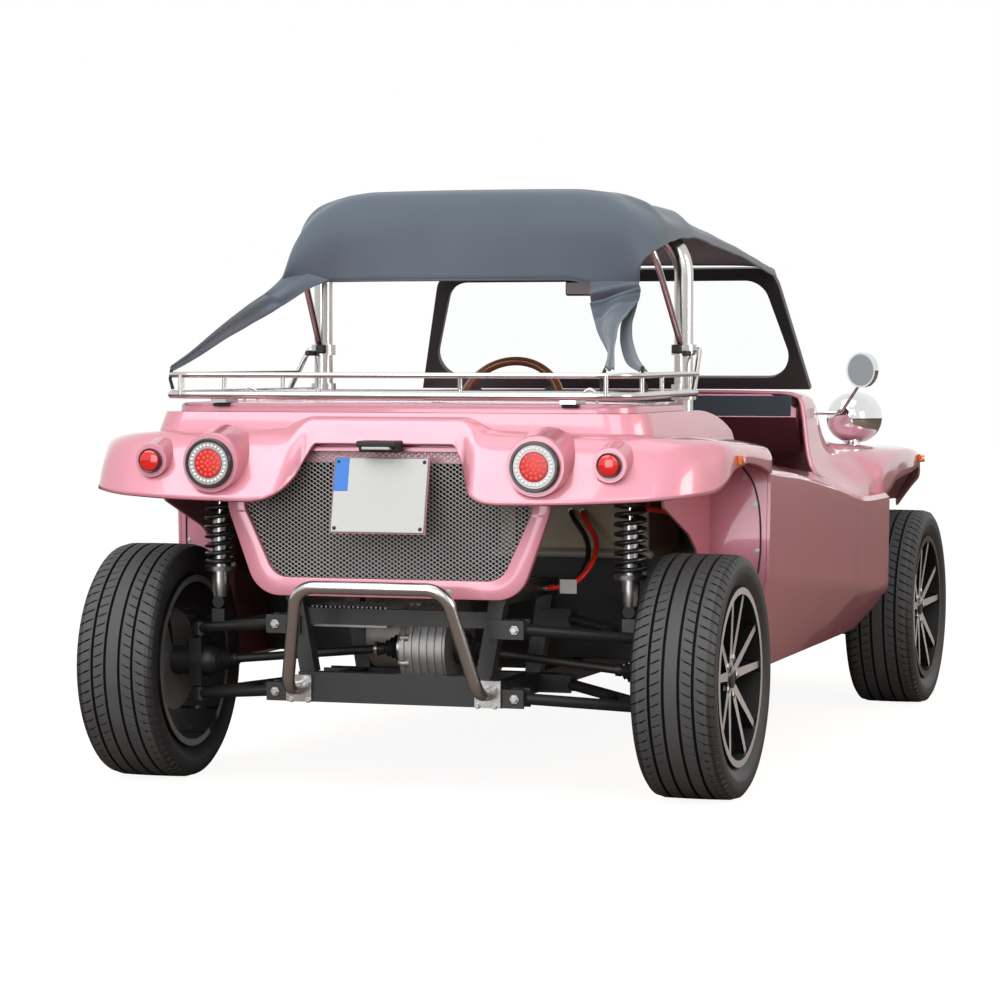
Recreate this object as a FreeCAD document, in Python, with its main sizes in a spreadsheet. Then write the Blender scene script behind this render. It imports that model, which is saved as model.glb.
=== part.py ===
"""Open two-seat electric dune buggy: glass-fibre body on a steel tube frame, cloth top, four driven-size wheels.

Frame: millimetres, +Z up, floor at z = 0, nose towards -Y, left-hand side towards +X.
The origin is on the floor under the middle of the vehicle.
"""

import FreeCAD, Part
import math
import os

import Sketcher
from FreeCAD import Rotation, Vector

# Driving sizes: alias, millimetres (or degrees, or a plain count), what it is
SIZES = [
    ("wheelbase", 2380, "front axle to rear axle"),
    ("track", 1445, "between the middles of the left and right tyres"),
    ("axle_mid_y", 95, "middle of the wheelbase, behind the origin"),
    ("rear_overhang", 430, "rear axle to the rearmost edge of the lamp panel"),
    ("front_overhang", 620, "front axle to the nose"),
    ("body_half_width", 810, "middle to the outer edge of the rear wings"),
    ("deck_height", 945, "floor to the top edge of the rear deck"),
    ("panel_wall", 8, "thickness of the glass-fibre panels"),
    ("joint_gap", 0.3, "gap between panels and between running faces"),
    ("seat_gap", 3, "gap at parts that are held by bolts"),
    ("overrun", 20, "how far a cutter passes its face"),
    ("tyre_diameter", 600, "outside of the tyre"),
    ("tyre_width", 212, "section width of the tyre"),
    ("bead_diameter", 440, "seat of the tyre on the rim"),
    ("rim_bore_diameter", 392, "inside of the rim barrel"),
    ("rim_width", 195, "over the two flanges"),
    ("flange_width", 7, "one rim flange"),
    ("spoke_pairs", 5, "pairs of spokes"),
    ("spoke_spread", 15, "angle between a pair's centre line and each of its spokes, at the rim"),
    ("spoke_width_hub", 24, "a spoke at the hub"),
    ("spoke_width_rim", 17, "a spoke at the rim"),
    ("spoke_depth", 22, "a spoke, along the axle"),
    ("spoke_inset", 26, "outer face of the rim to the spokes' face at the hub"),
    ("hub_diameter", 74, "wheel hub"),
    ("hub_back", 42, "hub's inner face, inboard of the tyre's middle plane"),
    ("disc_diameter", 256, "brake disc"),
    ("disc_thickness", 12, "brake disc"),
    ("stub_diameter", 30, "stub axle"),
    ("upright_thickness", 34, "rear upright and front knuckle, across the vehicle"),
    ("upright_length", 70, "rear upright and front knuckle, along the vehicle"),
    ("ball_rise", 84, "upper and lower ball joints above and below the axle"),
    ("kingpin_inset", 112, "kingpin axis inboard of the tyre's middle plane"),
    ("arm_tube", 28, "suspension arm tube"),
    ("bush_diameter", 46, "bush at the arm's inner end"),
    ("bush_length", 44, "bush at the arm's inner end"),
    ("arm_pivot_x", 312, "middle to the rear arms' inner pivots"),
    ("arm_pivot_spread", 196, "rear arms' inner pivots, ahead of and behind the axle"),
    ("upper_pivot_z", 420, "upper arms' inner pivots"),
    ("lower_pivot_z", 252, "lower arms' inner pivots"),
    ("front_pivot_spread", 150, "front arms' inner pivots, ahead of and behind the axle"),
    ("rail_width", 40, "frame rail"),
    ("rail_height", 50, "frame rail"),
    ("rail_x", 230, "middle to each frame rail"),
    ("rail_z", 229, "underside of the frame rails"),
    ("beam_height", 74, "rear beam"),
    ("beam_half_length", 250, "rear beam, middle to end"),
    ("frame_rise_z", 500, "top of the suspension sub-frames"),
    ("tower_z", 800, "rear shock absorbers' upper cross tube"),
    ("front_tower_z", 700, "front shock absorbers' upper cross tube"),
    ("frame_tube", 34, "round and square tubes of the sub-frames"),
    ("ear_thickness", 8, "bracket plates"),
    ("shock_x", 545, "middle to the rear shock absorbers"),
    ("shock_lower_z", 455, "rear shock absorbers' lower eye"),
    ("spring_diameter", 83, "outside of the coil spring"),
    ("spring_length", 270, "coil spring"),
    ("spring_coils", 9, "coils of each spring"),
    ("damper_diameter", 44, "damper body"),
    ("damper_rod", 16, "damper rod"),
    ("shock_eye", 34, "damper eye"),
    ("floor_z", 279.3, "underside of the floor, on the frame rails"),
    ("floor_wall", 12, "thickness of the floor and bulkhead"),
    ("bulkhead_y", 700, "front face of the bulkhead behind the seats"),
    ("cabin_half_width", 655, "bulkhead, middle to edge"),
    ("footwell_half_width", 450, "footwell between the front wheels"),
    ("footwell_front_y", -898, "front wall of the footwell"),
    ("side_front_y", -650, "front end of the side panels"),
    ("footwell_step_y", -615, "wall behind the front wheels, beside the footwell"),
    ("deck_front_y", 665, "front end of the rear deck's shoulders"),
    ("deck_nose_length", 335, "rounded front of the rear deck, along the vehicle"),
    ("deck_nose_drop", 105, "rounded front of the rear deck, height"),
    ("lid_front_y", 1000, "front edge of the rear deck's lid"),
    ("side_rear_y", 962, "rear end of the side panels"),
    ("lid_thickness", 22, "rear deck lid, at its rim"),
    ("hoop_tube", 50, "roll hoop tube"),
    ("hoop_x", 508, "middle to the hoop's legs"),
    ("hoop_y", 670, "roll hoop plane"),
    ("hoop_top_z", 1450, "top of the roll hoop"),
    ("hoop_bend", 130, "roll hoop's corner radius"),
    ("bow_tube", 17, "top bow tube"),
    ("bow_y", 885, "rear bow of the top"),
    ("bow_top_z", 1505, "top of the rear bow"),
    ("bow_x", 490, "middle to the rear bow's legs"),
    ("cloth", 4, "thickness of the folding top's cloth and seams"),
    ("screen_base_y", -415, "windscreen frame, foot"),
    ("screen_top_y", -315, "windscreen frame, head"),
    ("screen_base_z", 985, "windscreen frame, foot"),
    ("screen_top_z", 1337, "windscreen frame, head"),
    ("screen_base_half", 603, "windscreen frame, half width at the foot"),
    ("screen_top_half", 515, "windscreen frame, half width at the head"),
    ("screen_bar", 36, "width of the windscreen frame's bars"),
    ("screen_depth", 26, "depth of the windscreen frame's bars"),
    ("screen_bend", 70, "corner radius at the windscreen's head"),
    ("glass_thickness", 6, "windscreen glass"),
    ("wheel_ring_diameter", 340, "steering wheel"),
    ("wheel_ring_tube", 26, "steering wheel rim section"),
    ("steering_x", 215, "middle to the steering column"),
    ("steering_y", -70, "centre of the steering wheel"),
    ("steering_z", 920, "centre of the steering wheel"),
    ("column_tilt", 22, "column's slope, degrees from level"),
    ("column_tube", 44, "steering column jacket"),
    ("column_shaft", 20, "steering shaft"),
    ("column_length", 560, "steering column jacket"),
    ("seat_x", 270, "middle to each seat's middle"),
    ("seat_width", 440, "seat"),
    ("seat_base_z", 291.6, "underside of the seats, on the floor"),
    ("seat_front_y", 40, "front edge of the seat cushion"),
    ("seat_depth", 500, "seat cushion, front to back"),
    ("cushion_thickness", 173, "seat base and cushion"),
    ("backrest_thickness", 110, "seat back"),
    ("backrest_top_z", 885, "top of the seat back"),
    ("rack_tube", 20, "lower rail of the luggage rack"),
    ("rack_rail", 14, "upper rail of the luggage rack"),
    ("rack_rise", 42, "top edge of the rear deck to the luggage rack's lower rail"),
    ("rack_rail_rise", 91, "top edge of the rear deck to the luggage rack's upper rail"),
    ("rack_brace_z", 1098, "clamps of the luggage rack's braces on the roll hoop"),
    ("rack_half_width", 612, "rack, middle to its rear corners"),
    ("rack_front_half_width", 560, "rack, middle to its front ends"),
    ("rack_rear_y", 1540, "rack's rear tube"),
    ("rack_front_y", 730, "rack's front ends"),
    ("rack_bend", 90, "rack's corner radius"),
    ("bumper_tube", 32, "bumper tubes"),
    ("bumper_top_z", 525, "top of the rear bumper hoop"),
    ("bumper_foot_x", 246, "middle to the rear bumper's feet"),
    ("bumper_top_x", 190, "middle to the rear bumper's upper bends"),
    ("bumper_reach", 164, "rear beam to the bumper hoop's top"),
    ("lamp_x", 416, "middle to each tail lamp"),
    ("lamp_z", 822, "tail lamps"),
    ("lamp_lens_diameter", 122, "tail lamp"),
    ("lamp_pod_diameter", 146, "pod that carries a tail lamp"),
    ("lamp_face_y", 1688, "outer face of the tail lamps"),
    ("reflector_x", 588, "middle to each round reflector"),
    ("reflector_z", 826, "reflectors"),
    ("reflector_diameter", 60, "reflector"),
    ("reflector_pod_diameter", 84, "pod that carries a reflector"),
    ("reflector_face_y", 1653, "outer face of the reflectors"),
    ("lens_thickness", 16, "lamp lens with its bezel"),
    ("grille_y", 1542.4, "front face of the grille frame"),
    ("grille_top_half", 418, "grille frame, half width at its upper end"),
    ("grille_bottom_half", 325, "grille frame, half width at the foot"),
    ("grille_top_z", 862, "grille frame, top edge"),
    ("grille_bottom_z", 494, "grille frame, bottom edge"),
    ("grille_border", 46, "width of the grille frame's border"),
    ("grille_depth", 16, "depth of the grille frame"),
    ("mesh_thickness", 4, "expanded metal"),
    ("plate_width", 245, "number plate"),
    ("plate_height", 188, "number plate"),
    ("plate_thickness", 6, "number plate with its holder"),
    ("plate_y", 1600, "middle of the number plate"),
    ("plate_z", 745, "middle of the number plate"),
    ("plate_tilt", 12, "number plate, top leaning forward, degrees"),
    ("headlamp_diameter", 158, "headlamp"),
    ("headlamp_inset", 190, "edge of the wings in to each headlamp"),
    ("headlamp_y", -812, "headlamp, rear of its shell"),
    ("headlamp_drop", 55, "top edge of the rear deck down to the headlamps"),
    ("headlamp_length", 165, "headlamp shell"),
    ("mirror_x", 780, "middle to the door mirror"),
    ("mirror_y", -300, "door mirror"),
    ("mirror_z", 1040, "door mirror"),
    ("mirror_diameter", 101, "door mirror"),
    ("mirror_depth", 18, "door mirror"),
    ("mirror_turn", 24, "door mirror, degrees towards the driver"),
    ("gearbox_z", 352, "reduction gearbox, drive shaft axis"),
    ("gearbox_diameter", 210, "reduction gearbox"),
    ("gearbox_length", 120, "reduction gearbox, across the vehicle"),
    ("motor_diameter", 180, "drive motor"),
    ("motor_length", 230, "drive motor"),
    ("controller_length", 204, "finned motor controller, across the vehicle"),
    ("controller_width", 166, "motor controller, along the vehicle"),
    ("controller_height", 52, "motor controller"),
    ("shaft_diameter", 22, "drive shaft"),
    ("boot_diameter", 78, "drive shaft boots"),
    ("battery_length", 400, "battery box, across the vehicle"),
    ("battery_width", 300, "battery box, along the vehicle"),
    ("battery_height", 170, "battery box"),
    ("battery_end_x", 510, "middle to the battery box's outer end"),
    ("battery_z", 588, "underside of the battery box"),
    ("battery_tray", 20, "tray under the battery box"),
    ("cable_diameter", 14, "battery cables"),
    ("fin_pitch", 12, "fins of the motor controller"),
    ("marker_length", 30, "side marker lamps, along the vehicle"),
    ("marker_depth", 12, "side marker lamps"),
    ("marker_height", 22, "side marker lamps"),
    ("plate_lamp_width", 100, "number plate lamp"),
    ("plate_lamp_height", 28, "number plate lamp"),
    ("plate_lamp_reach", 66, "number plate lamp, along the vehicle"),
    ("steering_arm", 105, "kingpin forward to the tie rod's eye"),
    ("steering_rack_z", 320, "steering rack"),
    ("steering_drop", 26, "steering arm's eye above the tie rod"),
]


class Measure:
    """A number kept together with the spreadsheet expression that gives it."""

    def __init__(self, value, text):
        self.value = float(value)
        self.text = text

    def __add__(self, other):
        other = as_measure(other)
        return Measure(self.value + other.value, f"({self.text} + {other.text})")

    def __sub__(self, other):
        other = as_measure(other)
        return Measure(self.value - other.value, f"({self.text} - {other.text})")

    def __mul__(self, other):
        other = as_measure(other)
        return Measure(self.value * other.value, f"({self.text} * {other.text})")

    def __truediv__(self, other):
        other = as_measure(other)
        return Measure(self.value / other.value, f"({self.text} / {other.text})")

    def __neg__(self):
        return Measure(-self.value, f"(-{self.text})")

    __radd__ = __add__
    __rmul__ = __mul__

    def __rsub__(self, other):
        return as_measure(other) - self

    def __float__(self):
        return self.value


def as_measure(number):
    return number if isinstance(number, Measure) else Measure(number, repr(float(number)))


doc = FreeCAD.newDocument("dune_buggy")
sheet = doc.addObject("Spreadsheet::Sheet", "Sizes")


class Sizes:
    """Every driving size as a Measure, read back from the spreadsheet."""


size = Sizes()
for row, (alias, number, words) in enumerate(SIZES, start=1):
    sheet.set(f"A{row}", words)
    sheet.set(f"B{row}", str(number))
    sheet.setAlias(f"B{row}", alias)
doc.recompute()
for alias, number, words in SIZES:
    setattr(size, alias, Measure(sheet.get(alias), f"Sizes.{alias}"))

# Places that many pieces share
HALF_TRACK = size.track / 2
REAR_Y = size.axle_mid_y + size.wheelbase / 2
FRONT_Y = size.axle_mid_y - size.wheelbase / 2
AXLE_Z = size.tyre_diameter / 2
KINGPIN_X = HALF_TRACK - size.kingpin_inset
RAIL_TOP_Z = size.rail_z + size.rail_height
RACK_Z = size.deck_height + size.rack_rise
RACK_RAIL_Z = size.deck_height + size.rack_rail_rise
HEADLAMP_X = size.body_half_width - size.headlamp_inset
HEADLAMP_Z = size.deck_height - size.headlamp_drop
SIDES = (1, -1)

nodes = []


# Helpers
def keep(thing, node):
    """Names a finished sub-part, which becomes one file."""
    thing.Label = node
    nodes.append(thing)
    return thing


def bind(thing, **measures):
    for name, measure in measures.items():
        thing.setExpression(name, as_measure(measure).text)
    return thing


def put(thing, x, y, z, rotation=None):
    if rotation is not None:
        thing.Placement = FreeCAD.Placement(Vector(), rotation)
    for axis, measure in zip("xyz", (x, y, z)):
        thing.setExpression(f"Placement.Base.{axis}", as_measure(measure).text)
    return thing


def box(name, low, extent):
    """A block from its low corner and its three lengths."""
    thing = doc.addObject("Part::Box", name)
    bind(thing, Length=extent[0], Width=extent[1], Height=extent[2])
    return put(thing, *low)


def cylinder(name, base, radius, height, rotation=None):
    thing = doc.addObject("Part::Cylinder", name)
    bind(thing, Radius=radius, Height=height)
    return put(thing, *base, rotation)


def fuse(name, things):
    thing = doc.addObject("Part::MultiFuse", name)
    thing.Shapes = things
    return thing


def cut(name, base, tool):
    thing = doc.addObject("Part::Cut", name)
    thing.Base = base
    thing.Tool = tool
    return thing


def feature(name, shape):
    thing = doc.addObject("Part::Feature", name)
    thing.Shape = shape
    return thing


def vec(x, y, z):
    return Vector(float(x), float(y), float(z))


ALONG_X = Rotation(Vector(0, 1, 0), 90)
ALONG_Y = Rotation(Vector(1, 0, 0), -90)


def wire(points):
    """A closed polygon."""
    corners = [vec(*p) for p in points]
    return Part.makePolygon(corners + corners[:1])


def prism(points, direction):
    return Part.Face(wire(points)).extrude(direction)


def mirrored(shape):
    return shape.mirror(Vector(), Vector(1, 0, 0))


def both_sides(shape):
    """The shape and its mirror image, as one compound of two solids."""
    return Part.makeCompound([shape, mirrored(shape)])


def solid_cylinder(start, end, radius):
    axis = end - start
    return Part.makeCylinder(float(radius), axis.Length, start, axis)


def bar(start, end, width, height, up=Vector(0, 0, 1)):
    """A straight rectangular bar between two points."""
    along = (end - start).normalize()
    side = along.cross(up).normalize() * (float(width) / 2)
    rise = side.cross(along).normalize() * (float(height) / 2)
    corners = [start + side + rise, start - side + rise, start - side - rise, start + side - rise]
    return prism(corners_of(corners), end - start)


def corners_of(vectors):
    return [(v.x, v.y, v.z) for v in vectors]


def bent_path(points, bend):
    """Straight runs joined by tangent arcs; the arcs shrink where the runs are short."""
    points = [vec(*p) for p in points]
    edges = []
    start = points[0]
    for before, corner, after in zip(points, points[1:], points[2:]):
        back = (before - corner).normalize()
        ahead = (after - corner).normalize()
        half = back.getAngle(ahead) / 2
        room = min((before - corner).Length, (after - corner).Length) * 0.45
        radius = min(float(bend), room * math.tan(half))
        reach = radius / math.tan(half)
        first, last = corner + back * reach, corner + ahead * reach
        centre = corner + (back + ahead).normalize() * (radius / math.sin(half))
        middle = centre + (corner - centre).normalize() * radius
        edges.append(Part.LineSegment(start, first).toShape())
        edges.append(Part.Arc(first, middle, last).toShape())
        start = last
    edges.append(Part.LineSegment(start, points[-1]).toShape())
    return Part.Wire(edges)


def tube(points, diameter, bend):
    """A round bar along straight runs and tangent arcs."""
    path = bent_path(points, bend)
    first = path.Edges[0]
    ring = Part.makeCircle(float(diameter) / 2, first.valueAt(first.FirstParameter),
                           first.tangentAt(first.FirstParameter))
    return path.makePipeShell([Part.Wire([ring])], True, True)


def offset_line(points, wall):
    """Each point of an open polyline in a plane, moved by the wall to the line's right-hand side."""
    moved = []
    for index, point in enumerate(points):
        normals = []
        for a, b in ((index - 1, index), (index, index + 1)):
            if a >= 0 and b < len(points):
                du, dv = points[b][0] - points[a][0], points[b][1] - points[a][1]
                length = math.hypot(du, dv)
                normals.append((dv / length, -du / length))
        nu = sum(n[0] for n in normals) / len(normals)
        nv = sum(n[1] for n in normals) / len(normals)
        spread = nu * nu + nv * nv
        moved.append((point[0] + wall * nu / spread, point[1] + wall * nv / spread))
    return moved


def skin_section(points, wall):
    """Closes an open polyline with its own offset, so that it encloses a wall."""
    return list(points) + offset_line(points, wall)[::-1]


def loft(sections, ruled=True):
    return Part.makeLoft([wire(s) for s in sections], True, ruled)


def checked(shape, what):
    if shape.isNull() or not shape.isValid():
        raise ValueError(f"{what} isn't a valid shape")
    return shape


# Wheels
def turned_body(name, profile):
    """A body turned about the X axis. The profile holds (distance along the axle, radius) pairs."""
    body = doc.addObject("PartDesign::Body", name)
    sketch = body.newObject("Sketcher::SketchObject", f"{name}_profile")
    plane = next(f for f in body.Origin.OriginFeatures if f.Role == "XY_Plane")
    sketch.AttachmentSupport = (plane, "")
    sketch.MapMode = "FlatFace"
    count = len(profile)
    for index in range(count):
        a, b = profile[index], profile[(index + 1) % count]
        sketch.addGeometry(Part.LineSegment(vec(a[0], a[1], 0), vec(b[0], b[1], 0)))
    for index in range(count):
        sketch.addConstraint(Sketcher.Constraint("Coincident", index, 2, (index + 1) % count, 1))
    for index, corner in enumerate(profile):
        for kind, measure in zip(("DistanceX", "DistanceY"), corner):
            if abs(float(measure)) > 0:
                number = sketch.addConstraint(Sketcher.Constraint(kind, -1, 1, index, 1, float(measure)))
                sketch.setExpression(f"Constraints[{number}]", as_measure(measure).text)
    doc.recompute()
    turn = body.newObject("PartDesign::Revolution", f"{name}_turn")
    turn.Profile = sketch
    turn.ReferenceAxis = (next(f for f in body.Origin.OriginFeatures if f.Role == "X_Axis"), [""])
    turn.Angle = 360
    return body


def tyre_profile(outward):
    """One tyre's section: tread, chamfered shoulders, sidewalls and bead seat."""
    half = size.tyre_width / 2 * outward
    bead = size.bead_diameter / 2
    height = size.tyre_diameter / 2 - bead
    section_shares = ((1.0, 0.0), (1.0, 0.72), (0.80, 1.0))
    right = [(half * a, bead + height * b) for a, b in section_shares]
    left = [(half * -a, bead + height * b) for a, b in section_shares[::-1]]
    return right + left


def rim_profile(outward):
    """Barrel under the tyre's bead."""
    half = size.rim_width / 2 * outward
    seat = size.bead_diameter / 2 - size.joint_gap
    bore = size.rim_bore_diameter / 2 + size.flange_width
    return [(half, seat), (-half, seat), (-half, bore), (half, bore)]


def spokes(outward):
    """Five pairs of tapered spokes that dish outwards from the hub to the rim."""
    half = size.rim_width.value / 2
    start_r = size.hub_diameter.value * 0.3
    end_r = size.rim_bore_diameter.value / 2 + size.flange_width.value * 1.5
    made = []
    for pair in range(int(size.spoke_pairs.value)):
        for lean in SIDES:
            face_hub = half - size.spoke_inset.value
            face_rim = half - size.flange_width.value
            depth = size.spoke_depth.value
            a, b = size.spoke_width_hub.value / 2, size.spoke_width_rim.value / 2
            hub = [(face_hub, -a, start_r), (face_hub, a, start_r),
                   (face_hub - depth, a, start_r), (face_hub - depth, -a, start_r)]
            rim = [(face_rim, -b, end_r), (face_rim, b, end_r),
                   (face_rim - depth, b, end_r), (face_rim - depth, -b, end_r)]
            spoke = loft([hub, rim])
            lean_angle = size.spoke_spread.value * lean
            shift = start_r * math.sin(math.radians(lean_angle))
            spoke.rotate(Vector(), Vector(1, 0, 0), lean_angle)
            spoke.translate(Vector(0, shift * 0.5, 0))
            spoke.rotate(Vector(), Vector(1, 0, 0), pair * 360 / size.spoke_pairs.value)
            made.append(spoke)
    whole = made[0].fuse(made[1:])
    return whole if outward > 0 else mirrored(whole)


def wheel(axle, side, axle_y):
    """Tyre, and rim with spokes, hub and brake disc, at one corner."""
    outward = 1 if side == "left" else -1
    centre_x = HALF_TRACK * outward
    tyre = turned_body(f"tyre_{axle}_{side}_body", tyre_profile(outward))
    put(tyre, centre_x, axle_y, AXLE_Z)
    keep(tyre, f"tyre_{axle}_{side}")

    barrel = turned_body(f"rim_{axle}_{side}_barrel", rim_profile(outward))
    put(barrel, 0, 0, 0)
    arms = feature(f"rim_{axle}_{side}_spokes", spokes(outward))
    face = size.rim_width / 2 - size.spoke_inset
    low = -size.hub_back if outward > 0 else -face
    hub = cylinder(f"rim_{axle}_{side}_hub", (low, 0, 0), size.hub_diameter / 2, face + size.hub_back, ALONG_X)
    low = -size.hub_back if outward > 0 else size.hub_back - size.disc_thickness
    disc = cylinder(f"rim_{axle}_{side}_disc", (low, 0, 0), size.disc_diameter / 2, size.disc_thickness, ALONG_X)
    whole = fuse(f"rim_{axle}_{side}_blank", [barrel, arms, hub, disc])
    low = -(size.hub_back + size.overrun) if outward > 0 else 0
    bore = cylinder(f"rim_{axle}_{side}_bore", (low, 0, 0), size.stub_diameter / 2 + size.joint_gap,
                    size.hub_back + size.overrun, ALONG_X)
    rim = cut(f"rim_{axle}_{side}_cut", whole, bore)
    put(rim, centre_x, axle_y, AXLE_Z)
    keep(rim, f"rim_{axle}_{side}")


for axle, axle_y in (("rear", REAR_Y), ("front", FRONT_Y)):
    for side in ("left", "right"):
        wheel(axle, side, axle_y)

# Numbers that the free-form pieces use
HALF = size.body_half_width.value
DECK = size.deck_height.value
WALL = size.panel_wall.value
GAP = size.joint_gap.value
REAR = REAR_Y.value
NOSE = FRONT_Y.value
AXLE = AXLE_Z.value
TUBE = size.frame_tube.value
RAIL_TOP = RAIL_TOP_Z.value


# Uprights, knuckles and arms
def upright_shape(axle_y, inner_x, steered):
    """Carrier between the two ball joints, with its stub axle and brake caliper, on the left side."""
    length, thickness = size.upright_length.value, size.upright_thickness.value
    rise = size.ball_rise.value
    plate_high = rise - size.arm_tube.value / 2 - size.seat_gap.value * 3
    plate = Part.makeBox(thickness, length, plate_high * 2, Vector(inner_x, axle_y - length / 2, AXLE - plate_high))
    hub_face = HALF_TRACK.value - size.hub_back.value
    stub_end = HALF_TRACK.value - size.overrun.value
    stub = solid_cylinder(Vector(inner_x, axle_y, AXLE), Vector(stub_end, axle_y, AXLE), size.stub_diameter.value / 2)
    boss_end = hub_face - size.seat_gap.value
    boss = solid_cylinder(Vector(inner_x, axle_y, AXLE), Vector(boss_end, axle_y, AXLE), size.hub_diameter.value / 2)
    parts = [plate, stub, boss]
    joint = Vector(0, 0, rise - size.arm_tube.value / 2 - size.seat_gap.value - GAP)
    centre = Vector(inner_x + thickness / 2, axle_y, AXLE)
    parts.append(solid_cylinder(centre - joint, centre + joint, size.column_shaft.value * 0.4))
    disc_r = size.disc_diameter.value / 2
    clear = size.seat_gap.value * 2
    towards = 1 if axle_y < 0 else -1
    caliper_x = (inner_x + boss_end) / 2 + clear
    caliper_low = Vector(caliper_x, axle_y + towards * disc_r * 0.55, AXLE)
    parts.append(bar(caliper_low, caliper_low + Vector(0, towards * disc_r * 0.62, 0),
                     (boss_end - caliper_x) * 2, size.upright_length.value))
    arm_root = Vector(inner_x + thickness / 2, axle_y, AXLE)
    arm_tip = Vector(caliper_x, axle_y + towards * disc_r * 0.6, AXLE)
    parts.append(bar(arm_root, arm_tip, thickness * 0.6, size.arm_tube.value))
    if steered:
        eye = Vector(KINGPIN_X.value, axle_y - size.steering_arm.value,
                     size.steering_rack_z.value + size.steering_drop.value)
        root = Vector(KINGPIN_X.value, axle_y - length * 0.3, eye.z)
        parts.append(bar(root, eye, size.arm_tube.value, size.ear_thickness.value * 2))
        parts.append(solid_cylinder(eye - Vector(0, 0, size.ear_thickness.value),
                                    eye + Vector(0, 0, size.ear_thickness.value), size.arm_tube.value * 0.6))
    return parts[0].fuse(parts[1:]).removeSplitter()


def arm_shape(axle_y, pivot_x, pivot_z, spread, tip_x, tip_z, brace_share=0.55):
    """A-arm: two tubes from a pair of bushes to a ball joint housing, on the left side."""
    radius = size.arm_tube.value / 2
    tip = Vector(tip_x, axle_y, tip_z)
    housing = radius + size.seat_gap.value
    parts = [Part.makeCylinder(radius * 1.5, housing * 2, tip - Vector(0, 0, housing))]
    for fore in SIDES:
        pivot = Vector(pivot_x, axle_y + fore * spread, pivot_z)
        parts.append(solid_cylinder(pivot, tip, radius))
        half = Vector(0, size.bush_length.value / 2, 0)
        parts.append(solid_cylinder(pivot - half, pivot + half, size.bush_diameter.value / 2))
    cross = [Vector(pivot_x, axle_y + fore * spread, pivot_z) * (1 - brace_share) + tip * brace_share
             for fore in SIDES]
    parts.append(solid_cylinder(cross[0], cross[1], radius * 0.7))
    return parts[0].fuse(parts[1:])


REAR_BALL_X = KINGPIN_X.value
plate_inner_x = REAR_BALL_X - size.upright_thickness.value / 2
tip_low = AXLE - size.ball_rise.value
tip_high = AXLE + size.ball_rise.value
rear_upright = upright_shape(REAR, plate_inner_x, False)
keep(feature("rear_uprights_shape", both_sides(rear_upright)), "rear_uprights")
rear_pair = [arm_shape(REAR, size.arm_pivot_x.value, z, size.arm_pivot_spread.value, REAR_BALL_X, tip)
             for z, tip in ((size.upper_pivot_z.value, tip_high), (size.lower_pivot_z.value, tip_low))]
SHOCK_SEAT_Y = REAR + size.arm_tube.value * 0.7
lower_eye = Vector(size.shock_x.value, SHOCK_SEAT_Y, size.shock_lower_z.value)
seat_tab = bar(Vector(lower_eye.x, lower_eye.y, tip_high), lower_eye - Vector(0, 0, size.shock_eye.value / 2 + GAP),
               size.shock_eye.value, size.shock_eye.value, Vector(0, 1, 0))
rear_pair[0] = rear_pair[0].fuse(seat_tab)
keep(feature("rear_arms_shape", Part.makeCompound([s for arm in rear_pair for s in (arm, mirrored(arm))])),
     "rear_arms")

front_pair = [arm_shape(NOSE, size.arm_pivot_x.value, z, size.front_pivot_spread.value, REAR_BALL_X, tip, brace)
              for z, tip, brace in ((size.upper_pivot_z.value - size.rail_width.value, tip_high, 0.2),
                                    (size.lower_pivot_z.value, tip_low, 0.55))]
FRONT_SHOCK_X = size.shock_x.value * 0.89
front_eye = Vector(FRONT_SHOCK_X, NOSE, tip_low + size.bush_diameter.value * 1.4)
front_tab = bar(Vector(front_eye.x, NOSE, tip_low + size.arm_tube.value * 0.3),
                front_eye - Vector(0, 0, size.shock_eye.value / 2 + GAP),
                size.shock_eye.value, size.shock_eye.value * 2, Vector(0, 1, 0))
front_pair[1] = front_pair[1].fuse(front_tab)
keep(feature("front_arms_shape", Part.makeCompound([s for arm in front_pair for s in (arm, mirrored(arm))])),
     "front_arms")
knuckle = upright_shape(NOSE, plate_inner_x, True)
keep(feature("knuckle_left_shape", knuckle), "knuckle_left")
keep(feature("knuckle_right_shape", mirrored(knuckle)), "knuckle_right")


# Shock absorbers
def shock_shape(low, high):
    """Coil-over: two eyes, rod, body and the spring between its seats."""
    along = (high - low).normalize()
    eye_r = size.shock_eye.value / 2
    across = Vector(0, size.shock_eye.value / 2, 0)
    parts = [solid_cylinder(p - across, p + across, eye_r) for p in (low, high)]
    parts.append(solid_cylinder(low, high, size.damper_rod.value / 2))
    spring_top = high - along * (eye_r * 1.6)
    spring_foot = spring_top - along * min(size.spring_length.value, (high - low).Length * 0.7)
    parts.append(solid_cylinder(low + along * eye_r * 0.5, spring_foot, size.damper_diameter.value / 2))
    coils = int(size.spring_coils.value)
    pitch = (spring_top - spring_foot) * (1 / coils)
    parts.append(solid_cylinder(spring_foot, spring_top, size.spring_diameter.value * 0.3))
    for coil in range(coils):
        foot = spring_foot + pitch * (coil + 0.22)
        parts.append(solid_cylinder(foot, foot + pitch * 0.45, size.spring_diameter.value / 2))
    return parts[0].fuse(parts[1:])


rear_top = Vector(size.shock_x.value, SHOCK_SEAT_Y, size.tower_z.value - TUBE - size.seat_gap.value * 2)
keep(feature("rear_shocks_shape", both_sides(shock_shape(lower_eye, rear_top))), "rear_shocks")
front_top = Vector(FRONT_SHOCK_X * 0.92, NOSE, size.front_tower_z.value - TUBE - size.seat_gap.value * 2)
keep(feature("front_shocks_shape", both_sides(shock_shape(front_eye, front_top))), "front_shocks")


# Frame
SHELF_Z = size.gearbox_z.value + size.controller_height.value * 1.3
BEAM_FACE = REAR + (size.arm_pivot_spread + size.bush_length / 2 + size.joint_gap + size.ear_thickness).value


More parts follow.
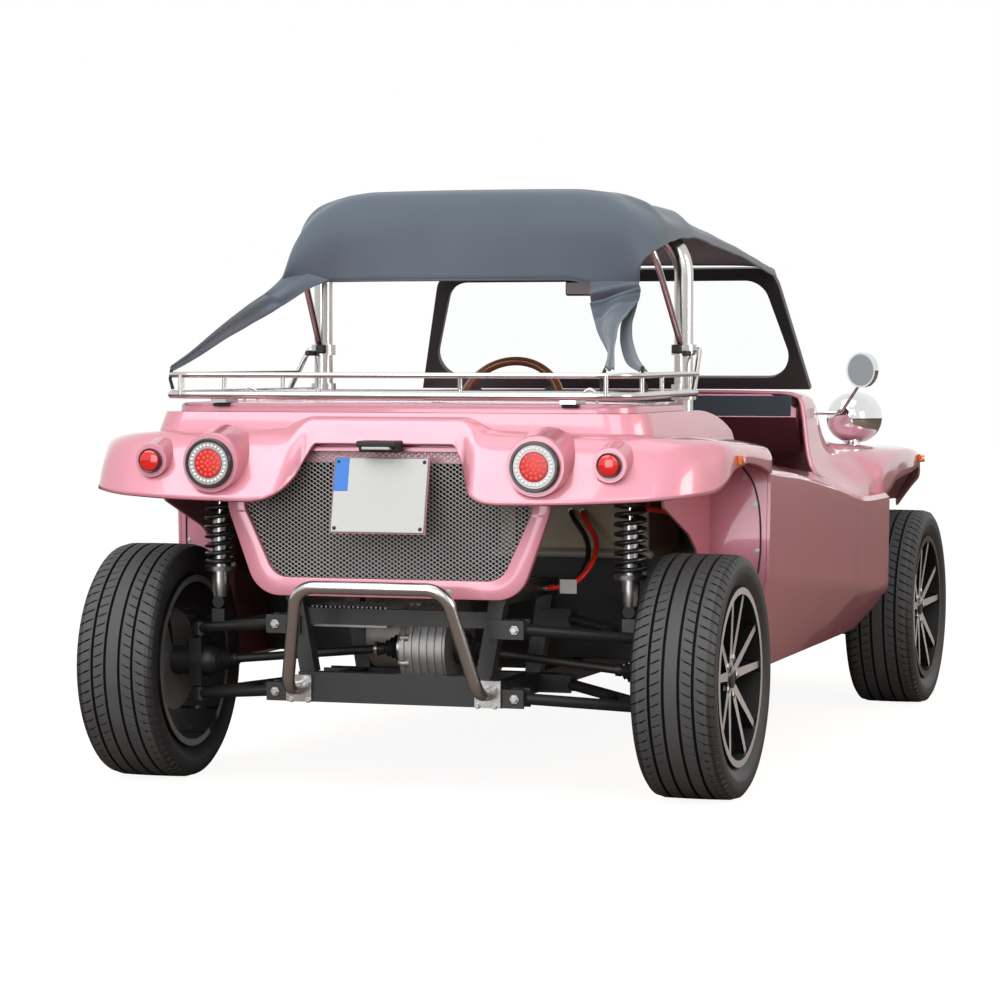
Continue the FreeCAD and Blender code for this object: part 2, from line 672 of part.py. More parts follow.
def ears(pivot_x, pivot_y, pivot_z, carrier_x):
    """Two plates, ahead of and behind a bush, that reach from the frame to its bolt."""
    made = []
    half = size.bush_length.value / 2 + GAP
    thick = size.ear_thickness.value
    reach = size.bush_diameter.value / 2
    for fore in SIDES:
        y = pivot_y + fore * half - (0 if fore > 0 else thick)
        made.append(Part.makeBox(pivot_x + reach - carrier_x, thick, reach * 2,
                                 Vector(carrier_x, y, pivot_z - reach)))
    web = pivot_x - reach - size.seat_gap.value - carrier_x
    made.append(Part.makeBox(web, (half + thick) * 2, reach * 2,
                             Vector(carrier_x, pivot_y - half - thick, pivot_z - reach)))
    return made


def subframe(axle_y, spread, upper_z, top_z, tower_z, tower_x, shock_y, shock_x):
    """The tubes round one axle that carry its arms and shock absorbers, left half."""
    thick = size.rail_width.value
    lean_x = size.arm_pivot_x.value - size.bush_diameter.value
    made = []
    for fore in SIDES:
        y = axle_y + fore * spread
        foot_x = size.rail_x.value
        on_beam = axle_y > 0 and fore > 0
        foot_z = (size.rail_z.value + size.beam_height.value if on_beam else RAIL_TOP) + GAP
        made.append(prism([(foot_x - thick / 2, y - thick / 2, foot_z), (foot_x + thick / 2, y - thick / 2, foot_z),
                           (lean_x + thick / 2, y - thick / 2, top_z), (lean_x - thick / 2, y - thick / 2, top_z)],
                          Vector(0, thick, 0)))
        made += ears(size.arm_pivot_x.value, y, upper_z, lean_x - thick / 2)
    made.append(bar(Vector(lean_x, axle_y - spread - thick / 2, top_z),
                    Vector(lean_x, axle_y + spread + thick / 2, top_z), thick, thick))
    made.append(solid_cylinder(Vector(lean_x, shock_y, top_z), Vector(lean_x, shock_y, tower_z), TUBE / 2))
    made.append(solid_cylinder(Vector(0, shock_y, tower_z), Vector(tower_x, shock_y, tower_z), TUBE / 2))
    for fore in SIDES:
        y = shock_y + fore * (size.shock_eye.value / 2 + GAP) - (0 if fore > 0 else size.ear_thickness.value)
        made.append(Part.makeBox(size.shock_eye.value, size.ear_thickness.value, TUBE * 2.1,
                                 Vector(shock_x - size.shock_eye.value / 2, y, tower_z - TUBE * 1.8)))
    cap = size.shock_eye.value / 2 + GAP + size.ear_thickness.value
    made.append(Part.makeBox(size.shock_eye.value, cap * 2, TUBE * 0.7,
                             Vector(shock_x - size.shock_eye.value / 2, shock_y - cap, tower_z - TUBE * 0.4)))
    return made


def arm_clearance(axle_y, spread, high_z):
    """Round notches in the ears, wider than the arms' tubes that leave the bushes at a slant, left side."""
    made = []
    for fore in SIDES:
        for pivot_z, tip_z in ((high_z, tip_high), (size.lower_pivot_z.value, tip_low)):
            pivot = Vector(size.arm_pivot_x.value, axle_y + fore * spread, pivot_z)
            tip = Vector(REAR_BALL_X, axle_y, tip_z)
            made.append(solid_cylinder(pivot, tip, size.arm_tube.value / 2 + size.seat_gap.value))
    return made


def frame_shape():
    width, height = size.rail_width.value, size.rail_height.value
    rail_x, rail_z = size.rail_x.value, size.rail_z.value
    spread = size.arm_pivot_spread.value
    front_spread = size.front_pivot_spread.value
    beam_y = BEAM_FACE - width
    front_end = NOSE - front_spread - width
    half = [Part.makeBox(width, beam_y + width - front_end, height, Vector(rail_x - width / 2, front_end, rail_z)),
            Part.makeBox(size.beam_half_length.value, width, size.beam_height.value, Vector(0, beam_y, rail_z))]
    cross_shares = (0.0, 0.34, 0.64, 0.86)
    length = beam_y - front_end
    for share in cross_shares:
        half.append(Part.makeBox(rail_x, width, height, Vector(0, front_end + length * share, rail_z)))
    for y, off in ((REAR, spread), (NOSE, front_spread)):
        for fore in SIDES:
            half += ears(size.arm_pivot_x.value, y + fore * off, size.lower_pivot_z.value, rail_x)
    clearances = arm_clearance(REAR, spread, size.upper_pivot_z.value)
    clearances += arm_clearance(NOSE, front_spread, size.upper_pivot_z.value - width)
    left = half[0].fuse(half[1:]).cut(clearances)
    return left.fuse(mirrored(left)).removeSplitter()


def subframe_shape(axle_y, spread, upper_z, top_z, tower_z, tower_x, shock_y, shock_x):
    """Both halves of the tubes round one axle, which stand on the frame's rails."""
    left = subframe(axle_y, spread, upper_z, top_z, tower_z, tower_x, shock_y, shock_x)
    thick = size.rail_width.value
    lean_x = size.arm_pivot_x.value - size.bush_diameter.value
    inboard = -1 if axle_y > 0 else 1
    left.append(Part.makeBox(lean_x, thick, thick, Vector(0, axle_y + inboard * spread - thick / 2, top_z - thick / 2)))
    if axle_y > 0:
        left.append(Part.makeBox(lean_x, thick / 2, thick, Vector(0, axle_y + spread - thick / 2, SHELF_Z)))
    rack_y, rack_z = axle_y - size.steering_arm.value, size.steering_rack_z.value
    rail_x, housing = size.rail_x.value, size.shaft_diameter.value * 0.9
    if axle_y < 0:
        left.append(solid_cylinder(Vector(0, rack_y, rack_z), Vector(rail_x, rack_y, rack_z), housing))
        left.append(Part.makeBox(thick * 0.6, rack_y - axle_y + spread, housing * 1.6,
                                 Vector(rail_x - thick * 0.6, axle_y - spread, rack_z - housing * 0.8)))
    whole = left[0].fuse(left[1:]).cut(arm_clearance(axle_y, spread, upper_z))
    whole = whole.fuse(mirrored(whole)).removeSplitter()
    return whole.cut(solid_cylinder(Vector(-rail_x * 2, rack_y, rack_z), Vector(rail_x * 2, rack_y, rack_z),
                                    size.shaft_diameter.value / 2 + GAP)) if axle_y < 0 else whole


keep(feature("chassis_frame_shape", checked(frame_shape(), "chassis_frame")), "chassis_frame")
rear_subframe = subframe_shape(REAR, size.arm_pivot_spread.value, size.upper_pivot_z.value, size.frame_rise_z.value,
                               size.tower_z.value, size.shock_x.value + TUBE, SHOCK_SEAT_Y, size.shock_x.value)
keep(feature("rear_subframe_shape", checked(rear_subframe, "rear_subframe")), "rear_subframe")
front_subframe = subframe_shape(NOSE, size.front_pivot_spread.value, size.upper_pivot_z.value - size.rail_width.value,
                                size.frame_rise_z.value - size.rail_width.value, size.front_tower_z.value,
                                front_top.x + TUBE, NOSE, front_top.x)
keep(feature("front_subframe_shape", checked(front_subframe, "front_subframe")), "front_subframe")


# Foot of the rear deck's walls, as a share of the deck's height
deck_foot_share = 0.870
# Floor, bulkhead and footwell, with the cockpit's side walls: length share and height share of their top
tub_wall_shares = ((1.0, 0.858), (0.90, 0.850), (0.65, 0.806), (0.39, 0.778), (0.22, 0.758), (0.0, 0.72))


def tub_shape():
    wall = size.floor_wall.value
    low = size.floor_z.value
    rear_y = size.bulkhead_y.value
    wide, narrow = size.cabin_half_width.value, size.footwell_half_width.value
    front_y, step_y = size.footwell_front_y.value, size.footwell_step_y.value
    floor_outline = [(0, rear_y + wall, low), (wide, rear_y + wall, low), (wide, step_y - wall, low),
                     (narrow, step_y - wall, low), (narrow, front_y - wall, low), (0, front_y - wall, low)]
    floor = prism(floor_outline, Vector(0, 0, wall))
    bulkhead = Part.makeBox(wide, wall, DECK * deck_foot_share - GAP - low, Vector(0, rear_y, low))
    inner_high = DECK * 0.7
    toe = Part.makeBox(narrow, wall, inner_high - low, Vector(0, front_y - wall, low))
    cheek = Part.makeBox(wall, step_y - front_y + wall, inner_high - low, Vector(narrow - wall, front_y - wall, low))
    arch_wall = Part.makeBox(wide - narrow + wall, wall, inner_high * 0.96 - low, Vector(narrow - wall, step_y - wall, low))
    start = step_y
    wall_line = [(start, low), (rear_y, low)] + [(start + (rear_y - start) * share, DECK * high)
                                                 for share, high in tub_wall_shares]
    side_wall = prism([(wide - WALL, y, z) for y, z in wall_line], Vector(WALL, 0, 0))
    half = floor.fuse([bulkhead, toe, cheek, arch_wall, side_wall])
    return half.fuse(mirrored(half)).removeSplitter()


keep(feature("floor_tub_shape", checked(tub_shape(), "floor_tub")), "floor_tub")

# Side panels: y as a share of the panel's length from its front, then the top edge's height share,
# the crease's height share, the half width shares at the top, the crease and the foot, and the
# half width and height shares of the ledge's inner edge beside the cockpit
side_shares = (
    (0.0, 0.694, 0.415, 0.965, 0.962, 0.870, 0.918, 0.700),
    (0.10, 0.694, 0.424, 0.968, 0.965, 0.873, 0.918, 0.701),
    (0.19, 0.696, 0.440, 0.972, 0.968, 0.878, 0.918, 0.703),
    (0.258, 0.702, 0.450, 0.975, 0.971, 0.881, 0.918, 0.708),
    (0.263, 0.703, 0.450, 0.975, 0.971, 0.881, 0.815, 0.778),
    (0.34, 0.717, 0.462, 0.978, 0.974, 0.886, 0.815, 0.788),
    (0.45, 0.742, 0.478, 0.981, 0.977, 0.890, 0.815, 0.802),
    (0.56, 0.762, 0.492, 0.985, 0.980, 0.895, 0.815, 0.818),
    (0.67, 0.782, 0.507, 0.988, 0.983, 0.900, 0.815, 0.835),
    (0.78, 0.800, 0.521, 0.990, 0.986, 0.905, 0.815, 0.858),
    (0.90, 0.814, 0.540, 0.993, 0.989, 0.910, 0.815, 0.885),
    (0.97, 0.822, 0.549, 0.995, 0.990, 0.912, 0.815, 0.892),
    (1.0, 0.826, 0.555, 0.996, 0.991, 0.913, 0.815, 0.894),
)
# Swept lower front corner of the side panels: shares of the crease's height, along the panel and up
front_corner_shares = ((0.0, 1.0), (0.10, 0.70), (0.32, 0.42), (0.74, 0.18), (1.45, 0.0))


def side_shape():
    """Outer side skin with an inturned top edge, a crease and an undercut foot, closed ahead of the rear wheel."""
    start, end = size.side_front_y.value, size.side_rear_y.value
    sections = []
    for along, top, crease, top_x, crease_x, foot_x, ledge_x, ledge in side_shares:
        y = start + (end - start) * along
        line = [(ledge_x * HALF, ledge * DECK), (top_x * HALF - WALL, top * DECK + WALL), (top_x * HALF, top * DECK),
                (crease_x * HALF, crease * DECK), (foot_x * HALF, size.floor_z.value),
                (size.cabin_half_width.value + GAP, size.floor_z.value)]
        sections.append([(x, y, z) for x, z in skin_section(line, WALL)])
    low, crease = size.floor_z.value - WALL, side_shares[0][2] * DECK
    swept = [(0, start + (crease - low) * back, low + (crease - low) * up) for back, up in front_corner_shares]
    corner = prism(swept + [(0, start - WALL, low), (0, start - WALL, crease)], Vector(HALF, 0, 0))
    return loft(sections).cut(corner)


side = side_shape()
outline = [(side_shares[-1][5] * HALF - WALL, size.floor_z.value + WALL),
           (side_shares[-1][4] * HALF - WALL * 1.2, side_shares[-1][2] * DECK),
           (side_shares[-1][3] * HALF - WALL * 1.2, side_shares[-1][1] * DECK - WALL)]
inner_x = size.cabin_half_width.value + WALL
liner_outline = outline + [(inner_x, outline[-1][1]), (inner_x, size.floor_z.value + WALL)]
liner = prism([(x, size.side_rear_y.value - WALL, z) for x, z in liner_outline], Vector(0, WALL, 0))

# Rear wings and lamp panel: stations from the left wing's front end round to the middle. Each station
# holds (half width share, rear overhang share behind the axle, deck height share) for five points:
# inner top, crown, edge, middle of the face, lower edge
wing_shares = (
    ((0.800, -0.7504, 0.914), (0.914, -0.7504, 0.908), (0.986, -0.7504, 0.893), (1.0, -0.7504, 0.868), (1.0, -0.7504, 0.832)),
    ((0.800, -0.430, 0.926), (0.914, -0.430, 0.919), (0.986, -0.430, 0.902), (1.0, -0.430, 0.880), (1.0, -0.430, 0.858)),
    ((0.800, -0.163, 0.930), (0.914, -0.163, 0.924), (0.986, -0.163, 0.907), (1.0, -0.163, 0.888), (1.0, -0.163, 0.868)),
    ((0.800, 0.105, 0.934), (0.914, 0.105, 0.928), (0.986, 0.105, 0.912), (1.0, 0.105, 0.888), (1.0, 0.105, 0.857)),
    ((0.800, 0.240, 0.936), (0.912, 0.252, 0.930), (0.980, 0.260, 0.914), (0.996, 0.275, 0.880), (0.999, 0.285, 0.825)),
    ((0.790, 0.384, 0.938), (0.885, 0.390, 0.931), (0.945, 0.410, 0.914), (0.968, 0.430, 0.868), (0.980, 0.442, 0.799)),
    ((0.765, 0.500, 0.940), (0.842, 0.523, 0.931), (0.885, 0.570, 0.912), (0.907, 0.630, 0.857), (0.920, 0.674, 0.790)),
    ((0.700, 0.565, 0.942), (0.750, 0.605, 0.933), (0.775, 0.660, 0.912), (0.790, 0.740, 0.847), (0.802, 0.810, 0.781)),
    ((0.519, 0.595, 0.944), (0.519, 0.640, 0.936), (0.519, 0.690, 0.917), (0.519, 0.790, 0.847), (0.519, 0.890, 0.771)),
    ((0.333, 0.600, 0.952), (0.312, 0.640, 0.942), (0.309, 0.690, 0.921), (0.315, 0.800, 0.847), (0.320, 0.914, 0.768)),
    ((0.250, 0.590, 0.982), (0.245, 0.628, 0.976), (0.243, 0.642, 0.955), (0.243, 0.670, 0.919), (0.243, 0.722, 0.770)),
    ((0.0, 0.590, 0.982), (0.0, 0.628, 0.976), (0.0, 0.642, 0.955), (0.0, 0.665, 0.919), (0.0, 0.690, 0.770)),
)


def wing_stations():
    """Outer points of the wing and lamp panel, as vectors, from the left wing's front end to the middle."""
    stations = []
    for station in wing_shares:
        stations.append([Vector(x * HALF, REAR + y * size.rear_overhang.value, z * DECK) for x, y, z in station])
    return stations


def skin_grid(stations, wall, ends="yy"):
    """A wall under a grid of points. Its two end sections stay flat, each across the named axis."""
    rows, columns = len(stations), len(stations[0])
    sections = []
    for i in range(rows):
        inner = []
        for j in range(columns):
            along = stations[min(i + 1, rows - 1)][j] - stations[max(i - 1, 0)][j]
            across = stations[i][min(j + 1, columns - 1)] - stations[i][max(j - 1, 0)]
            normal = across.cross(along).normalize()
            inner.append(stations[i][j] - normal * wall)
        if i in (0, rows - 1):
            axis = ends[0 if i == 0 else 1]
            for point in inner:
                setattr(point, axis, getattr(stations[i][0], axis))
        sections.append(corners_of(stations[i] + inner[::-1]))
    return sections


def ring_at(centre, normal, radius):
    return Part.Wire([Part.makeCircle(radius, centre, normal)])


def rounded_outline(half_width, front_y, rear_y, z, corner):
    """Plan outline of the deck: square in front, rounded at the two rear corners."""
    edges = []
    left_front, left_rear = Vector(half_width, front_y, z), Vector(half_width, rear_y - corner, z)
    right_front, right_rear = Vector(-half_width, front_y, z), Vector(-half_width, rear_y - corner, z)
    diagonal = corner * (1 - math.sqrt(0.5))
    edges.append(Part.LineSegment(left_front, left_rear).toShape())
    edges.append(Part.Arc(left_rear, Vector(half_width - diagonal, rear_y - diagonal, z),
                          Vector(half_width - corner, rear_y, z)).toShape())
    edges.append(Part.LineSegment(Vector(half_width - corner, rear_y, z),
                                  Vector(corner - half_width, rear_y, z)).toShape())
    edges.append(Part.Arc(Vector(corner - half_width, rear_y, z),
                          Vector(diagonal - half_width, rear_y - diagonal, z), right_rear).toShape())
    edges.append(Part.LineSegment(right_rear, right_front).toShape())
    edges.append(Part.LineSegment(right_front, left_front).toShape())
    return Part.Wire(edges)


# Middle opening over the number plate, half width share and deck height share down its sweeping edge
opening_shares = ((0.217, 0.9185), (0.247, 0.884), (0.284, 0.820), (0.316, 0.786), (0.352, 0.7745), (0.400, 0.7705),
                  (0.405, 0.700))
# Wall of the wheel arch beside the deck: share of the tyre's radius behind the rear axle, deck height share
arch_wall_shares = ((-1.073, 0.350), (-0.950, 0.476), (-0.617, 0.635), (-0.383, 0.677), (0.383, 0.757), (0.620, 0.920),
                    (-1.073, 0.912))


def lamp_panel_shape():
    left = wing_stations()
    right = [[Vector(-p.x, p.y, p.z) for p in station] for station in left[-2::-1]]
    skin = loft(skin_grid(left + right, WALL))
    y = REAR + size.rear_overhang.value * 0.3
    sweep = [(x * HALF, y, z * DECK) for x, z in opening_shares]
    opening = prism(sweep + [(-x, y, z) for x, y, z in sweep[::-1]], Vector(0, size.rear_overhang.value, 0))
    trim = Part.makeLoft([rounded_outline(half * HALF + GAP, 0, REAR + size.rear_overhang.value * 0.588 + GAP
                                          - (0.798 - half) * HALF, z * DECK, HALF * 0.12)
                          for z, half in ((0.6, 0.798), (0.940, 0.798), (1.0, 0.778))], True, True)
    skin = skin.cut([opening, trim])
    pods = []
    for x, z, diameter, face in ((size.lamp_x.value, size.lamp_z.value, size.lamp_pod_diameter.value,
                                  size.lamp_face_y.value - size.lens_thickness.value),
                                 (size.reflector_x.value, size.reflector_z.value, size.reflector_pod_diameter.value,
                                  size.reflector_face_y.value - size.lens_thickness.value)):
        depth = diameter * 0.62 + size.lens_thickness.value
        for turn in SIDES:
            rings = [ring_at(Vector(turn * x, face, z), Vector(0, 1, 0), diameter / 2),
                     ring_at(Vector(turn * x, face - WALL * 2, z), Vector(0, 1, 0), diameter / 2),
                     ring_at(Vector(turn * x, face - depth, z + WALL), Vector(0, 1, 0), diameter * 0.57)]
            pods.append(Part.makeLoft(rings, True, True))
    wall = prism([(0.803 * HALF, REAR + along * AXLE, high * DECK) for along, high in arch_wall_shares], Vector(WALL, 0, 0))
    return skin.fuse(pods + [wall, mirrored(wall)])


keep(feature("rear_wings_shape", checked(lamp_panel_shape(), "rear_wings")), "rear_wings")


# Rear deck
def deck_side_view(wall):
    """Everything behind and under the deck's rounded front, less a wall, as one block across the vehicle."""
    steps = 10
    long, drop = size.deck_nose_length.value, size.deck_nose_drop.value
    front, top = size.deck_front_y.value + wall, DECK - wall
    curve = [(front + long * (1 - math.cos(math.pi / 2 * step / steps)), top - drop * (1 - math.sin(math.pi / 2 * step / steps)))
             for step in range(steps + 1)]
    rear, low = REAR + size.rear_overhang.value, DECK * 0.5
    outline = [(front, low)] + curve + [(rear, top), (rear, low)]
    return prism([(-HALF, y, z) for y, z in outline], Vector(HALF * 2, 0, 0))


def deck_shape():
    """Raised box round the load space: a rounded front, an inturned rim under the lid, and shoulders beside the hoop."""
    levels = ((deck_foot_share, 0.798), (0.940, 0.798), (1.0, 0.778))
    front_y, wall_y = size.deck_front_y.value, size.bulkhead_y.value + size.floor_wall.value
    rear_y = REAR + size.rear_overhang.value * 0.588
    corner = HALF * 0.12
    outer = Part.makeLoft([rounded_outline(half * HALF, front_y, rear_y - (0.798 - half) * HALF, z * DECK, corner)
                           for z, half in levels], True, True)
    inner = Part.makeLoft([rounded_outline(half * HALF - WALL, front_y + WALL, rear_y - WALL - (0.798 - half) * HALF,
                                           z * DECK + (WALL if z < 0.9 else -WALL if z == 1.0 else 0), corner)
                           for z, half in levels], True, True)
    outer = outer.common(deck_side_view(0))
    inner = inner.common(deck_side_view(WALL))
    rim = WALL * 9
    mouth = Part.makeLoft([rounded_outline(levels[-1][1] * HALF - rim, size.lid_front_y.value + rim * 0.6, rear_y - rim, z, corner * 0.6)
                           for z in (DECK - WALL * 2, DECK + WALL)], True, True)
    low, high = levels[0][0] * DECK, DECK
    gate = size.hoop_x.value + size.hoop_tube.value
    notch = Part.makeBox(gate * 2, wall_y - front_y + WALL, (high - low) * 2,
                         Vector(-gate, front_y - WALL, low - (high - low) / 2))
    box_front = Part.makeBox(gate * 2, WALL, high - low, Vector(-gate, wall_y, low))
    cheeks = [Part.makeBox(WALL, wall_y + WALL - front_y, high - low, Vector(x, front_y, low))
              for x in (gate, -gate - WALL)]
    ends = [part.common(deck_side_view(0)) for part in [box_front] + cheeks]
    return outer.cut(inner).cut(mouth).cut(notch).fuse(ends).removeSplitter()


def lid_shape():
    front_y = size.lid_front_y.value
    rear_y = REAR + size.rear_overhang.value * 0.588 - WALL * 4
    half = HALF * 0.735
    corner = HALF * 0.11
    low = DECK + GAP
    rim = size.lid_thickness.value
    outer = Part.makeLoft([rounded_outline(half, front_y, rear_y, low, corner),
                           rounded_outline(half, front_y, rear_y, low + rim * 0.6, corner),
                           rounded_outline(half - rim, front_y + rim, rear_y - rim, low + rim, corner * 0.8)], True, True)
    return outer


keep(feature("rear_deck_shape", checked(deck_shape(), "rear_deck")), "rear_deck")
keep(feature("deck_lid_shape", checked(lid_shape(), "deck_lid")), "deck_lid")

# Front body: (front overhang share ahead of the axle, then (half width share, deck height share)
# points from the middle outwards over the bonnet, the wing's crown and the outer lip
front_shares = (
    (-1.387, ((0.0, 1.040), (0.660, 1.036), (0.752, 1.020), (0.795, 0.812), (0.860, 0.752), (0.922, 0.718), (0.924, 0.696))),
    (-1.097, ((0.0, 1.0381), (0.660, 1.0345), (0.748, 1.010), (0.793, 0.822), (0.860, 0.772), (0.922, 0.722), (0.924, 0.698))),
    (-0.930, ((0.0, 1.016), (0.610, 1.010), (0.715, 0.985), (0.786, 0.838), (0.860, 0.800), (0.924, 0.735), (0.926, 0.704))),
    (-0.832, ((0.0, 1.003), (0.578, 0.996), (0.688, 0.963), (0.776, 0.848), (0.862, 0.815), (0.926, 0.752), (0.928, 0.706))),
    (-0.752, ((0.0, 0.993), (0.550, 0.984), (0.664, 0.944), (0.765, 0.855), (0.868, 0.832), (0.955, 0.775), (0.957, 0.697))),
    (-0.600, ((0.0, 0.978), (0.495, 0.968), (0.620, 0.928), (0.735, 0.866), (0.862, 0.850), (0.957, 0.802), (0.959, 0.716))),
    (-0.450, ((0.0, 0.961), (0.450, 0.950), (0.588, 0.906), (0.712, 0.864), (0.852, 0.853), (0.957, 0.826), (0.960, 0.746))),
    (-0.315, ((0.0, 0.944), (0.407, 0.933), (0.556, 0.892), (0.691, 0.861), (0.840, 0.852), (0.955, 0.835), (0.958, 0.752))),
    (-0.150, ((0.0, 0.924), (0.388, 0.913), (0.537, 0.873), (0.679, 0.855), (0.828, 0.850), (0.951, 0.836), (0.954, 0.758))),
    (0.008, ((0.0, 0.902), (0.370, 0.891), (0.519, 0.860), (0.667, 0.850), (0.815, 0.849), (0.946, 0.833), (0.950, 0.762))),
    (0.210, ((0.0, 0.867), (0.358, 0.856), (0.506, 0.832), (0.655, 0.832), (0.797, 0.836), (0.933, 0.825), (0.936, 0.768))),
    (0.411, ((0.0, 0.828), (0.346, 0.817), (0.494, 0.802), (0.642, 0.808), (0.778, 0.818), (0.914, 0.812), (0.917, 0.770))),
    (0.580, ((0.0, 0.784), (0.339, 0.777), (0.481, 0.771), (0.630, 0.783), (0.760, 0.796), (0.892, 0.793), (0.895, 0.752))),
    (0.734, ((0.0, 0.735), (0.333, 0.733), (0.469, 0.735), (0.617, 0.752), (0.741, 0.767), (0.864, 0.765), (0.867, 0.723))),
    (0.835, ((0.0, 0.6752), (0.327, 0.6756), (0.456, 0.684), (0.593, 0.720), (0.716, 0.739), (0.827, 0.737), (0.830, 0.697))),
    (0.911, ((0.0, 0.630), (0.321, 0.632), (0.444, 0.645), (0.568, 0.680), (0.691, 0.704), (0.790, 0.704), (0.793, 0.667))),
    (0.992, ((0.0, 0.530), (0.309, 0.535), (0.425, 0.555), (0.543, 0.605), (0.654, 0.640), (0.740, 0.650), (0.743, 0.620))),
)


def front_section(points):
    line = [(x * HALF, z * DECK) for x, z in points]
    outer = [(-x, z) for x, z in line[:0:-1]] + line
    return skin_section(outer, WALL)


def front_body_shape():
    """Bonnet, scuttle and both front wings in one moulding, with the nose turned down between the wings."""
    sections = []
    for ahead, points in front_shares:
        y = NOSE - ahead * size.front_overhang.value
        sections.append([(x, y, z) for x, z in front_section(points)])
    return loft(sections)


front_body = front_body_shape()
keep(feature("front_body_shape", checked(front_body, "front_body")), "front_body")

# The side panels end just under the front body's flange
flanges = [front_body.copy(), front_body.copy()]
flanges[0].translate(Vector(0, 0, -GAP))
flanges[1].translate(Vector(GAP, 0, 0))
keep(feature("body_sides_shape", both_sides(checked(side.fuse(liner).cut(flanges), "body_sides"))), "body_sides")


def nose_shape():
    """Lower nose between the wheels: a wall round three sides under the bonnet."""
    levels = ((0.6565, 0.40, 0.85), (0.46, 0.33, 0.62))
    rear_y = NOSE - size.front_overhang.value * 0.36
    sections = []
    for z, half, ahead in levels:
        half, front = half * HALF, NOSE - ahead * size.front_overhang.value
        chamfer = WALL * 8
        line = [(-half, rear_y), (-half, front + chamfer), (chamfer - half, front), (half - chamfer, front),
                (half, front + chamfer), (half, rear_y)]
        sections.append([(x, y, z * DECK) for x, y in skin_section(line[::-1], WALL)])
    return loft(sections)


keep(feature("nose_pan_shape", checked(nose_shape(), "nose_pan")), "nose_pan")


# Dashboard, and the steering column's line that passes under it
tilt_angle = math.radians(size.column_tilt.value)
column_axis = Vector(0, math.cos(tilt_angle), math.sin(tilt_angle))
wheel_centre = vec(size.steering_x, size.steering_y, size.steering_z)
jacket_top = wheel_centre - column_axis * (size.wheel_ring_tube.value * 3.6)
jacket_end = jacket_top - column_axis * size.column_length.value


def dashboard_shape():
    front_y = NOSE + size.front_overhang.value * 1.387
    rear_y = front_y + WALL * 3
    high, low = DECK * 1.0272, DECK * 0.957
    knee_y, knee_z = front_y - WALL * 8, DECK * 0.85
    outline = [(0, knee_y, knee_z), (0, rear_y, low), (0, rear_y - WALL, high), (0, front_y - WALL * 2, high),
               (0, front_y - WALL * 2, low + WALL), (0, knee_y - WALL, knee_z + WALL)]
    half, top_half = HALF * 0.746, HALF * 0.652
    panel = prism([(x - half, y, z) for x, y, z in outline], Vector(half * 2, 0, 0))
    clips = [prism([(turn * top_half, knee_y - WALL * 2, high), (turn * half, knee_y - WALL * 2, low + WALL * 3),
                    (turn * (half + WALL), knee_y - WALL * 2, high + WALL), (turn * top_half, knee_y - WALL * 2, high + WALL)],
                   Vector(0, size.overrun.value * 8, 0)) for turn in SIDES]
    border = WALL * 1.5
    face = (Vector(0, rear_y - WALL, high) - Vector(0, rear_y, low)).normalize()
    inset = bar(Vector(-half + border * 2, rear_y - WALL * 0.5, (low + high) / 2),
                Vector(half - border * 2, rear_y - WALL * 0.5, (low + high) / 2), WALL * 0.5, high - low - border * 2, face)
    inset.translate(Vector(0, WALL * 0.1, 0))
    return panel.cut(clips + [inset, solid_cylinder(jacket_end, jacket_top, size.column_tube.value / 2 + GAP)])


keep(feature("dashboard_shape", checked(dashboard_shape(), "dashboard")), "dashboard")


# Windscreen
def screen_plane_point(x, share):
    """A point of the windscreen's plane: half widths shrink and the plane leans back towards the head."""
    return Vector(x, size.screen_base_y.value + (size.screen_top_y.value - size.screen_base_y.value) * share,
                  size.screen_base_z.value + (size.screen_top_z.value - size.screen_base_z.value) * share)


def screen_outline(inset, bend):
    base, head = size.screen_base_half.value - inset, size.screen_top_half.value - inset
    height = math.hypot(size.screen_top_y.value - size.screen_base_y.value,
                        size.screen_top_z.value - size.screen_base_z.value)
    low, high = inset / height, 1 - inset / height
    corners = [screen_plane_point(base, low), screen_plane_point(head, high),
               screen_plane_point(-head, high), screen_plane_point(-base, low)]
    if inset:
        middle = (corners[3] + corners[0]) / 2
        path = bent_path(corners_of([middle] + corners + [middle]), bend)
        return Part.Wire(path.Edges)
    path = bent_path(corners_of(corners), bend)
    closing = Part.LineSegment(corners[3], corners[0]).toShape()
    return Part.Wire(path.Edges + [closing])


lean = Vector(0, size.screen_top_y.value - size.screen_base_y.value, size.screen_top_z.value - size.screen_base_z.value)
screen_normal = Vector(1, 0, 0).cross(lean).normalize()
bar_width = size.screen_bar.value
outer_face = Part.Face(screen_outline(0, size.screen_bend.value))
inner_face = Part.Face(screen_outline(bar_width, size.screen_bend.value))
depth = screen_normal * size.screen_depth.value
frame_solid = outer_face.extrude(depth).cut(inner_face.extrude(depth * 3).fuse(inner_face.extrude(depth * -3)))
frame_solid.translate(depth * -0.5)
keep(feature("windscreen_frame_shape", checked(frame_solid, "windscreen_frame")), "windscreen_frame")
pane = Part.Face(screen_outline(bar_width + GAP, size.screen_bend.value - GAP))
glass = pane.extrude(screen_normal * size.glass_thickness.value)
glass.translate(screen_normal * (size.glass_thickness.value * -0.5))
keep(feature("windscreen_glass_shape", checked(glass, "windscreen_glass")), "windscreen_glass")


# Roll hoop and cloth top
def hoop_shape():
    x, y, top = size.hoop_x.value, size.hoop_y.value, size.hoop_top_z.value - size.hoop_tube.value / 2
    foot = size.floor_z.value + size.floor_wall.value + GAP
    return tube([(x, y, foot), (x, y, top), (-x, y, top), (-x, y, foot)], size.hoop_tube.value, size.hoop_bend.value)


keep(feature("roll_hoop_shape", checked(hoop_shape(), "roll_hoop")), "roll_hoop")


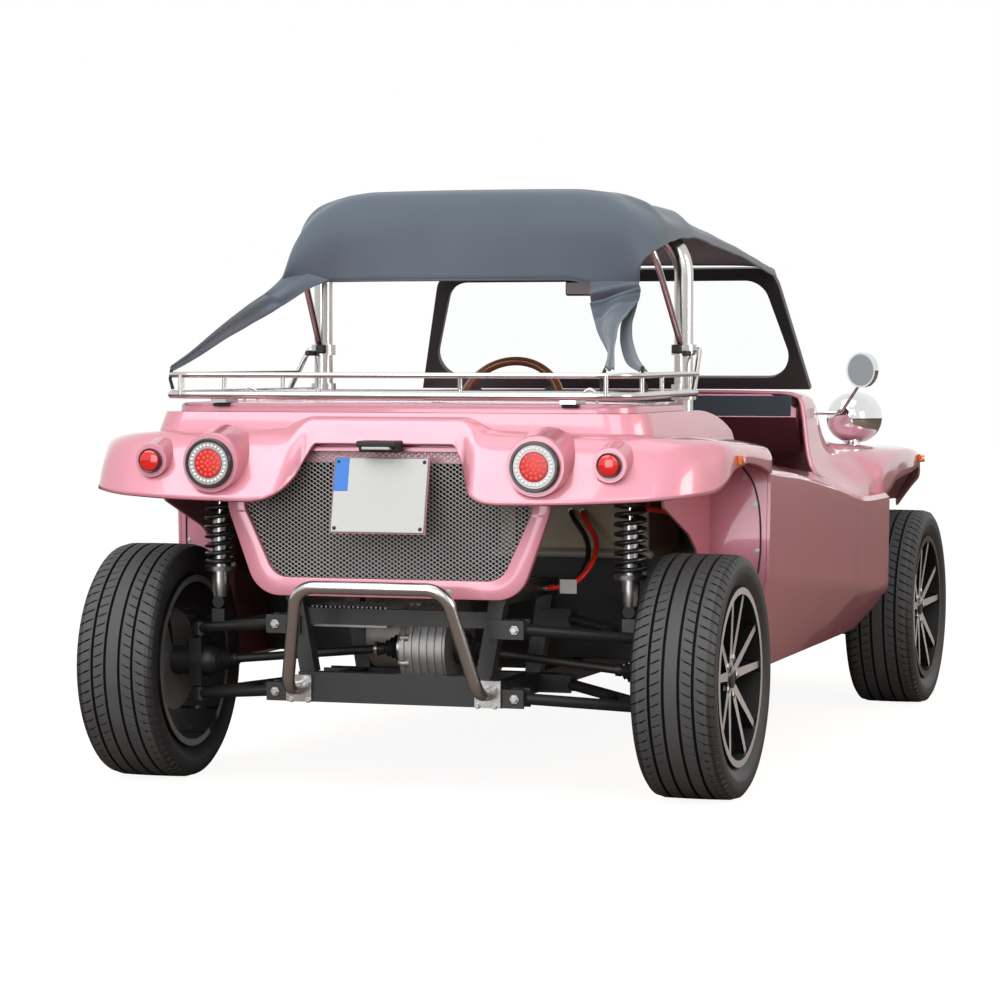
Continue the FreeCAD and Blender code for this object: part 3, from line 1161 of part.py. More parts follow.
def bow_shape():
    """Rear bow of the folding top, with a stay from each leg forward to the roll hoop."""
    x, y, top = size.bow_x.value, size.bow_y.value, size.bow_top_z.value - size.bow_tube.value * 2.2
    foot_z = size.rack_brace_z.value + size.rack_tube.value * 0.7 + size.bow_tube.value * 0.12 + GAP
    pivot_y = size.hoop_y.value + size.hoop_tube.value / 2 + size.bow_tube.value * 0.4
    leg = size.hoop_x.value
    return tube([(leg, pivot_y, foot_z), (x, y, top - size.hoop_bend.value), (x - size.hoop_bend.value * 0.5, y, top),
                 (size.hoop_bend.value * 0.5 - x, y, top), (-x, y, top - size.hoop_bend.value), (-leg, pivot_y, foot_z)],
                size.bow_tube.value, size.hoop_bend.value)


keep(feature("canopy_bow_shape", checked(bow_shape(), "canopy_bow")), "canopy_bow")

# Cloth top: (place along the car, then (half width share of the hoop's, height share of the bow's top)
# points from the middle to the lower edge)
canopy_shares = (
    (0.0, ((0.0, 0.8954), (0.60, 0.8949), (0.80, 0.8944), (0.94, 0.8904), (1.005, 0.8834), (1.022, 0.8714))),
    (0.17, ((0.0, 0.913), (0.60, 0.9125), (0.80, 0.912), (0.94, 0.908), (1.008, 0.899), (1.024, 0.887))),
    (0.34, ((0.0, 0.930), (0.60, 0.929), (0.80, 0.928), (0.94, 0.924), (1.010, 0.914), (1.026, 0.902))),
    (0.55, ((0.0, 0.951), (0.60, 0.950), (0.79, 0.948), (0.935, 0.942), (1.012, 0.928), (1.028, 0.914))),
    (0.76, ((0.0, 0.972), (0.58, 0.970), (0.78, 0.968), (0.93, 0.960), (1.015, 0.940), (1.030, 0.925))),
    (0.82, ((0.0, 0.978), (0.58, 0.9775), (0.78, 0.976), (0.93, 0.965), (1.015, 0.943), (1.031, 0.925))),
    (0.91, ((0.0, 0.994), (0.55, 0.993), (0.74, 0.990), (0.90, 0.974), (1.004, 0.936), (1.024, 0.894))),
    (0.96, ((0.0, 1.003), (0.54, 1.002), (0.72, 0.999), (0.88, 0.982), (0.990, 0.936), (1.020, 0.872))),
    (0.985, ((0.0, 1.006), (0.53, 1.005), (0.71, 1.002), (0.865, 0.984), (0.982, 0.934), (1.020, 0.864))),
    (1.01, ((0.0, 1.000), (0.53, 0.999), (0.70, 0.996), (0.86, 0.978), (0.980, 0.925), (1.022, 0.859))),
)
hem_shares = (
    (1.03, ((0.0, 0.972), (0.52, 0.971), (0.69, 0.968), (0.855, 0.952), (0.975, 0.905), (1.021, 0.856))),
    (1.045, ((0.0, 0.925), (0.52, 0.924), (0.68, 0.922), (0.850, 0.910), (0.970, 0.878), (1.018, 0.853))),
    (1.055, ((0.0, 0.850), (0.52, 0.850), (0.68, 0.850), (0.845, 0.850), (0.965, 0.850), (1.010, 0.850))),
)


def canopy_shape():
    start, end = size.screen_top_y.value, size.bow_y.value
    stations = []
    for along, points in canopy_shares + hem_shares:
        y = start + (end - start) * along
        stations.append([Vector(x * size.hoop_x.value, y, z * size.bow_top_z.value) for x, z in points])
    for step, point in enumerate(stations[-1]):
        point.y -= size.cloth.value * 3 * step
    full = [[Vector(-p.x, p.y, p.z) for p in station[:0:-1]] + station for station in stations]
    return loft(skin_grid(full, size.cloth.value, "yz"))


keep(feature("canopy_shape", checked(canopy_shape(), "canopy")), "canopy")

# Tails of the cloth: (length share, half width share, height share) of each of the two edges
left_tail_shares = (
    ((1.030, 1.0218, 0.875), (1.030, 1.0218, 0.818)),
    ((1.070, 1.045, 0.852), (1.070, 1.045, 0.802)),
    ((1.130, 1.066, 0.822), (1.130, 1.064, 0.780)),
    ((1.200, 1.086, 0.795), (1.200, 1.082, 0.764)),
    ((1.270, 1.106, 0.771), (1.270, 1.100, 0.749)),
    ((1.340, 1.130, 0.747), (1.340, 1.122, 0.730)),
    ((1.400, 1.150, 0.724), (1.400, 1.142, 0.711)),
    ((1.500, 1.180, 0.704), (1.500, 1.172, 0.696)),
)
right_tail_shares = (
    ((1.042, -0.571, 0.8498), (1.021, -0.895, 0.8498)),
    ((1.095, -0.705, 0.822), (1.090, -0.928, 0.818)),
    ((1.160, -0.790, 0.795), (1.160, -0.945, 0.790)),
    ((1.260, -0.846, 0.765), (1.260, -0.961, 0.762)),
    ((1.380, -0.955, 0.732), (1.380, -1.004, 0.732)),
    ((1.515, -1.043, 0.699), (1.515, -1.073, 0.699)),
)
strap_shares = (
    ((1.020, -0.905, 0.8498), (1.012, -0.975, 0.8498)),
    ((1.085, -0.925, 0.803), (1.080, -0.982, 0.803)),
    ((1.180, -0.962, 0.768), (1.180, -1.018, 0.768)),
    ((1.270, -1.030, 0.736), (1.270, -1.085, 0.736)),
    ((1.360, -1.110, 0.704), (1.360, -1.165, 0.704)),
)


def tail_shape(shares):
    """Tapering end of the cloth that is strapped to the luggage rack."""
    start, end = size.screen_top_y.value, size.bow_y.value
    wide, top, thick = size.hoop_x.value, size.bow_top_z.value, size.cloth.value
    sections = []
    for edges in shares:
        a, b = (Vector(x * wide, start + (end - start) * along, z * top) for along, x, z in edges)
        off = (b - a).cross(Vector(0, 1, 0)).normalize() * thick
        sections.append(corners_of([a, b, b + off, a + off]))
    return loft(sections)


tails = Part.makeCompound([tail_shape(shares) for shares in (left_tail_shares, right_tail_shares, strap_shares)])
keep(feature("canopy_tails_shape", checked(tails, "canopy_tails")), "canopy_tails")


# Luggage rack: where its posts and cross bars stand
rack_post_shares = (0.3, 0.9)
rack_side_shares = (0.12, 0.55, 0.84)
rack_bar_shares = (0.25, 0.5, 0.75)


def rack_shape():
    low, high = RACK_Z.value, RACK_RAIL_Z.value
    front_x, rear_x = size.rack_front_half_width.value, size.rack_half_width.value
    front_y, rear_y = size.rack_front_y.value, size.rack_rear_y.value
    thick, rail = size.rack_tube.value, size.rack_rail.value
    hoop_r = size.hoop_tube.value / 2 + GAP
    beside = size.hoop_x.value + hoop_r + WALL * 0.4
    corners = [(beside, size.hoop_y.value, low), (front_x, front_y + thick, low), (rear_x, rear_y, low)]
    mirror = [(-x, y, z) for x, y, z in corners[::-1]]
    made = [tube(corners + mirror, thick, size.rack_bend.value),
            tube([(front_x, front_y, high), (rear_x, rear_y, high), (-rear_x, rear_y, high), (-front_x, front_y, high)],
                 rail, size.rack_bend.value)]
    slope = (rear_x - front_x) / (rear_y - front_y - thick)
    for turn in SIDES:
        for share in rack_post_shares:
            x = turn * rear_x * share
            made.append(solid_cylinder(Vector(x, rear_y, low), Vector(x, rear_y, high), rail * 0.4))
        for share in rack_side_shares:
            y = front_y + (rear_y - front_y) * share
            x = turn * (front_x + (y - front_y - thick) * slope)
            made.append(solid_cylinder(Vector(x, y, low), Vector(x, y, high), rail * 0.4))
        leg = Vector(turn * size.hoop_x.value, size.hoop_y.value, low - thick)
        collar = Part.makeCylinder(hoop_r + WALL, thick * 2, leg)
        made.append(collar)
        clamp = Vector(leg.x, leg.y, size.rack_brace_z.value)
        made.append(Part.makeCylinder(hoop_r + WALL, thick * 1.4, clamp - Vector(0, 0, thick * 0.7)))
        across = Vector(turn * (hoop_r + WALL), 0, 0)
        made.append(tube([tuple(clamp + across * 0.95), tuple(clamp + across * 1.3),
                          (turn * (front_x + (thick + size.deck_nose_length.value * 0.15) * slope), front_y + thick * 2.6, low)],
                         rail, rail * 1.2))
        foot_x = turn * rear_x * 0.74 - thick
        lid_top = DECK + GAP * 2 + size.lid_thickness.value
        made.append(Part.makeBox(thick * 2, thick * 4, size.ear_thickness.value,
                                 Vector(foot_x, rear_y - thick * 4.4, lid_top)))
        made.append(Part.makeBox(thick * 2, size.ear_thickness.value, low - lid_top,
                                 Vector(foot_x, rear_y - thick * 0.8, lid_top)))
    for share in rack_bar_shares:
        y = front_y + (rear_y - front_y) * share
        x = front_x + (y - front_y - thick) * slope
        made.append(solid_cylinder(Vector(-x, y, low), Vector(x, y, low), rail * 0.5))
    whole = made[0].fuse(made[1:])
    for turn in SIDES:
        leg = Vector(turn * size.hoop_x.value, size.hoop_y.value, low - thick * 2)
        whole = whole.cut(Part.makeCylinder(hoop_r, size.rack_brace_z.value - low + thick * 4, leg))
    return whole


keep(feature("luggage_rack_shape", checked(rack_shape(), "luggage_rack")), "luggage_rack")


# Bumpers
def rear_bumper_shape():
    beam_face = BEAM_FACE
    z = size.rail_z.value + size.beam_height.value * 0.45
    foot_x, top_x, top_z = size.bumper_foot_x.value, size.bumper_top_x.value, size.bumper_top_z.value
    plate = size.ear_thickness.value
    reach = size.bumper_reach.value
    hoop = tube([(foot_x, beam_face + plate * 0.5, z), (foot_x, beam_face + reach * 0.5, z + plate),
                 (top_x, beam_face + reach, top_z), (-top_x, beam_face + reach, top_z),
                 (-foot_x, beam_face + reach * 0.5, z + plate), (-foot_x, beam_face + plate * 0.5, z)],
                size.bumper_tube.value, size.bumper_tube.value * 1.8)
    span = size.beam_height.value * 0.9
    plates = [Part.makeBox(span, plate, span, Vector(turn * foot_x - span / 2, beam_face + GAP, z - span / 2))
              for turn in SIDES]
    return hoop.fuse(plates)


def front_bumper_shape():
    tube_d = size.bumper_tube.value
    y0 = NOSE - size.front_pivot_spread.value - size.rail_width.value
    reach = size.front_overhang.value * 0.92
    z = RAIL_TOP - tube_d
    wide = size.rail_x.value
    lower = tube([(wide, y0 - GAP, z), (wide, y0 - tube_d, z), (wide, NOSE - reach, z + tube_d),
                  (-wide, NOSE - reach, z + tube_d), (-wide, y0 - tube_d, z), (-wide, y0 - GAP, z)],
                 tube_d, tube_d * 2.5)
    upper = tube([(wide * 0.8, NOSE - reach * 0.985, z + tube_d), (wide * 0.8, NOSE - reach * 1.0, z + tube_d * 5),
                  (-wide * 0.8, NOSE - reach * 1.0, z + tube_d * 5), (-wide * 0.8, NOSE - reach * 0.985, z + tube_d)],
                 tube_d * 0.8, tube_d * 1.5)
    return lower.fuse(upper)


keep(feature("rear_bumper_shape", checked(rear_bumper_shape(), "rear_bumper")), "rear_bumper")
keep(feature("front_bumper_shape", checked(front_bumper_shape(), "front_bumper")), "front_bumper")

# Lamps
for node, x, z, face, diameter in (
    ("tail_lamps", size.lamp_x, size.lamp_z, size.lamp_face_y, size.lamp_lens_diameter),
    ("reflectors", size.reflector_x, size.reflector_z, size.reflector_face_y, size.reflector_diameter),
):
    pair = [cylinder(f"{node}_{turn}", (x * turn, face - size.lens_thickness + size.joint_gap, z), diameter / 2,
                     size.lens_thickness - size.joint_gap, ALONG_Y) for turn in SIDES]
    keep(fuse(f"{node}_pair", pair), node)


# Grille
def grille_outline(inset, y):
    top_half, foot_half = size.grille_top_half.value - inset, size.grille_bottom_half.value - inset
    low, high = size.grille_bottom_z.value + inset, size.grille_top_z.value - inset * 0.25
    shoulder = DECK * 0.75
    corner = size.grille_border.value
    return [(-top_half, y, high), (-top_half, y, shoulder), (-foot_half - corner * 0.3, y, low + corner),
            (-foot_half + corner * 0.7, y, low), (foot_half - corner * 0.7, y, low), (foot_half + corner * 0.3, y, low + corner),
            (top_half, y, shoulder), (top_half, y, high)]


grille_y = size.grille_y.value
border = size.grille_border.value
frame_ring = prism(grille_outline(0, grille_y), Vector(0, size.grille_depth.value, 0))
frame_ring = frame_ring.cut(prism(grille_outline(border, grille_y - 1), Vector(0, size.grille_depth.value * 3, 0)))
keep(feature("grille_frame_shape", checked(frame_ring, "grille_frame")), "grille_frame")
mesh_plate = prism(grille_outline(border * 0.75, grille_y - size.mesh_thickness.value - GAP),
                   Vector(0, size.mesh_thickness.value, 0))
keep(feature("grille_mesh_shape", checked(mesh_plate, "grille_mesh")), "grille_mesh")

# Number plate on its holder, with two lugs that reach the mesh
plate_board = Part.makeBox(size.plate_width.value, size.plate_thickness.value, size.plate_height.value,
                           vec(-size.plate_width / 2, 0, -size.plate_height / 2))
plate_board.rotate(Vector(), Vector(1, 0, 0), size.plate_tilt.value)
plate_board.translate(vec(0, size.plate_y, size.plate_z))
lugs = []
lug = size.frame_tube.value
mesh_face = size.grille_y.value - GAP
for turn in SIDES:
    for rise in (0.36, -0.30):
        z = size.plate_z.value + size.plate_height.value * rise
        y = size.plate_y.value - math.tan(math.radians(size.plate_tilt.value)) * size.plate_height.value * rise
        lugs.append(Part.makeBox(lug, y + size.plate_thickness.value * 0.5 - mesh_face - GAP, lug * 0.5,
                                 Vector(turn * size.plate_width.value * 0.3 - lug / 2, mesh_face + GAP, z - lug * 0.25)))
keep(feature("number_plate_shape", checked(plate_board.fuse(lugs), "number_plate")), "number_plate")

# Height of the front wings' crown under the headlamps, as a share of the deck's height
wing_crown_share = 0.853
# Headlamps: distance share from the rear of the shell, radius share
shell_shares = ((0.0, 0.28), (0.03, 0.46), (0.10, 0.68), (0.22, 0.84), (0.40, 0.94), (0.62, 0.985), (0.86, 1.0), (1.0, 1.0))


def headlamp_shapes():
    """Bullet shell on a round foot that follows the wing, and its lens in a seat at the front, left side."""
    radius, length = size.headlamp_diameter.value / 2, size.headlamp_length.value
    rear = Vector(HEADLAMP_X.value, size.headlamp_y.value, HEADLAMP_Z.value)
    ahead = Vector(0, -1, 0)
    rings = [ring_at(rear + ahead * (length * along), ahead, radius * wide) for along, wide in shell_shares]
    seat_r, seat_depth = radius * 0.9, size.lens_thickness.value / 2
    front = rear + ahead * length
    seat = solid_cylinder(front - ahead * seat_depth, front + ahead * seat_depth, seat_r)
    foot = solid_cylinder(Vector(rear.x, rear.y - length * 0.5, DECK * wing_crown_share), rear + ahead * (length * 0.5), radius * 0.25)
    on_wing = front_body.copy()
    on_wing.translate(Vector(0, 0, GAP))
    lens = solid_cylinder(front - ahead * (seat_depth - GAP), front - ahead * GAP, seat_r - GAP)
    return Part.makeLoft(rings, True, True).fuse(foot).cut([seat, on_wing]), lens


headlamp, lens = headlamp_shapes()
keep(feature("headlamps_shape", both_sides(checked(headlamp, "headlamps"))), "headlamps")
keep(feature("headlamp_lenses_shape", both_sides(lens)), "headlamp_lenses")


# Side marker lamps, on the rear wings and on the front wings' lips: overhang share, deck height share, and
# the front lip's half width share there
rear_marker_shares = (0.04, 0.879)
front_marker_shares = (0.347, 0.797, 0.917)


def marker_shape(inner_x, y, z, seat):
    long, deep, high = size.marker_length.value, size.marker_depth.value, size.marker_height.value
    block = Part.makeBox(deep, long, high, Vector(inner_x, y - long / 2, z - high / 2))
    return block.cut(seat) if seat else block


outward_lip = front_body.copy()
outward_lip.translate(Vector(GAP, 0, 0))
along, high = rear_marker_shares
rear_marker = marker_shape(HALF + GAP, REAR + size.rear_overhang.value * along, DECK * high, None)
along, high, out = front_marker_shares
front_marker = marker_shape(HALF * out, NOSE - size.front_overhang.value * along, DECK * high, outward_lip)
keep(feature("side_markers_shape", Part.makeCompound([rear_marker, mirrored(rear_marker), front_marker,
                                                      mirrored(front_marker)])), "side_markers")

# Number plate lamp, on the lower edge of the body's middle band
band_edge = wing_stations()[-1][3]
plate_lamp_y = band_edge.y + GAP * 3
keep(put(box("plate_lamp_block", (0, 0, 0), (size.plate_lamp_width, size.plate_lamp_reach, size.plate_lamp_height)),
         size.plate_lamp_width * -0.5, plate_lamp_y, band_edge.z - size.panel_wall * 2.2), "plate_lamp")

# Door mirror, on a bent stalk from a small base on the scuttle's side, half width share and deck height share
mirror_base_shares = (0.756, 0.968)
base_x, base_z = mirror_base_shares[0] * HALF, mirror_base_shares[1] * DECK
base_y = size.screen_base_y.value + size.screen_depth.value * 3.2
thick = size.rack_rail.value
outward_cowl = front_body.copy()
outward_cowl.translate(Vector(GAP, 0, 0))
mirror_base = Part.makeBox(thick * 1.6, size.screen_depth.value, thick * 2,
                           Vector(base_x, base_y - size.screen_depth.value / 2, base_z - thick)).cut(outward_cowl)
mirror_turn = math.radians(size.mirror_turn.value)
mirror_axis = Vector(-math.sin(mirror_turn), math.cos(mirror_turn), 0) * (size.mirror_depth.value / 2)
mirror_centre = vec(size.mirror_x, size.mirror_y, size.mirror_z)
mirror_r = size.mirror_diameter.value / 2
mirror_head = solid_cylinder(mirror_centre - mirror_axis, mirror_centre + mirror_axis, mirror_r)
stalk = tube([(base_x + thick, base_y, base_z), (base_x + thick * 7, base_y, base_z),
              tuple(mirror_centre - Vector(thick * 0.6, 0, mirror_r * 0.8))], thick * 0.7, thick * 2)
keep(feature("door_mirror_shape", mirrored(checked(mirror_base.fuse([mirror_head, stalk]), "door_mirror"))), "door_mirror")


# Steering
def steering_wheel_shape():
    ring = Part.makeTorus((size.wheel_ring_diameter.value - size.wheel_ring_tube.value) / 2,
                          size.wheel_ring_tube.value / 2, wheel_centre, column_axis)
    dish = size.wheel_ring_tube.value * 1.5
    centre = wheel_centre - column_axis * dish
    boss = Part.makeCylinder(size.wheel_ring_tube.value * 1.2, dish, centre, column_axis)
    shaft = Part.makeCylinder(size.column_shaft.value / 2, dish * 2, centre - column_axis * dish * 2, column_axis)
    parts = [boss, shaft]
    reach = (size.wheel_ring_diameter.value - size.wheel_ring_tube.value) / 2
    up = Vector(1, 0, 0).cross(column_axis)
    for angle in (90, 210, 330):
        turn = math.radians(angle)
        outward = Vector(1, 0, 0) * math.cos(turn) - up * math.sin(turn)
        parts.append(bar(centre + column_axis * dish * 0.3, wheel_centre + outward * reach,
                         size.wheel_ring_tube.value, size.ear_thickness.value * 0.6, column_axis))
    return ring.fuse(parts)


keep(feature("steering_wheel_shape", checked(steering_wheel_shape(), "steering_wheel")), "steering_wheel")
jacket = solid_cylinder(jacket_end, jacket_top, size.column_tube.value / 2)
shaft_bore = solid_cylinder(jacket_top - column_axis * size.column_tube.value * 2, jacket_top + column_axis * size.column_tube.value,
                            size.column_shaft.value / 2 + GAP)
keep(feature("steering_column_shape", jacket.cut(shaft_bore)), "steering_column")


def rack_and_rods():
    """Steering rack housing's bar with a tie rod to each steering arm, which ends just under the arm's eye."""
    y = NOSE - size.steering_arm.value
    z = size.steering_rack_z.value
    x = KINGPIN_X.value
    rod = solid_cylinder(Vector(-x, y, z), Vector(x, y, z), size.shaft_diameter.value / 2)
    ends = [Part.makeCylinder(size.arm_tube.value * 0.55, size.ear_thickness.value * 1.5,
                              Vector(turn * x, y, z - size.ear_thickness.value * 0.75)) for turn in SIDES]
    return rod.fuse(ends)


keep(feature("steering_rack_shape", rack_and_rods()), "steering_rack")


def pedal_shape(middle_x):
    """Floor-hinged pedal: a foot block, an arm that leans back and a pad."""
    wide = size.column_tube.value
    foot_y, foot_z = size.footwell_front_y.value + wide, size.floor_z.value + size.floor_wall.value + GAP
    foot = Part.makeBox(wide * 0.7, wide, wide * 0.4, Vector(middle_x - wide * 0.35, foot_y - wide / 2, foot_z))
    hinge, head = Vector(middle_x, foot_y, foot_z + wide * 0.3), Vector(middle_x, foot_y + wide * 0.6, foot_z + wide * 3)
    arm = bar(hinge, head, wide * 0.3, size.ear_thickness.value, Vector(0, 1, 0))
    pad = bar(head - (head - hinge) * 0.25, head + (head - hinge) * 0.35, wide * 1.4, size.ear_thickness.value, Vector(0, 1, 0))
    return foot.fuse([arm, pad])


keep(feature("pedals_shape", Part.makeCompound([pedal_shape(size.steering_x.value + turn * size.column_tube.value * 1.3)
                                                for turn in SIDES])), "pedals")


# Seats
def seat_shape(middle_x):
    """Bucket seat with a cushion and a leaning back, as one closed form."""
    half = size.seat_width.value / 2
    y0, z0 = size.seat_front_y.value, size.seat_base_z.value
    depth, thick = size.seat_depth.value, size.cushion_thickness.value
    back = size.backrest_thickness.value
    top_z = size.backrest_top_z.value
    rear_y = size.hoop_y.value - size.hoop_tube.value / 2 - size.overrun.value * 0.5
    outline = [(y0, z0), (y0, z0 + thick * 0.95), (y0 + depth * 0.12, z0 + thick * 1.05), (y0 + depth * 0.82, z0 + thick * 0.8),
               (rear_y - back, top_z - thick * 0.15), (rear_y - back * 0.8, top_z), (rear_y - back * 0.1, top_z),
               (rear_y, top_z - thick * 0.15), (y0 + depth + back * 0.3, z0)]
    return prism([(middle_x - half, y, z) for y, z in outline], Vector(half * 2, 0, 0))


for side, turn in (("left", 1), ("right", -1)):
    keep(feature(f"seat_{side}_shape", checked(seat_shape(turn * size.seat_x.value), "seat")), f"seat_{side}")


# Drive
def drive_unit_shape():
    """Reduction gearbox with cast ribs round its case, and the motor ahead of it."""
    long, radius, z = size.gearbox_length.value, size.gearbox_diameter.value / 2, size.gearbox_z.value
    case = solid_cylinder(Vector(-long * 0.75, REAR, z), Vector(long * 0.25, REAR, z), radius)
    rib, ribs = size.ear_thickness.value, 6
    made = []
    for step in range(ribs):
        x = -long * 0.75 + rib * 0.8 + (long - rib * 2.6) * step / (ribs - 1)
        made.append(solid_cylinder(Vector(x, REAR, z), Vector(x + rib, REAR, z), radius + rib * 0.6))
    motor_y, motor_z = REAR - size.motor_diameter.value * 0.74, z + TUBE * 0.7
    made.append(solid_cylinder(Vector(-long * 0.5, motor_y, motor_z), Vector(size.motor_length.value * 0.75, motor_y, motor_z),
                               size.motor_diameter.value / 2))
    return case.fuse(made)


def controller_shape():
    """Motor controller: a low case with upright cooling fins along the vehicle."""
    long, wide, high = size.controller_length.value, size.controller_width.value, size.controller_height.value
    pitch, case_high = size.fin_pitch.value, high * 0.5
    low = Vector(TUBE, REAR + (size.arm_pivot_spread - size.rail_width / 2 - size.joint_gap).value - wide,
                 size.gearbox_z.value + high * 1.15)
    count = int(long // pitch)
    margin = (long - pitch * (count - 1) - pitch * 0.4) / 2
    fins = [Part.makeBox(pitch * 0.4, wide, high - case_high, low + Vector(margin + pitch * step, 0, case_high))
            for step in range(count)]
    return Part.makeBox(long, wide, case_high, low).fuse(fins)


keep(feature("drive_unit_shape", checked(drive_unit_shape(), "drive_unit")), "drive_unit")
keep(feature("motor_controller_shape", checked(controller_shape(), "motor_controller")), "motor_controller")


def half_shaft_shape(inner_x):
    """Drive shaft from the gearbox to the wheel hub with a pleated boot at each end; it runs to the side of inner_x."""
    turn = 1 if inner_x > 0 else -1
    inner = Vector(inner_x + turn * GAP, REAR, size.gearbox_z.value)
    outer = Vector(turn * (plate_inner_x - GAP), REAR, AXLE)
    along = (outer - inner).normalize()
    across = Vector(turn, 0, 0)
    boot, neck = size.boot_diameter.value / 2, size.shaft_diameter.value * 0.7
    parts = [solid_cylinder(inner + along * boot, outer - along * boot, size.shaft_diameter.value / 2)]
    for end, towards in ((inner, 1), (outer, -1)):
        rings = [ring_at(end, across, boot), ring_at(end + along * towards * boot * 0.5, across, boot)]
        for pleat in range(4):
            reach = boot * (0.9 + 0.32 * pleat)
            wide = boot + (neck - boot) * (pleat + 1) / 4
            rings.append(ring_at(end + along * towards * reach, along, wide * 0.84))
            rings.append(ring_at(end + along * towards * (reach + boot * 0.16), along, wide))
        rings.append(ring_at(end + along * towards * boot * 2.3, along, neck))
        parts.append(Part.makeLoft(rings, True, True))
    return parts[0].fuse(parts[1:])


left_shaft = half_shaft_shape(size.gearbox_length.value * 0.25)
right_shaft = half_shaft_shape(-size.gearbox_length.value * 0.75)
keep(feature("half_shafts_shape", Part.makeCompound([left_shaft, right_shaft])), "half_shafts")
battery_y = size.bulkhead_y + size.floor_wall + size.joint_gap
battery = box("battery_block", (-size.battery_end_x, battery_y, size.battery_z),
              (size.battery_length, size.battery_width, size.battery_height))
tray = box("battery_tray_plate", (-size.battery_end_x - size.panel_wall * 2, battery_y, size.battery_z - size.battery_tray),
           (size.battery_length + size.panel_wall * 4, size.battery_width + size.panel_wall * 2, size.battery_tray))
keep(fuse("battery_with_tray", [battery, tray]), "battery_box")

# Battery cables: from the battery's rear face to the sub-frame's side bar and to the right wheel arch
CABLE_Y = float(battery_y + size.battery_width) + GAP
CABLE_Z = float(size.battery_z) + size.battery_height.value * 0.58
BAR_X = -(size.arm_pivot_x.value - size.bush_diameter.value + size.rail_width.value / 2) - GAP


def cable_shape(start_x, drop_y, reach):
    """Cable that leaves the battery, hangs in a bow and ends against the sub-frame's upper side bar."""
    thick = size.cable_diameter.value
    bar_z = size.frame_rise_z.value
    points = [(start_x, CABLE_Y, CABLE_Z), (start_x, CABLE_Y + thick * 2.4, CABLE_Z),
              (BAR_X - reach, CABLE_Y + thick * 5, CABLE_Z - thick * 6), (BAR_X - reach * 0.8, drop_y, bar_z + thick),
              (BAR_X - thick * 2, drop_y, bar_z), (BAR_X, drop_y, bar_z)]
    return tube(points, thick, thick * 4)


side_end = -0.803 * HALF + GAP
red_side = tube([(side_end * 0.72, CABLE_Y, CABLE_Z + TUBE * 0.5), (side_end * 0.72, CABLE_Y + TUBE, CABLE_Z + TUBE * 0.5),
                 (side_end * 0.86, CABLE_Y + TUBE * 2, CABLE_Z + TUBE * 0.2), (side_end * 0.95, CABLE_Y + TUBE * 2, CABLE_Z),
                 (side_end, CABLE_Y + TUBE * 2, CABLE_Z)], size.cable_diameter.value, TUBE)
red_bow = cable_shape(-size.battery_end_x.value * 0.66, CABLE_Y + size.gearbox_diameter.value * 0.9, size.gearbox_length.value)
keep(feature("cable_red_shape", checked(Part.makeCompound([red_bow, red_side]), "cable_red")), "cable_red")
keep(feature("cable_black_shape", checked(cable_shape(-size.battery_end_x.value * 0.60,
                                                      CABLE_Y + size.gearbox_diameter.value * 0.62,
                                                      size.gearbox_length.value * 0.8), "cable_black")), "cable_black")

doc.recompute()
for thing in doc.Objects:
    if "Invalid" in thing.State or "Error" in thing.State:
        raise ValueError(f"{thing.Label} failed: {thing.State}")
os.makedirs("parts", exist_ok=True)
for thing in nodes:
    checked(thing.Shape, thing.Label)
    thing.Shape.exportStep(os.path.join("parts", f"{thing.Label}.step"))
print(len(nodes), "nodes written")
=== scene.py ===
import math

import bmesh
import bpy
import numpy as np
from bpy.props import FloatProperty, FloatVectorProperty, IntProperty, PointerProperty
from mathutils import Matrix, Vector


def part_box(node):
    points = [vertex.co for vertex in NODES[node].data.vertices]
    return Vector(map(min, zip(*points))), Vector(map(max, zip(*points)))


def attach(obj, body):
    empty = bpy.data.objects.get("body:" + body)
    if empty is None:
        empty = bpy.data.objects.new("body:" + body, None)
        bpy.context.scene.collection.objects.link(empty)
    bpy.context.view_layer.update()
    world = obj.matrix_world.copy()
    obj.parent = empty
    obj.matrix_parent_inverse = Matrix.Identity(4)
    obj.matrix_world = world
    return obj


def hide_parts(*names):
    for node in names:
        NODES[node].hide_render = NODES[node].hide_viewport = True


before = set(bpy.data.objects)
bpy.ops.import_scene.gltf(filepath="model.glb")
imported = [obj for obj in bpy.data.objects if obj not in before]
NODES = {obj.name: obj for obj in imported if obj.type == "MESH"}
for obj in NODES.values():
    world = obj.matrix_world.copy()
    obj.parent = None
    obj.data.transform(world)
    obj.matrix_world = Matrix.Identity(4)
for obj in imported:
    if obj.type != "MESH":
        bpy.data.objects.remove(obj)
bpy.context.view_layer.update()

bl_info = {
    "name": "Beach buggy dresser",
    "version": (1, 0, 0),
    "blender": (4, 5, 0),
    "location": "3D View > Sidebar > Buggy",
    "description": "Dresses the packed buggy with its panels, cloth, tyres, lamps and fittings",
    "category": "Object",
}

MM = 0.001
SIDES = (1, -1)
ACROSS, REARWARD, UPWARD = (1, 0, 0), (0, 1, 0), (0, 0, 1)


def round_pair(node):
    """Radius, place across, height, back and face of a node's two round lamps."""
    low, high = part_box(node)
    radius = (high.z - low.z) / 2
    return radius, high.x - radius, (high.z + low.z) / 2, low.y, high.y


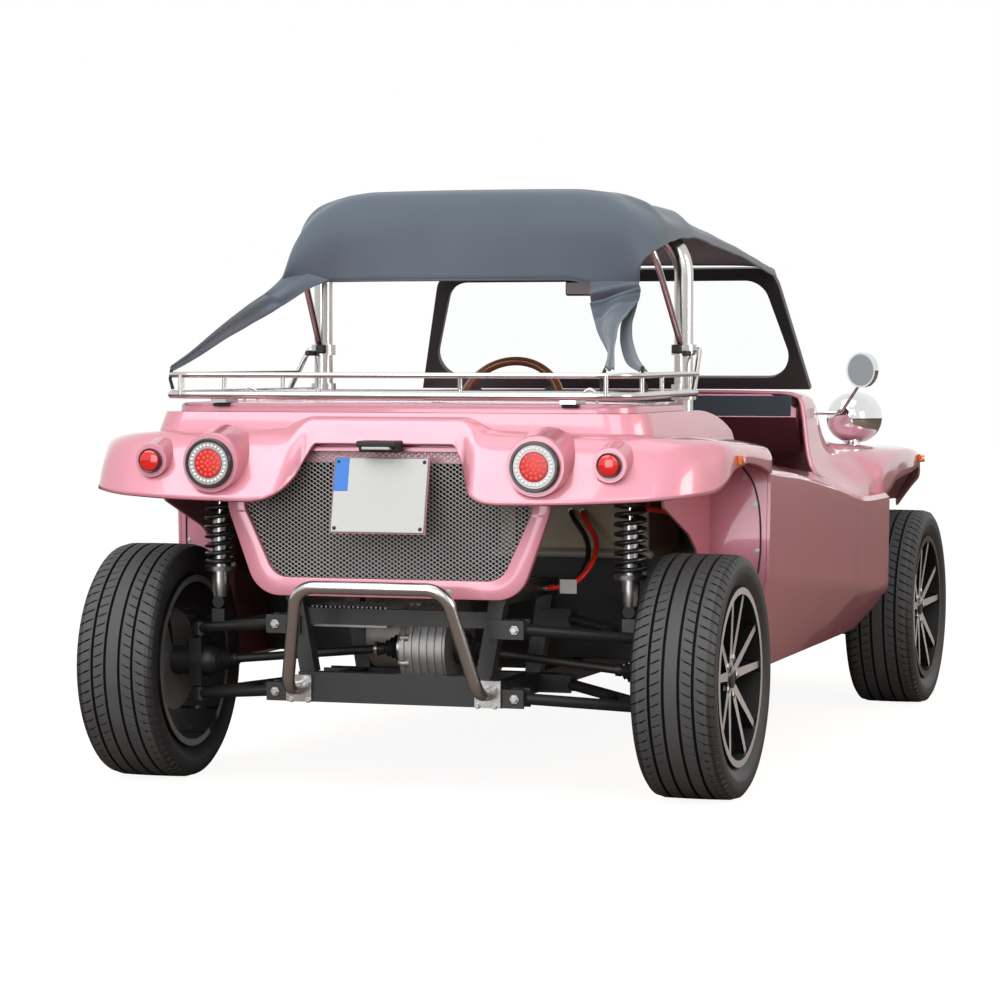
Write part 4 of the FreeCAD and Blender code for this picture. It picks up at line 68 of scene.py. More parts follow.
# Named places, worked out from the frame
TYRE_LOW, TYRE_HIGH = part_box("tyre_rear_left")
TRACK_X = (TYRE_LOW.x + TYRE_HIGH.x) / 2
REAR_Y = (TYRE_LOW.y + TYRE_HIGH.y) / 2
TYRE_R = (TYRE_HIGH.z - TYRE_LOW.z) / 2
TYRE_HALF = (TYRE_HIGH.x - TYRE_LOW.x) / 2
RIM_R = (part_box("rim_rear_left")[1].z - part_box("rim_rear_left")[0].z) / 2
LID_LOW, LID_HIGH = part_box("deck_lid")
LAMP_R, LAMP_X, LAMP_Z, LAMP_BACK, LAMP_FACE = round_pair("tail_lamps")
REFLECTOR_R, REFLECTOR_X, REFLECTOR_Z, REFLECTOR_BACK, REFLECTOR_FACE = round_pair("reflectors")
SHAFT_Z = 0.352


# Sizes and colours a user would change
def length(name, words, default, low, high):
    return FloatProperty(name=name, description=words, default=default, min=low, max=high, unit="LENGTH")


def colour(name, words, *default):
    return FloatVectorProperty(name=name, description=words, default=default, min=0, max=1, subtype="COLOR")


class BuggySizes(bpy.types.PropertyGroup):
    wall: length("Panel wall", "Thickness of the moulded panels", 0.008, 0.002, 0.02)
    cloth: length("Cloth", "Thickness of the folding top", 0.003, 0.001, 0.01)
    groove_depth: length("Groove depth", "Depth of the tyres' round grooves", 0.0085, 0.0, 0.012)
    groove_width: length("Groove width", "Width of the tyres' round grooves", 0.0075, 0.002, 0.02)
    sipe_count: IntProperty(name="Shoulder cuts", description="Cross cuts round each tyre's shoulders",
                            default=72, min=12, max=120)
    spring_turns: FloatProperty(name="Spring turns", description="Turns of each coil spring",
                                default=8.5, min=3, max=14)
    spring_wire: length("Spring wire", "Wire of the coil springs", 0.0125, 0.004, 0.02)
    mesh_pitch: length("Mesh pitch", "Width of one opening of the expanded metal", 0.0168, 0.006, 0.05)


class BuggyColours(bpy.types.PropertyGroup):
    paint: colour("Paint", "Body colour", 0.66, 0.262, 0.330)
    # The deep colour at a glancing angle is partly metallic flop and partly painted shade of the turned-away sides.
    paint_flop_and_shade: colour("Paint, turned away", "Body colour at a glancing angle", 0.36, 0.080, 0.085)
    cloth: colour("Cloth", "Folding top", 0.074, 0.098, 0.122)
    black: colour("Frame", "Powder-coated frame", 0.018, 0.018, 0.019)
    rubber: colour("Tyre", "Tyre rubber", 0.062, 0.062, 0.063)
    steel: colour("Stainless", "Polished tubes", 0.56, 0.55, 0.54)
    alloy: colour("Cast alloy", "Gearbox and controller", 0.42, 0.42, 0.41)
    lamp_red: colour("Lamp red", "Rear lenses", 0.62, 0.012, 0.01)
    amber: colour("Amber", "Side markers", 0.75, 0.16, 0.015)
    wood: colour("Wood", "Steering wheel rim", 0.25, 0.075, 0.028)
    cable: colour("Red cable", "Battery cable sheath", 0.85, 0.03, 0.014)
    case: colour("Battery case", "Battery box", 0.42, 0.38, 0.26)


def sizes():
    return bpy.context.scene.buggy_sizes


def colours():
    return bpy.context.scene.buggy_colours


# Shader nodes
def add_node(tree, kind, links=(), **values):
    """A node with input values by label, and links from output sockets to its inputs."""
    node = tree.nodes.new(kind)
    for label, value in values.items():
        node.inputs[label.replace("_", " ")].default_value = value
    for source, label in links:
        tree.links.new(source, node.inputs[label])
    return node


def maths(tree, operation, first, second):
    node = add_node(tree, "ShaderNodeMath", ((first, 0), (second, 1)))
    node.operation = operation
    return node.outputs["Value"]


def spread(tree, source, low, high, **reach):
    """A value carried over to the range from low to high."""
    return add_node(tree, "ShaderNodeMapRange", [(source, "Value")], To_Min=low, To_Max=high, **reach).outputs["Result"]


def shader_of(tree):
    return tree.nodes["Principled BSDF"]


def colour_between(tree, factor, first, second):
    """Links the colour between two, by a factor, to the shader's Base Color."""
    mix = tree.nodes.new("ShaderNodeMix")
    mix.data_type = "RGBA"
    mix.inputs[6].default_value = (*first, 1)
    mix.inputs[7].default_value = (*second, 1)
    tree.links.new(factor, mix.inputs[0])
    tree.links.new(mix.outputs[2], shader_of(tree).inputs["Base Color"])


def bump(tree, height, strength, distance):
    """Links a height to the shader's Normal."""
    node = add_node(tree, "ShaderNodeBump", [(height, "Height")], Strength=strength, Distance=distance)
    tree.links.new(node.outputs["Normal"], shader_of(tree).inputs["Normal"])


def placed_group(tree, group, **values):
    node = tree.nodes.new("ShaderNodeGroup")
    node.node_tree = group
    for label, value in values.items():
        node.inputs[label].default_value = value
    return node.outputs["Height"], node.outputs["Tone"]


def new_group(name, **inputs):
    """A node group with number inputs and the outputs Height and Tone."""
    group = bpy.data.node_groups.new(name, "ShaderNodeTree")
    for label, default in inputs.items():
        group.interface.new_socket(label, in_out="INPUT", socket_type="NodeSocketFloat").default_value = default
    for label in ("Height", "Tone"):
        group.interface.new_socket(label, in_out="OUTPUT", socket_type="NodeSocketFloat")
    return group, group.nodes.new("NodeGroupInput").outputs, group.nodes.new("NodeGroupOutput").inputs


def grain_group():
    """Fine and coarse noise on Object coordinates: Height for bump, Tone for colour and roughness."""
    found = bpy.data.node_groups.get("Fine grain")
    if found:
        return found
    group, entry, leave = new_group("Fine grain", Scale=120.0, Coarse=6.0)
    place = group.nodes.new("ShaderNodeTexCoord").outputs["Object"]
    for source, detail, target in (("Scale", 3, "Height"), ("Coarse", 4, "Tone")):
        noise = add_node(group, "ShaderNodeTexNoise", ((place, "Vector"), (entry[source], "Scale")), Detail=detail)
        group.links.new(noise.outputs["Fac"], leave[target])
    return group


def weave_group():
    """Two crossed wave patterns on the piece's own UV map, in turns of thread."""
    found = bpy.data.node_groups.get("Cloth weave")
    if found:
        return found
    group, entry, leave = new_group("Cloth weave", Threads=500.0)
    uv = group.nodes.new("ShaderNodeUVMap").outputs["UV"]
    scaled = group.nodes.new("ShaderNodeVectorMath")
    scaled.operation = "SCALE"
    group.links.new(uv, scaled.inputs[0])
    group.links.new(entry["Threads"], scaled.inputs["Scale"])
    waves = []
    for direction in ("X", "Y"):
        wave = add_node(group, "ShaderNodeTexWave", [(scaled.outputs["Vector"], "Vector")], Scale=1.0)
        wave.bands_direction = direction
        waves.append(wave.outputs["Fac"])
    blotch = add_node(group, "ShaderNodeTexNoise", [(uv, "Vector")], Scale=7.0)
    group.links.new(maths(group, "MULTIPLY", *waves), leave["Height"])
    group.links.new(blotch.outputs["Fac"], leave["Tone"])
    return group


# Materials
def finish(name, colour, rough=0.5, metal=0.0, coat=0.0, **sockets):
    """A plain Principled material, made once."""
    made = bpy.data.materials.get(name)
    if made:
        return made
    made = bpy.data.materials.new(name)
    made.use_nodes = True
    values = {"Base_Color": (*colour, 1.0), "Roughness": rough, "Metallic": metal, "Coat_Weight": coat, **sockets}
    for label, value in values.items():
        shader_of(made.node_tree).inputs[label.replace("_", " ")].default_value = value
    return made


def add_grain(material, scale, coarse, strength, low, high, tint=0.0):
    """Gives a material bump from the fine grain, roughness from low to high and a slight change of tone."""
    if "grained" in material:
        return material
    material["grained"] = 1
    tree = material.node_tree
    height, tone = placed_group(tree, grain_group(), Scale=scale, Coarse=coarse)
    tree.links.new(spread(tree, tone, low, high), shader_of(tree).inputs["Roughness"])
    if strength:
        bump(tree, height, strength, 0.001)
    if tint:
        base = shader_of(tree).inputs["Base Color"].default_value[:3]
        colour_between(tree, tone, [c * (1 - tint) for c in base], [min(1, c * (1 + tint)) for c in base])
    return material


def metallic_paint():
    """Pink metallic lacquer: the colour deepens where the panel turns away, under a clear coat."""
    found = bpy.data.materials.get("Pink lacquer")
    if found:
        return found
    made = finish("Pink lacquer", colours().paint, 0.36, 0.2, 1.0, Coat_Roughness=0.06)
    tree = made.node_tree
    facing = add_node(tree, "ShaderNodeLayerWeight", Blend=0.28).outputs["Facing"]
    # Painted shade: the paint darkens towards glancing angles, so the sides look as if they stand in shade.
    colour_between(tree, facing, colours().paint, colours().paint_flop_and_shade)
    height, _ = placed_group(tree, grain_group(), Scale=900.0)
    bump(tree, height, 0.05, 0.0004)
    return made


def woven_cloth():
    """Slate cloth with a woven bump and blotches of tone."""
    found = bpy.data.materials.get("Slate cloth")
    if found:
        return found
    made = finish("Slate cloth", colours().cloth, 0.88, Sheen_Weight=0.35, Sheen_Roughness=0.5)
    tree = made.node_tree
    height, tone = placed_group(tree, weave_group(), Threads=420.0)
    colour_between(tree, tone, *[[c * share for c in colours().cloth] for share in (0.86, 1.16)])
    bump(tree, height, 0.22, 0.0006)
    return made


def black_coat():
    return add_grain(finish("Black powder coat", colours().black, 0.38), 700, 9, 0.12, 0.3, 0.48)


def tyre_rubber():
    return add_grain(finish("Tyre rubber", colours().rubber, 0.7), 500, 14, 0.15, 0.6, 0.82, 0.22)


def stainless():
    return add_grain(finish("Stainless tube", colours().steel, 0.2, 1.0), 300, 10, 0.0, 0.14, 0.28)


def cast_alloy():
    return add_grain(finish("Cast alloy", colours().alloy, 0.45, 0.85), 420, 12, 0.3, 0.38, 0.58, 0.12)


def rim_black():
    return finish("Rim lacquer", (0.010, 0.010, 0.011), 0.16, 0.0, 0.8)


def rubber_trim():
    return finish("Black trim", (0.012, 0.012, 0.012), 0.6)


def chrome():
    return finish("Chrome", (0.74, 0.74, 0.75), 0.06, 1.0)


def bolt_steel():
    return finish("Zinc bolt", (0.5, 0.5, 0.48), 0.32, 1.0)


def lamp_bezel():
    return finish("Lamp bezel", (0.05, 0.048, 0.05), 0.22, 0.6)


# Meshes worked out as arrays
def in_scene(name, data):
    item = bpy.data.objects.new(name, data)
    bpy.context.scene.collection.objects.link(item)
    return item


def mesh_piece(name, points, quads, material, uv=None, smooth=True):
    """A mesh object from an (n, 3) array of points and an (m, 4) array of corners."""
    data = bpy.data.meshes.new(name)
    data.vertices.add(len(points))
    data.vertices.foreach_set("co", np.asarray(points, np.float32).ravel())
    count = len(quads)
    data.loops.add(count * 4)
    data.loops.foreach_set("vertex_index", np.asarray(quads, np.int32).ravel())
    data.polygons.add(count)
    data.polygons.foreach_set("loop_start", np.arange(0, count * 4, 4, dtype=np.int32))
    data.polygons.foreach_set("use_smooth", np.full(count, smooth))
    data.update(calc_edges=True)
    if uv is not None:
        layer = data.uv_layers.new(name="UVMap")
        layer.data.foreach_set("uv", np.asarray(uv, np.float32)[np.asarray(quads).ravel()].ravel())
    data.validate()
    data.materials.append(material)
    return in_scene(name, data)


def grid_quads(rows, columns, wrap_rows=False, wrap_columns=False, offset=0):
    """Corner numbers of a grid of rows x columns points, joined round where asked."""
    i = np.arange(rows if wrap_rows else rows - 1)[:, None]
    j = np.arange(columns if wrap_columns else columns - 1)[None, :]
    a = i * columns + j
    b = i * columns + (j + 1) % columns
    c = ((i + 1) % rows) * columns + (j + 1) % columns
    d = ((i + 1) % rows) * columns + j
    return np.stack(np.broadcast_arrays(a, b, c, d), -1).reshape(-1, 4) + offset


def grid_piece(name, points, material, wrap_rows=False, wrap_columns=False, uv=None):
    quads = grid_quads(*points.shape[:2], wrap_rows, wrap_columns)
    return mesh_piece(name, points.reshape(-1, 3), quads, material, None if uv is None else uv.reshape(-1, 2))


def smooth_rows(points, steps):
    """A smooth curve through the rows of an array, by Hermite spans whose slopes never overshoot."""
    points = np.asarray(points, float)
    count = len(points)
    flat = points.reshape(count, -1)
    gaps = np.sqrt(((np.diff(points, axis=0)) ** 2).sum(-1)).reshape(count - 1, -1).mean(1) + 1e-9
    slope = np.diff(flat, axis=0) / gaps[:, None]
    tangent = np.empty_like(flat)
    tangent[0], tangent[-1] = slope[0], slope[-1]
    before, after = slope[:-1], slope[1:]
    w_before, w_after = (2 * gaps[1:] + gaps[:-1])[:, None], (gaps[1:] + 2 * gaps[:-1])[:, None]
    same = before * after > 0
    safe_before, safe_after = np.where(same, before, 1.0), np.where(same, after, 1.0)
    mean = (w_before + w_after) / (w_before / safe_before + w_after / safe_after)
    tangent[1:-1] = np.where(same, mean, 0.0)
    t = (np.arange(steps) / steps)[None, :, None]
    p0, p1 = flat[:-1, None], flat[1:, None]
    m0, m1 = tangent[:-1, None] * gaps[:, None, None], tangent[1:, None] * gaps[:, None, None]
    body = ((2 * t ** 3 - 3 * t ** 2 + 1) * p0 + (t ** 3 - 2 * t ** 2 + t) * m0
            + (-2 * t ** 3 + 3 * t ** 2) * p1 + (t ** 3 - t ** 2) * m1).reshape(-1, flat.shape[1])
    return np.vstack([body, flat[-1:]]).reshape((-1,) + points.shape[1:])


def smooth_grid(stations, along, across):
    """Smooths a grid of stations in both directions."""
    return smooth_rows(smooth_rows(stations, along).swapaxes(0, 1), across).swapaxes(0, 1)


def thicken(piece, wall, inward=-1):
    """Gives an open surface its wall, on the side that its faces point away from."""
    solid = piece.modifiers.new("Wall", "SOLIDIFY")
    solid.thickness = wall
    solid.offset = inward
    return piece


def soften(piece, width, segments=2, harden=True):
    """Rounds a piece's edges with a live bevel."""
    rounding = piece.modifiers.new("Rounding", "BEVEL")
    rounding.width = width
    rounding.segments = segments
    rounding.harden_normals = harden
    return rounding


def rounded_path(corners, bend, arc_steps=8):
    """Points along straight runs whose corners are rounded by tangent arcs of the bend's radius."""
    corners = np.asarray(corners, float)
    points = [corners[0]]
    for before, corner, after in zip(corners, corners[1:], corners[2:]):
        back, ahead = before - corner, after - corner
        room = min(np.linalg.norm(back), np.linalg.norm(ahead)) * 0.45
        back, ahead = back / np.linalg.norm(back), ahead / np.linalg.norm(ahead)
        half = math.acos(np.clip(back @ ahead, -1, 1)) / 2
        radius = min(bend, room * math.tan(half))
        middle = back + ahead
        middle /= np.linalg.norm(middle)
        centre = corner + middle * radius / math.sin(half)
        start, end = corner + back * radius / math.tan(half), corner + ahead * radius / math.tan(half)
        u, v = (start - centre) / radius, (end - centre) / radius
        angle = math.acos(np.clip(u @ v, -1, 1))
        t = np.linspace(0, 1, arc_steps)[:, None]
        points.extend(centre + radius * (np.sin((1 - t) * angle) * u + np.sin(t * angle) * v) / math.sin(angle))
    points.append(corners[-1])
    return np.array(points)


def square_to(axis):
    """A direction square to an axis."""
    side = np.cross(axis, UPWARD if abs(axis[2]) < 0.9 else ACROSS)
    return side / np.linalg.norm(side)


def path_frames(path):
    """Two directions square to a path at each point, carried along it without twist."""
    tangent = np.gradient(np.asarray(path, float), axis=0)
    tangent /= np.linalg.norm(tangent, axis=1)[:, None]
    sides = [square_to(tangent[0])]
    for axis in tangent[1:]:
        side = sides[-1] - axis * (sides[-1] @ axis)
        sides.append(side / np.linalg.norm(side))
    sides = np.array(sides)
    return sides, np.cross(tangent, sides)


def tube_piece(name, path, radius, material, sides=16, closed=False):
    """A round bar along a path, its rings the path plus the radius turned round its direction, with closed ends."""
    path = np.asarray(path, float)
    across, up = path_frames(path)
    angle = np.linspace(0, 2 * math.pi, sides, endpoint=False)[None, :, None]
    rings = path[:, None] + (np.cos(angle) * across[:, None] + np.sin(angle) * up[:, None]) * radius
    if not closed:
        ends = [np.repeat(path[i][None, None], sides, 1) for i in (0, -1)]
        rings = np.concatenate([ends[0], rings, ends[1]])
    return tidy_mesh(grid_piece(name, rings, material, wrap_rows=closed, wrap_columns=True))


def smooth_all_but(work, angle):
    """Marks every edge that bends more than an angle as sharp and the rest as smooth."""
    limit = math.radians(angle)
    for edge in work.edges:
        edge.smooth = len(edge.link_faces) == 2 and edge.calc_face_angle(0) < limit
    for face in work.faces:
        face.smooth = True


def tidy_mesh(piece, angle=40):
    """Merges doubles, turns the faces outward and smooths all but sharp edges."""
    work = bmesh.new()
    work.from_mesh(piece.data)
    bmesh.ops.remove_doubles(work, verts=work.verts, dist=1e-6)
    bmesh.ops.dissolve_degenerate(work, edges=work.edges, dist=1e-7)
    bmesh.ops.recalc_face_normals(work, faces=work.faces)
    smooth_all_but(work, angle)
    work.to_mesh(piece.data)
    work.free()
    return piece


def turned_points(profile, centre, axis, sides=64):
    """A profile of (distance along the axis, radius) pairs turned round the axis through the centre."""
    axis = np.asarray(axis, float) / np.linalg.norm(axis)
    side = square_to(axis)
    profile = np.asarray(profile, float)
    angle = np.linspace(0, 2 * math.pi, sides, endpoint=False)[None, :, None]
    ring = np.cos(angle) * side + np.sin(angle) * np.cross(axis, side)
    return np.asarray(centre, float) + profile[:, :1, None] * axis + profile[:, 1:, None] * ring


def turned_piece(name, profile, centre, axis, material, sides=64, angle=35):
    return tidy_mesh(grid_piece(name, turned_points(profile, centre, axis, sides), material, wrap_columns=True), angle)


def turned_pair(name, profile, x, y, z, axis, material, sides=64, angle=35):
    """A turned piece on each side of the car."""
    return [turned_piece(name, profile, (x * turn, y, z), axis, material, sides, angle) for turn in SIDES]


def round_places(centre, radius, count, phase, plane):
    """Places in a ring about a centre, in the plane of two of the axes 0, 1 and 2."""
    turn = np.arange(count) * 2 * math.pi / count + phase
    places = np.tile(np.asarray(centre, float), (count, 1))
    places[:, plane] += radius * np.stack([np.cos(turn), np.sin(turn)], -1)
    return places


def stamped(name, profile, places, axis, sides, material, angle):
    """One small turned form repeated at all places, as one mesh."""
    one = turned_points(profile, (0, 0, 0), axis, sides)
    rows, columns = one.shape[:2]
    places = np.atleast_2d(np.asarray(places, float))
    points = (places[:, None, None] + one[None]).reshape(-1, 3)
    quads = np.concatenate([grid_quads(rows, columns, False, True, k * rows * columns) for k in range(len(places))])
    return tidy_mesh(mesh_piece(name, points, quads, material), angle)


def bolt_heads(name, places, axis, width, height, material=None):
    """Hexagon heads with a small chamfer, at all places, along one axis."""
    r = width / math.sqrt(3)
    profile = ((0, 0), (0, r * 1.35), (height * 0.25, r * 1.35), (height * 0.25, r), (height * 0.85, r),
               (height, r * 0.82), (height, 0))
    return stamped(name, profile, places, axis, 6, material or bolt_steel(), 20)


def joined(name, parts):
    """Several mesh objects made one, with their materials kept."""
    bpy.ops.object.select_all(action="DESELECT")
    for part in parts:
        part.select_set(True)
    bpy.context.view_layer.objects.active = parts[0]
    if len(parts) > 1:
        bpy.ops.object.join()
    parts[0].name = parts[0].data.name = name
    return parts[0]


def apply_all(*pieces):
    for piece in pieces:
        bpy.context.view_layer.objects.active = piece
        for modifier in list(piece.modifiers):
            bpy.ops.object.modifier_apply(modifier=modifier.name)


def block(name, low, high, material, bevel=0.0, lean=None):
    """A box between two corners, with rounded edges, leaned by a function of its points where one is given."""
    low, high = np.array(low, float), np.array(high, float)
    corner = np.array([[x, y, z] for z in (0, 1) for y in (0, 1) for x in (0, 1)], float)
    points = low + corner * (high - low)
    if lean is not None:
        points = lean(points)
    quads = [(0, 2, 3, 1), (4, 5, 7, 6), (0, 1, 5, 4), (2, 6, 7, 3), (0, 4, 6, 2), (1, 3, 7, 5)]
    piece = mesh_piece(name, points, np.array(quads), material, smooth=False)
    soften(piece, bevel, 3)
    apply_all(piece)
    return piece


def settle(piece, slot, *nodes, body="body"):
    """Puts a finished piece on its body and names its slot, if any, and the CAD nodes that it stands for."""
    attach(piece, body)
    if nodes:
        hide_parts(*nodes)
    return piece


def settle_joined(name, parts, slot, *nodes, body="body"):
    return settle(joined(name, parts), slot, *nodes, body=body)


def dressed_copy(node, material, slot, body="body", angle=35, bevel=0.0):
    """A merged and smoothed copy of a CAD node that stands for it."""
    data = NODES[node].data.copy()
    data.materials.clear()
    data.materials.append(material)
    piece = in_scene(f"{node}_dressed", data)
    work = bmesh.new()
    work.from_mesh(data)
    bmesh.ops.remove_doubles(work, verts=work.verts, dist=2e-5)
    bmesh.ops.dissolve_limit(work, angle_limit=math.radians(0.4), verts=work.verts, edges=work.edges)
    smooth_all_but(work, angle)
    for face in work.faces:
        face.material_index = 0
    work.to_mesh(data)
    work.free()
    if bevel:
        rounding = soften(piece, bevel)
        rounding.limit_method = "ANGLE"
        rounding.angle_limit = math.radians(angle)
    return settle(piece, slot, node, body=body)


def mirror_rows(stations):
    """The left half's stations followed by their mirror images, back to the right-hand end."""
    return np.concatenate([stations, stations[-2::-1] * (-1, 1, 1)])


def mirror_across(stations):
    """Each station from the middle outwards, with its mirror image put before it."""
    return np.concatenate([stations[:, :0:-1] * (-1, 1, 1), stations], axis=1)


def row_points(rows):
    """Rows of a place along the car and (x, z) pairs, in millimetres, as (x, y, z) in metres."""
    return np.array([[(x, row[0], z) for x, z in row[1:]] for row in rows]) * MM


# All tables of rows are in millimetres. Rear wings and lamp panel, from the left wing's front end round to the
# middle: inner top, crown, edge, middle of the face and lower edge. The last rows end on the swept middle opening
WING_ROWS = (
    ((648, 962, 864), (740, 962, 858), (799, 962, 844), (810, 962, 820), (810, 962, 786)),
    ((648, 1100, 875), (740, 1100, 868), (799, 1100, 852), (810, 1100, 832), (810, 1100, 811)),
    ((648, 1215, 879), (740, 1215, 873), (799, 1215, 857), (810, 1215, 839), (810, 1215, 820)),
    ((648, 1330, 883), (740, 1330, 877), (799, 1330, 862), (810, 1330, 839), (810, 1330, 810)),
    ((648, 1388, 885), (738, 1393, 879), (794, 1397, 864), (807, 1403, 832), (809, 1408, 780)),
    ((640, 1450, 886), (717, 1453, 880), (765, 1461, 864), (784, 1470, 820), (794, 1475, 755)),
    ((620, 1500, 888), (682, 1510, 880), (717, 1530, 862), (735, 1556, 810), (745, 1575, 747)),
    ((567, 1528, 890), (607, 1545, 882), (628, 1569, 862), (640, 1603, 800), (650, 1633, 738)),
    ((420, 1541, 892), (420, 1560, 885), (420, 1582, 867), (420, 1625, 800), (420, 1668, 729)),
    ((328, 1542, 895), (324, 1560, 888), (324, 1582, 869), (324, 1627, 800), (324, 1672, 728)),
    ((292, 1543, 897), (284, 1560, 889), (284, 1582, 870), (285, 1628, 800), (285, 1674, 732)),
    ((264, 1543, 900), (252, 1560, 892), (250, 1581, 872), (253, 1621, 808), (256, 1664, 743)),
    ((241, 1542, 912), (229, 1558, 904), (227, 1573, 885), (228.5, 1596, 834), (230, 1619, 775)),
    ((213, 1539, 924), (207, 1556, 917), (205.5, 1564.5, 897), (209, 1574, 866), (213, 1589, 812)),
    ((195, 1539, 928), (192, 1555, 922), (191, 1561, 905), (193.5, 1569, 876), (196, 1578, 842)),
    ((178, 1539, 928), (176, 1555, 922), (175.5, 1561, 905), (175.5, 1567, 886), (175.5, 1573, 868)),
    ((0, 1539, 928), (0, 1555, 922), (0, 1561, 905), (0, 1566, 886), (0, 1571, 868)),
)
ARCH_WALL = ((963, 331), (1000, 450), (1100, 600), (1170, 640), (1400, 715), (1471, 869), (963, 862))


def plate_of(name, outline, inner, outer, material, bevel=0.0015):
    """A flat plate: an outline of (y, z) pairs between two places across the car."""
    count = len(outline)
    points = [(x, y, z) for x in (inner, outer) for y, z in outline]
    faces = [list(range(count))[::-1], [k + count for k in range(count)]]
    faces += [[k, (k + 1) % count, (k + 1) % count + count, k + count] for k in range(count)]
    data = bpy.data.meshes.new(name)
    data.from_pydata(points, [], faces)
    data.materials.append(material)
    piece = tidy_mesh(in_scene(name, data), 30)
    soften(piece, bevel, harden=False)
    apply_all(piece)
    return piece


def lamp_pod(x, z, radius, face):
    """A flaring sleeve behind a round lamp: its radius grows by 1.16 and its middle rises 8 mm towards the panel."""
    depth = radius * 1.24 + 0.010
    share = np.array([1.0, 1.0, 0.72, 0.45, 0.2, 0.04, 0.0, 0.0, 0.0])
    wide = np.array([0.0, 1.16, 1.10, 1.05, 1.015, 1.0, 0.975, 0.90, 0.0]) * radius
    angle = np.linspace(0, 2 * math.pi, 64, endpoint=False)
    rings = np.stack([x + wide[:, None] * np.cos(angle),
                      np.repeat((face - share * depth)[:, None], 64, 1),
                      z + share[:, None] * 0.008 + wide[:, None] * np.sin(angle)], -1)
    return tidy_mesh(grid_piece("lamp_pod", rings, metallic_paint(), wrap_columns=True))


def rear_wings():
    """The wing rows smoothed both ways and thickened, with a flared pod under each lamp and the arch walls."""
    rows = smooth_grid(mirror_rows(np.array(WING_ROWS) * MM), 6, 6)
    parts = [thicken(grid_piece("rear_wing_panel", rows[::-1], metallic_paint()), sizes().wall)]
    apply_all(*parts)
    for turn in SIDES:
        parts.append(lamp_pod(LAMP_X * turn, LAMP_Z, 0.073, LAMP_BACK))
        parts.append(lamp_pod(REFLECTOR_X * turn, REFLECTOR_Z, 0.042, REFLECTOR_BACK))
        parts.append(plate_of("arch_wall", np.array(ARCH_WALL) * MM, 0.6505 * turn, 0.6583 * turn, metallic_paint()))
    settle_joined("rear_wing_moulding", parts, "body_paint", "rear_wings")


def plan_ring(half, front, rear, corner, count=10):
    """Plan outline of the deck, square in front and rounded at both rear corners, as an array of (x, y)."""
    turn = np.linspace(0, math.pi / 2, count)
    left = np.stack([half - corner + corner * np.cos(turn), rear - corner + corner * np.sin(turn)], -1)
    return np.concatenate([[(half, front)], left, left[::-1] * (-1, 1), [(-half, front)]])


# Section of the deck lid: inset in rim heights, height in rim heights (past 1 it is the crown's rise)
LID_SECTION = ((0.0, 0.0), (0.0, 0.55), (0.10, 0.80), (0.35, 0.94), (0.8, 1.0), (5.0, 1.12), (9.0, 1.22))
LID_CROWN = 0.024
LID_CORNER = 0.09


def deck():
    """Deck and lid: the CAD's own forms with soft edges, and a dark seal between them."""
    dressed_copy("rear_deck", metallic_paint(), None, bevel=0.006)
    rim = LID_HIGH.z - LID_LOW.z
    rings = []
    for inset, rise in LID_SECTION:
        pull = inset * rim
        ring = plan_ring(LID_HIGH.x - pull, LID_LOW.y + pull, LID_HIGH.y - pull, max(LID_CORNER - pull * 0.3, 0.02))
        height = LID_LOW.z + min(rise, 1.0) * rim + max(rise - 1.0, 0) * LID_CROWN
        rings.append(np.column_stack([ring, np.full(len(ring), height)]))
    rings = np.array(rings)
    rows = np.concatenate([rings, rings[-1:].mean(1, keepdims=True).repeat(rings.shape[1], 1)])
    lid = tidy_mesh(grid_piece("deck_lid_panel", rows, metallic_paint(), wrap_columns=True), 50)
    settle(lid, "body_paint", "deck_lid")
    ring = plan_ring(LID_HIGH.x - 0.004, LID_LOW.y + 0.004, LID_HIGH.y - 0.004, 0.088)
    seal = np.column_stack([ring, np.full(len(ring), LID_LOW.z + 0.001)])
    settle(tube_piece("lid_seal", seal, 0.0032, rubber_trim(), 8, closed=True), "frame_black")


# Side panels: place along the car, then ledge, roll, top edge, crease and foot as (x, z)
SIDE_ROWS = (
    (-650, (744, 661), (774, 664), (782, 656), (779, 392), (705, 279)),
    (-489, (744, 662), (776, 664), (784, 656), (782, 401), (707, 279)),
    (-344, (744, 664), (779, 666), (787, 658), (784, 416), (711, 279)),
    (-234, (744, 669), (782, 671), (790, 663), (786, 425), (714, 279)),
    (-226, (660, 735), (782, 672), (790, 664), (786, 425), (714, 279)),
    (-102, (660, 745), (784, 686), (792, 678), (789, 437), (718, 279)),
    (75, (660, 758), (787, 709), (795, 701), (791, 452), (721, 279)),
    (253, (660, 773), (790, 728), (798, 720), (794, 465), (725, 279)),
    (430, (660, 789), (792, 747), (800, 739), (796, 479), (729, 279)),
    (607, (660, 811), (794, 764), (802, 756), (799, 492), (733, 279)),
    (801, (660, 836), (796, 777), (804, 769), (801, 510), (737, 279)),
    (914, (660, 843), (798, 785), (806, 777), (802, 519), (739, 279)),
    (962, (660, 845), (799, 789), (807, 781), (803, 524), (740, 279)),
)
# Swept lower front corner of a side panel, as (z, y)
FRONT_CORNER = ((271, -475), (293, -560), (322, -611), (356, -638), (392, -650))
# Flat liner across the arch's front, its black seam and its screws, as (x, z)
LINER = ((655.5, 281), (739, 281), (802, 524), (806, 781), (799, 788), (655.5, 844))
LINER_SEAM = ((742, 800), (764, 772), (777, 739), (786, 690), (789, 636), (789, 600), (786, 560), (772, 481),
              (752, 400))
LINER_SCREWS = ((748, 775), (776, 709), (780, 590))


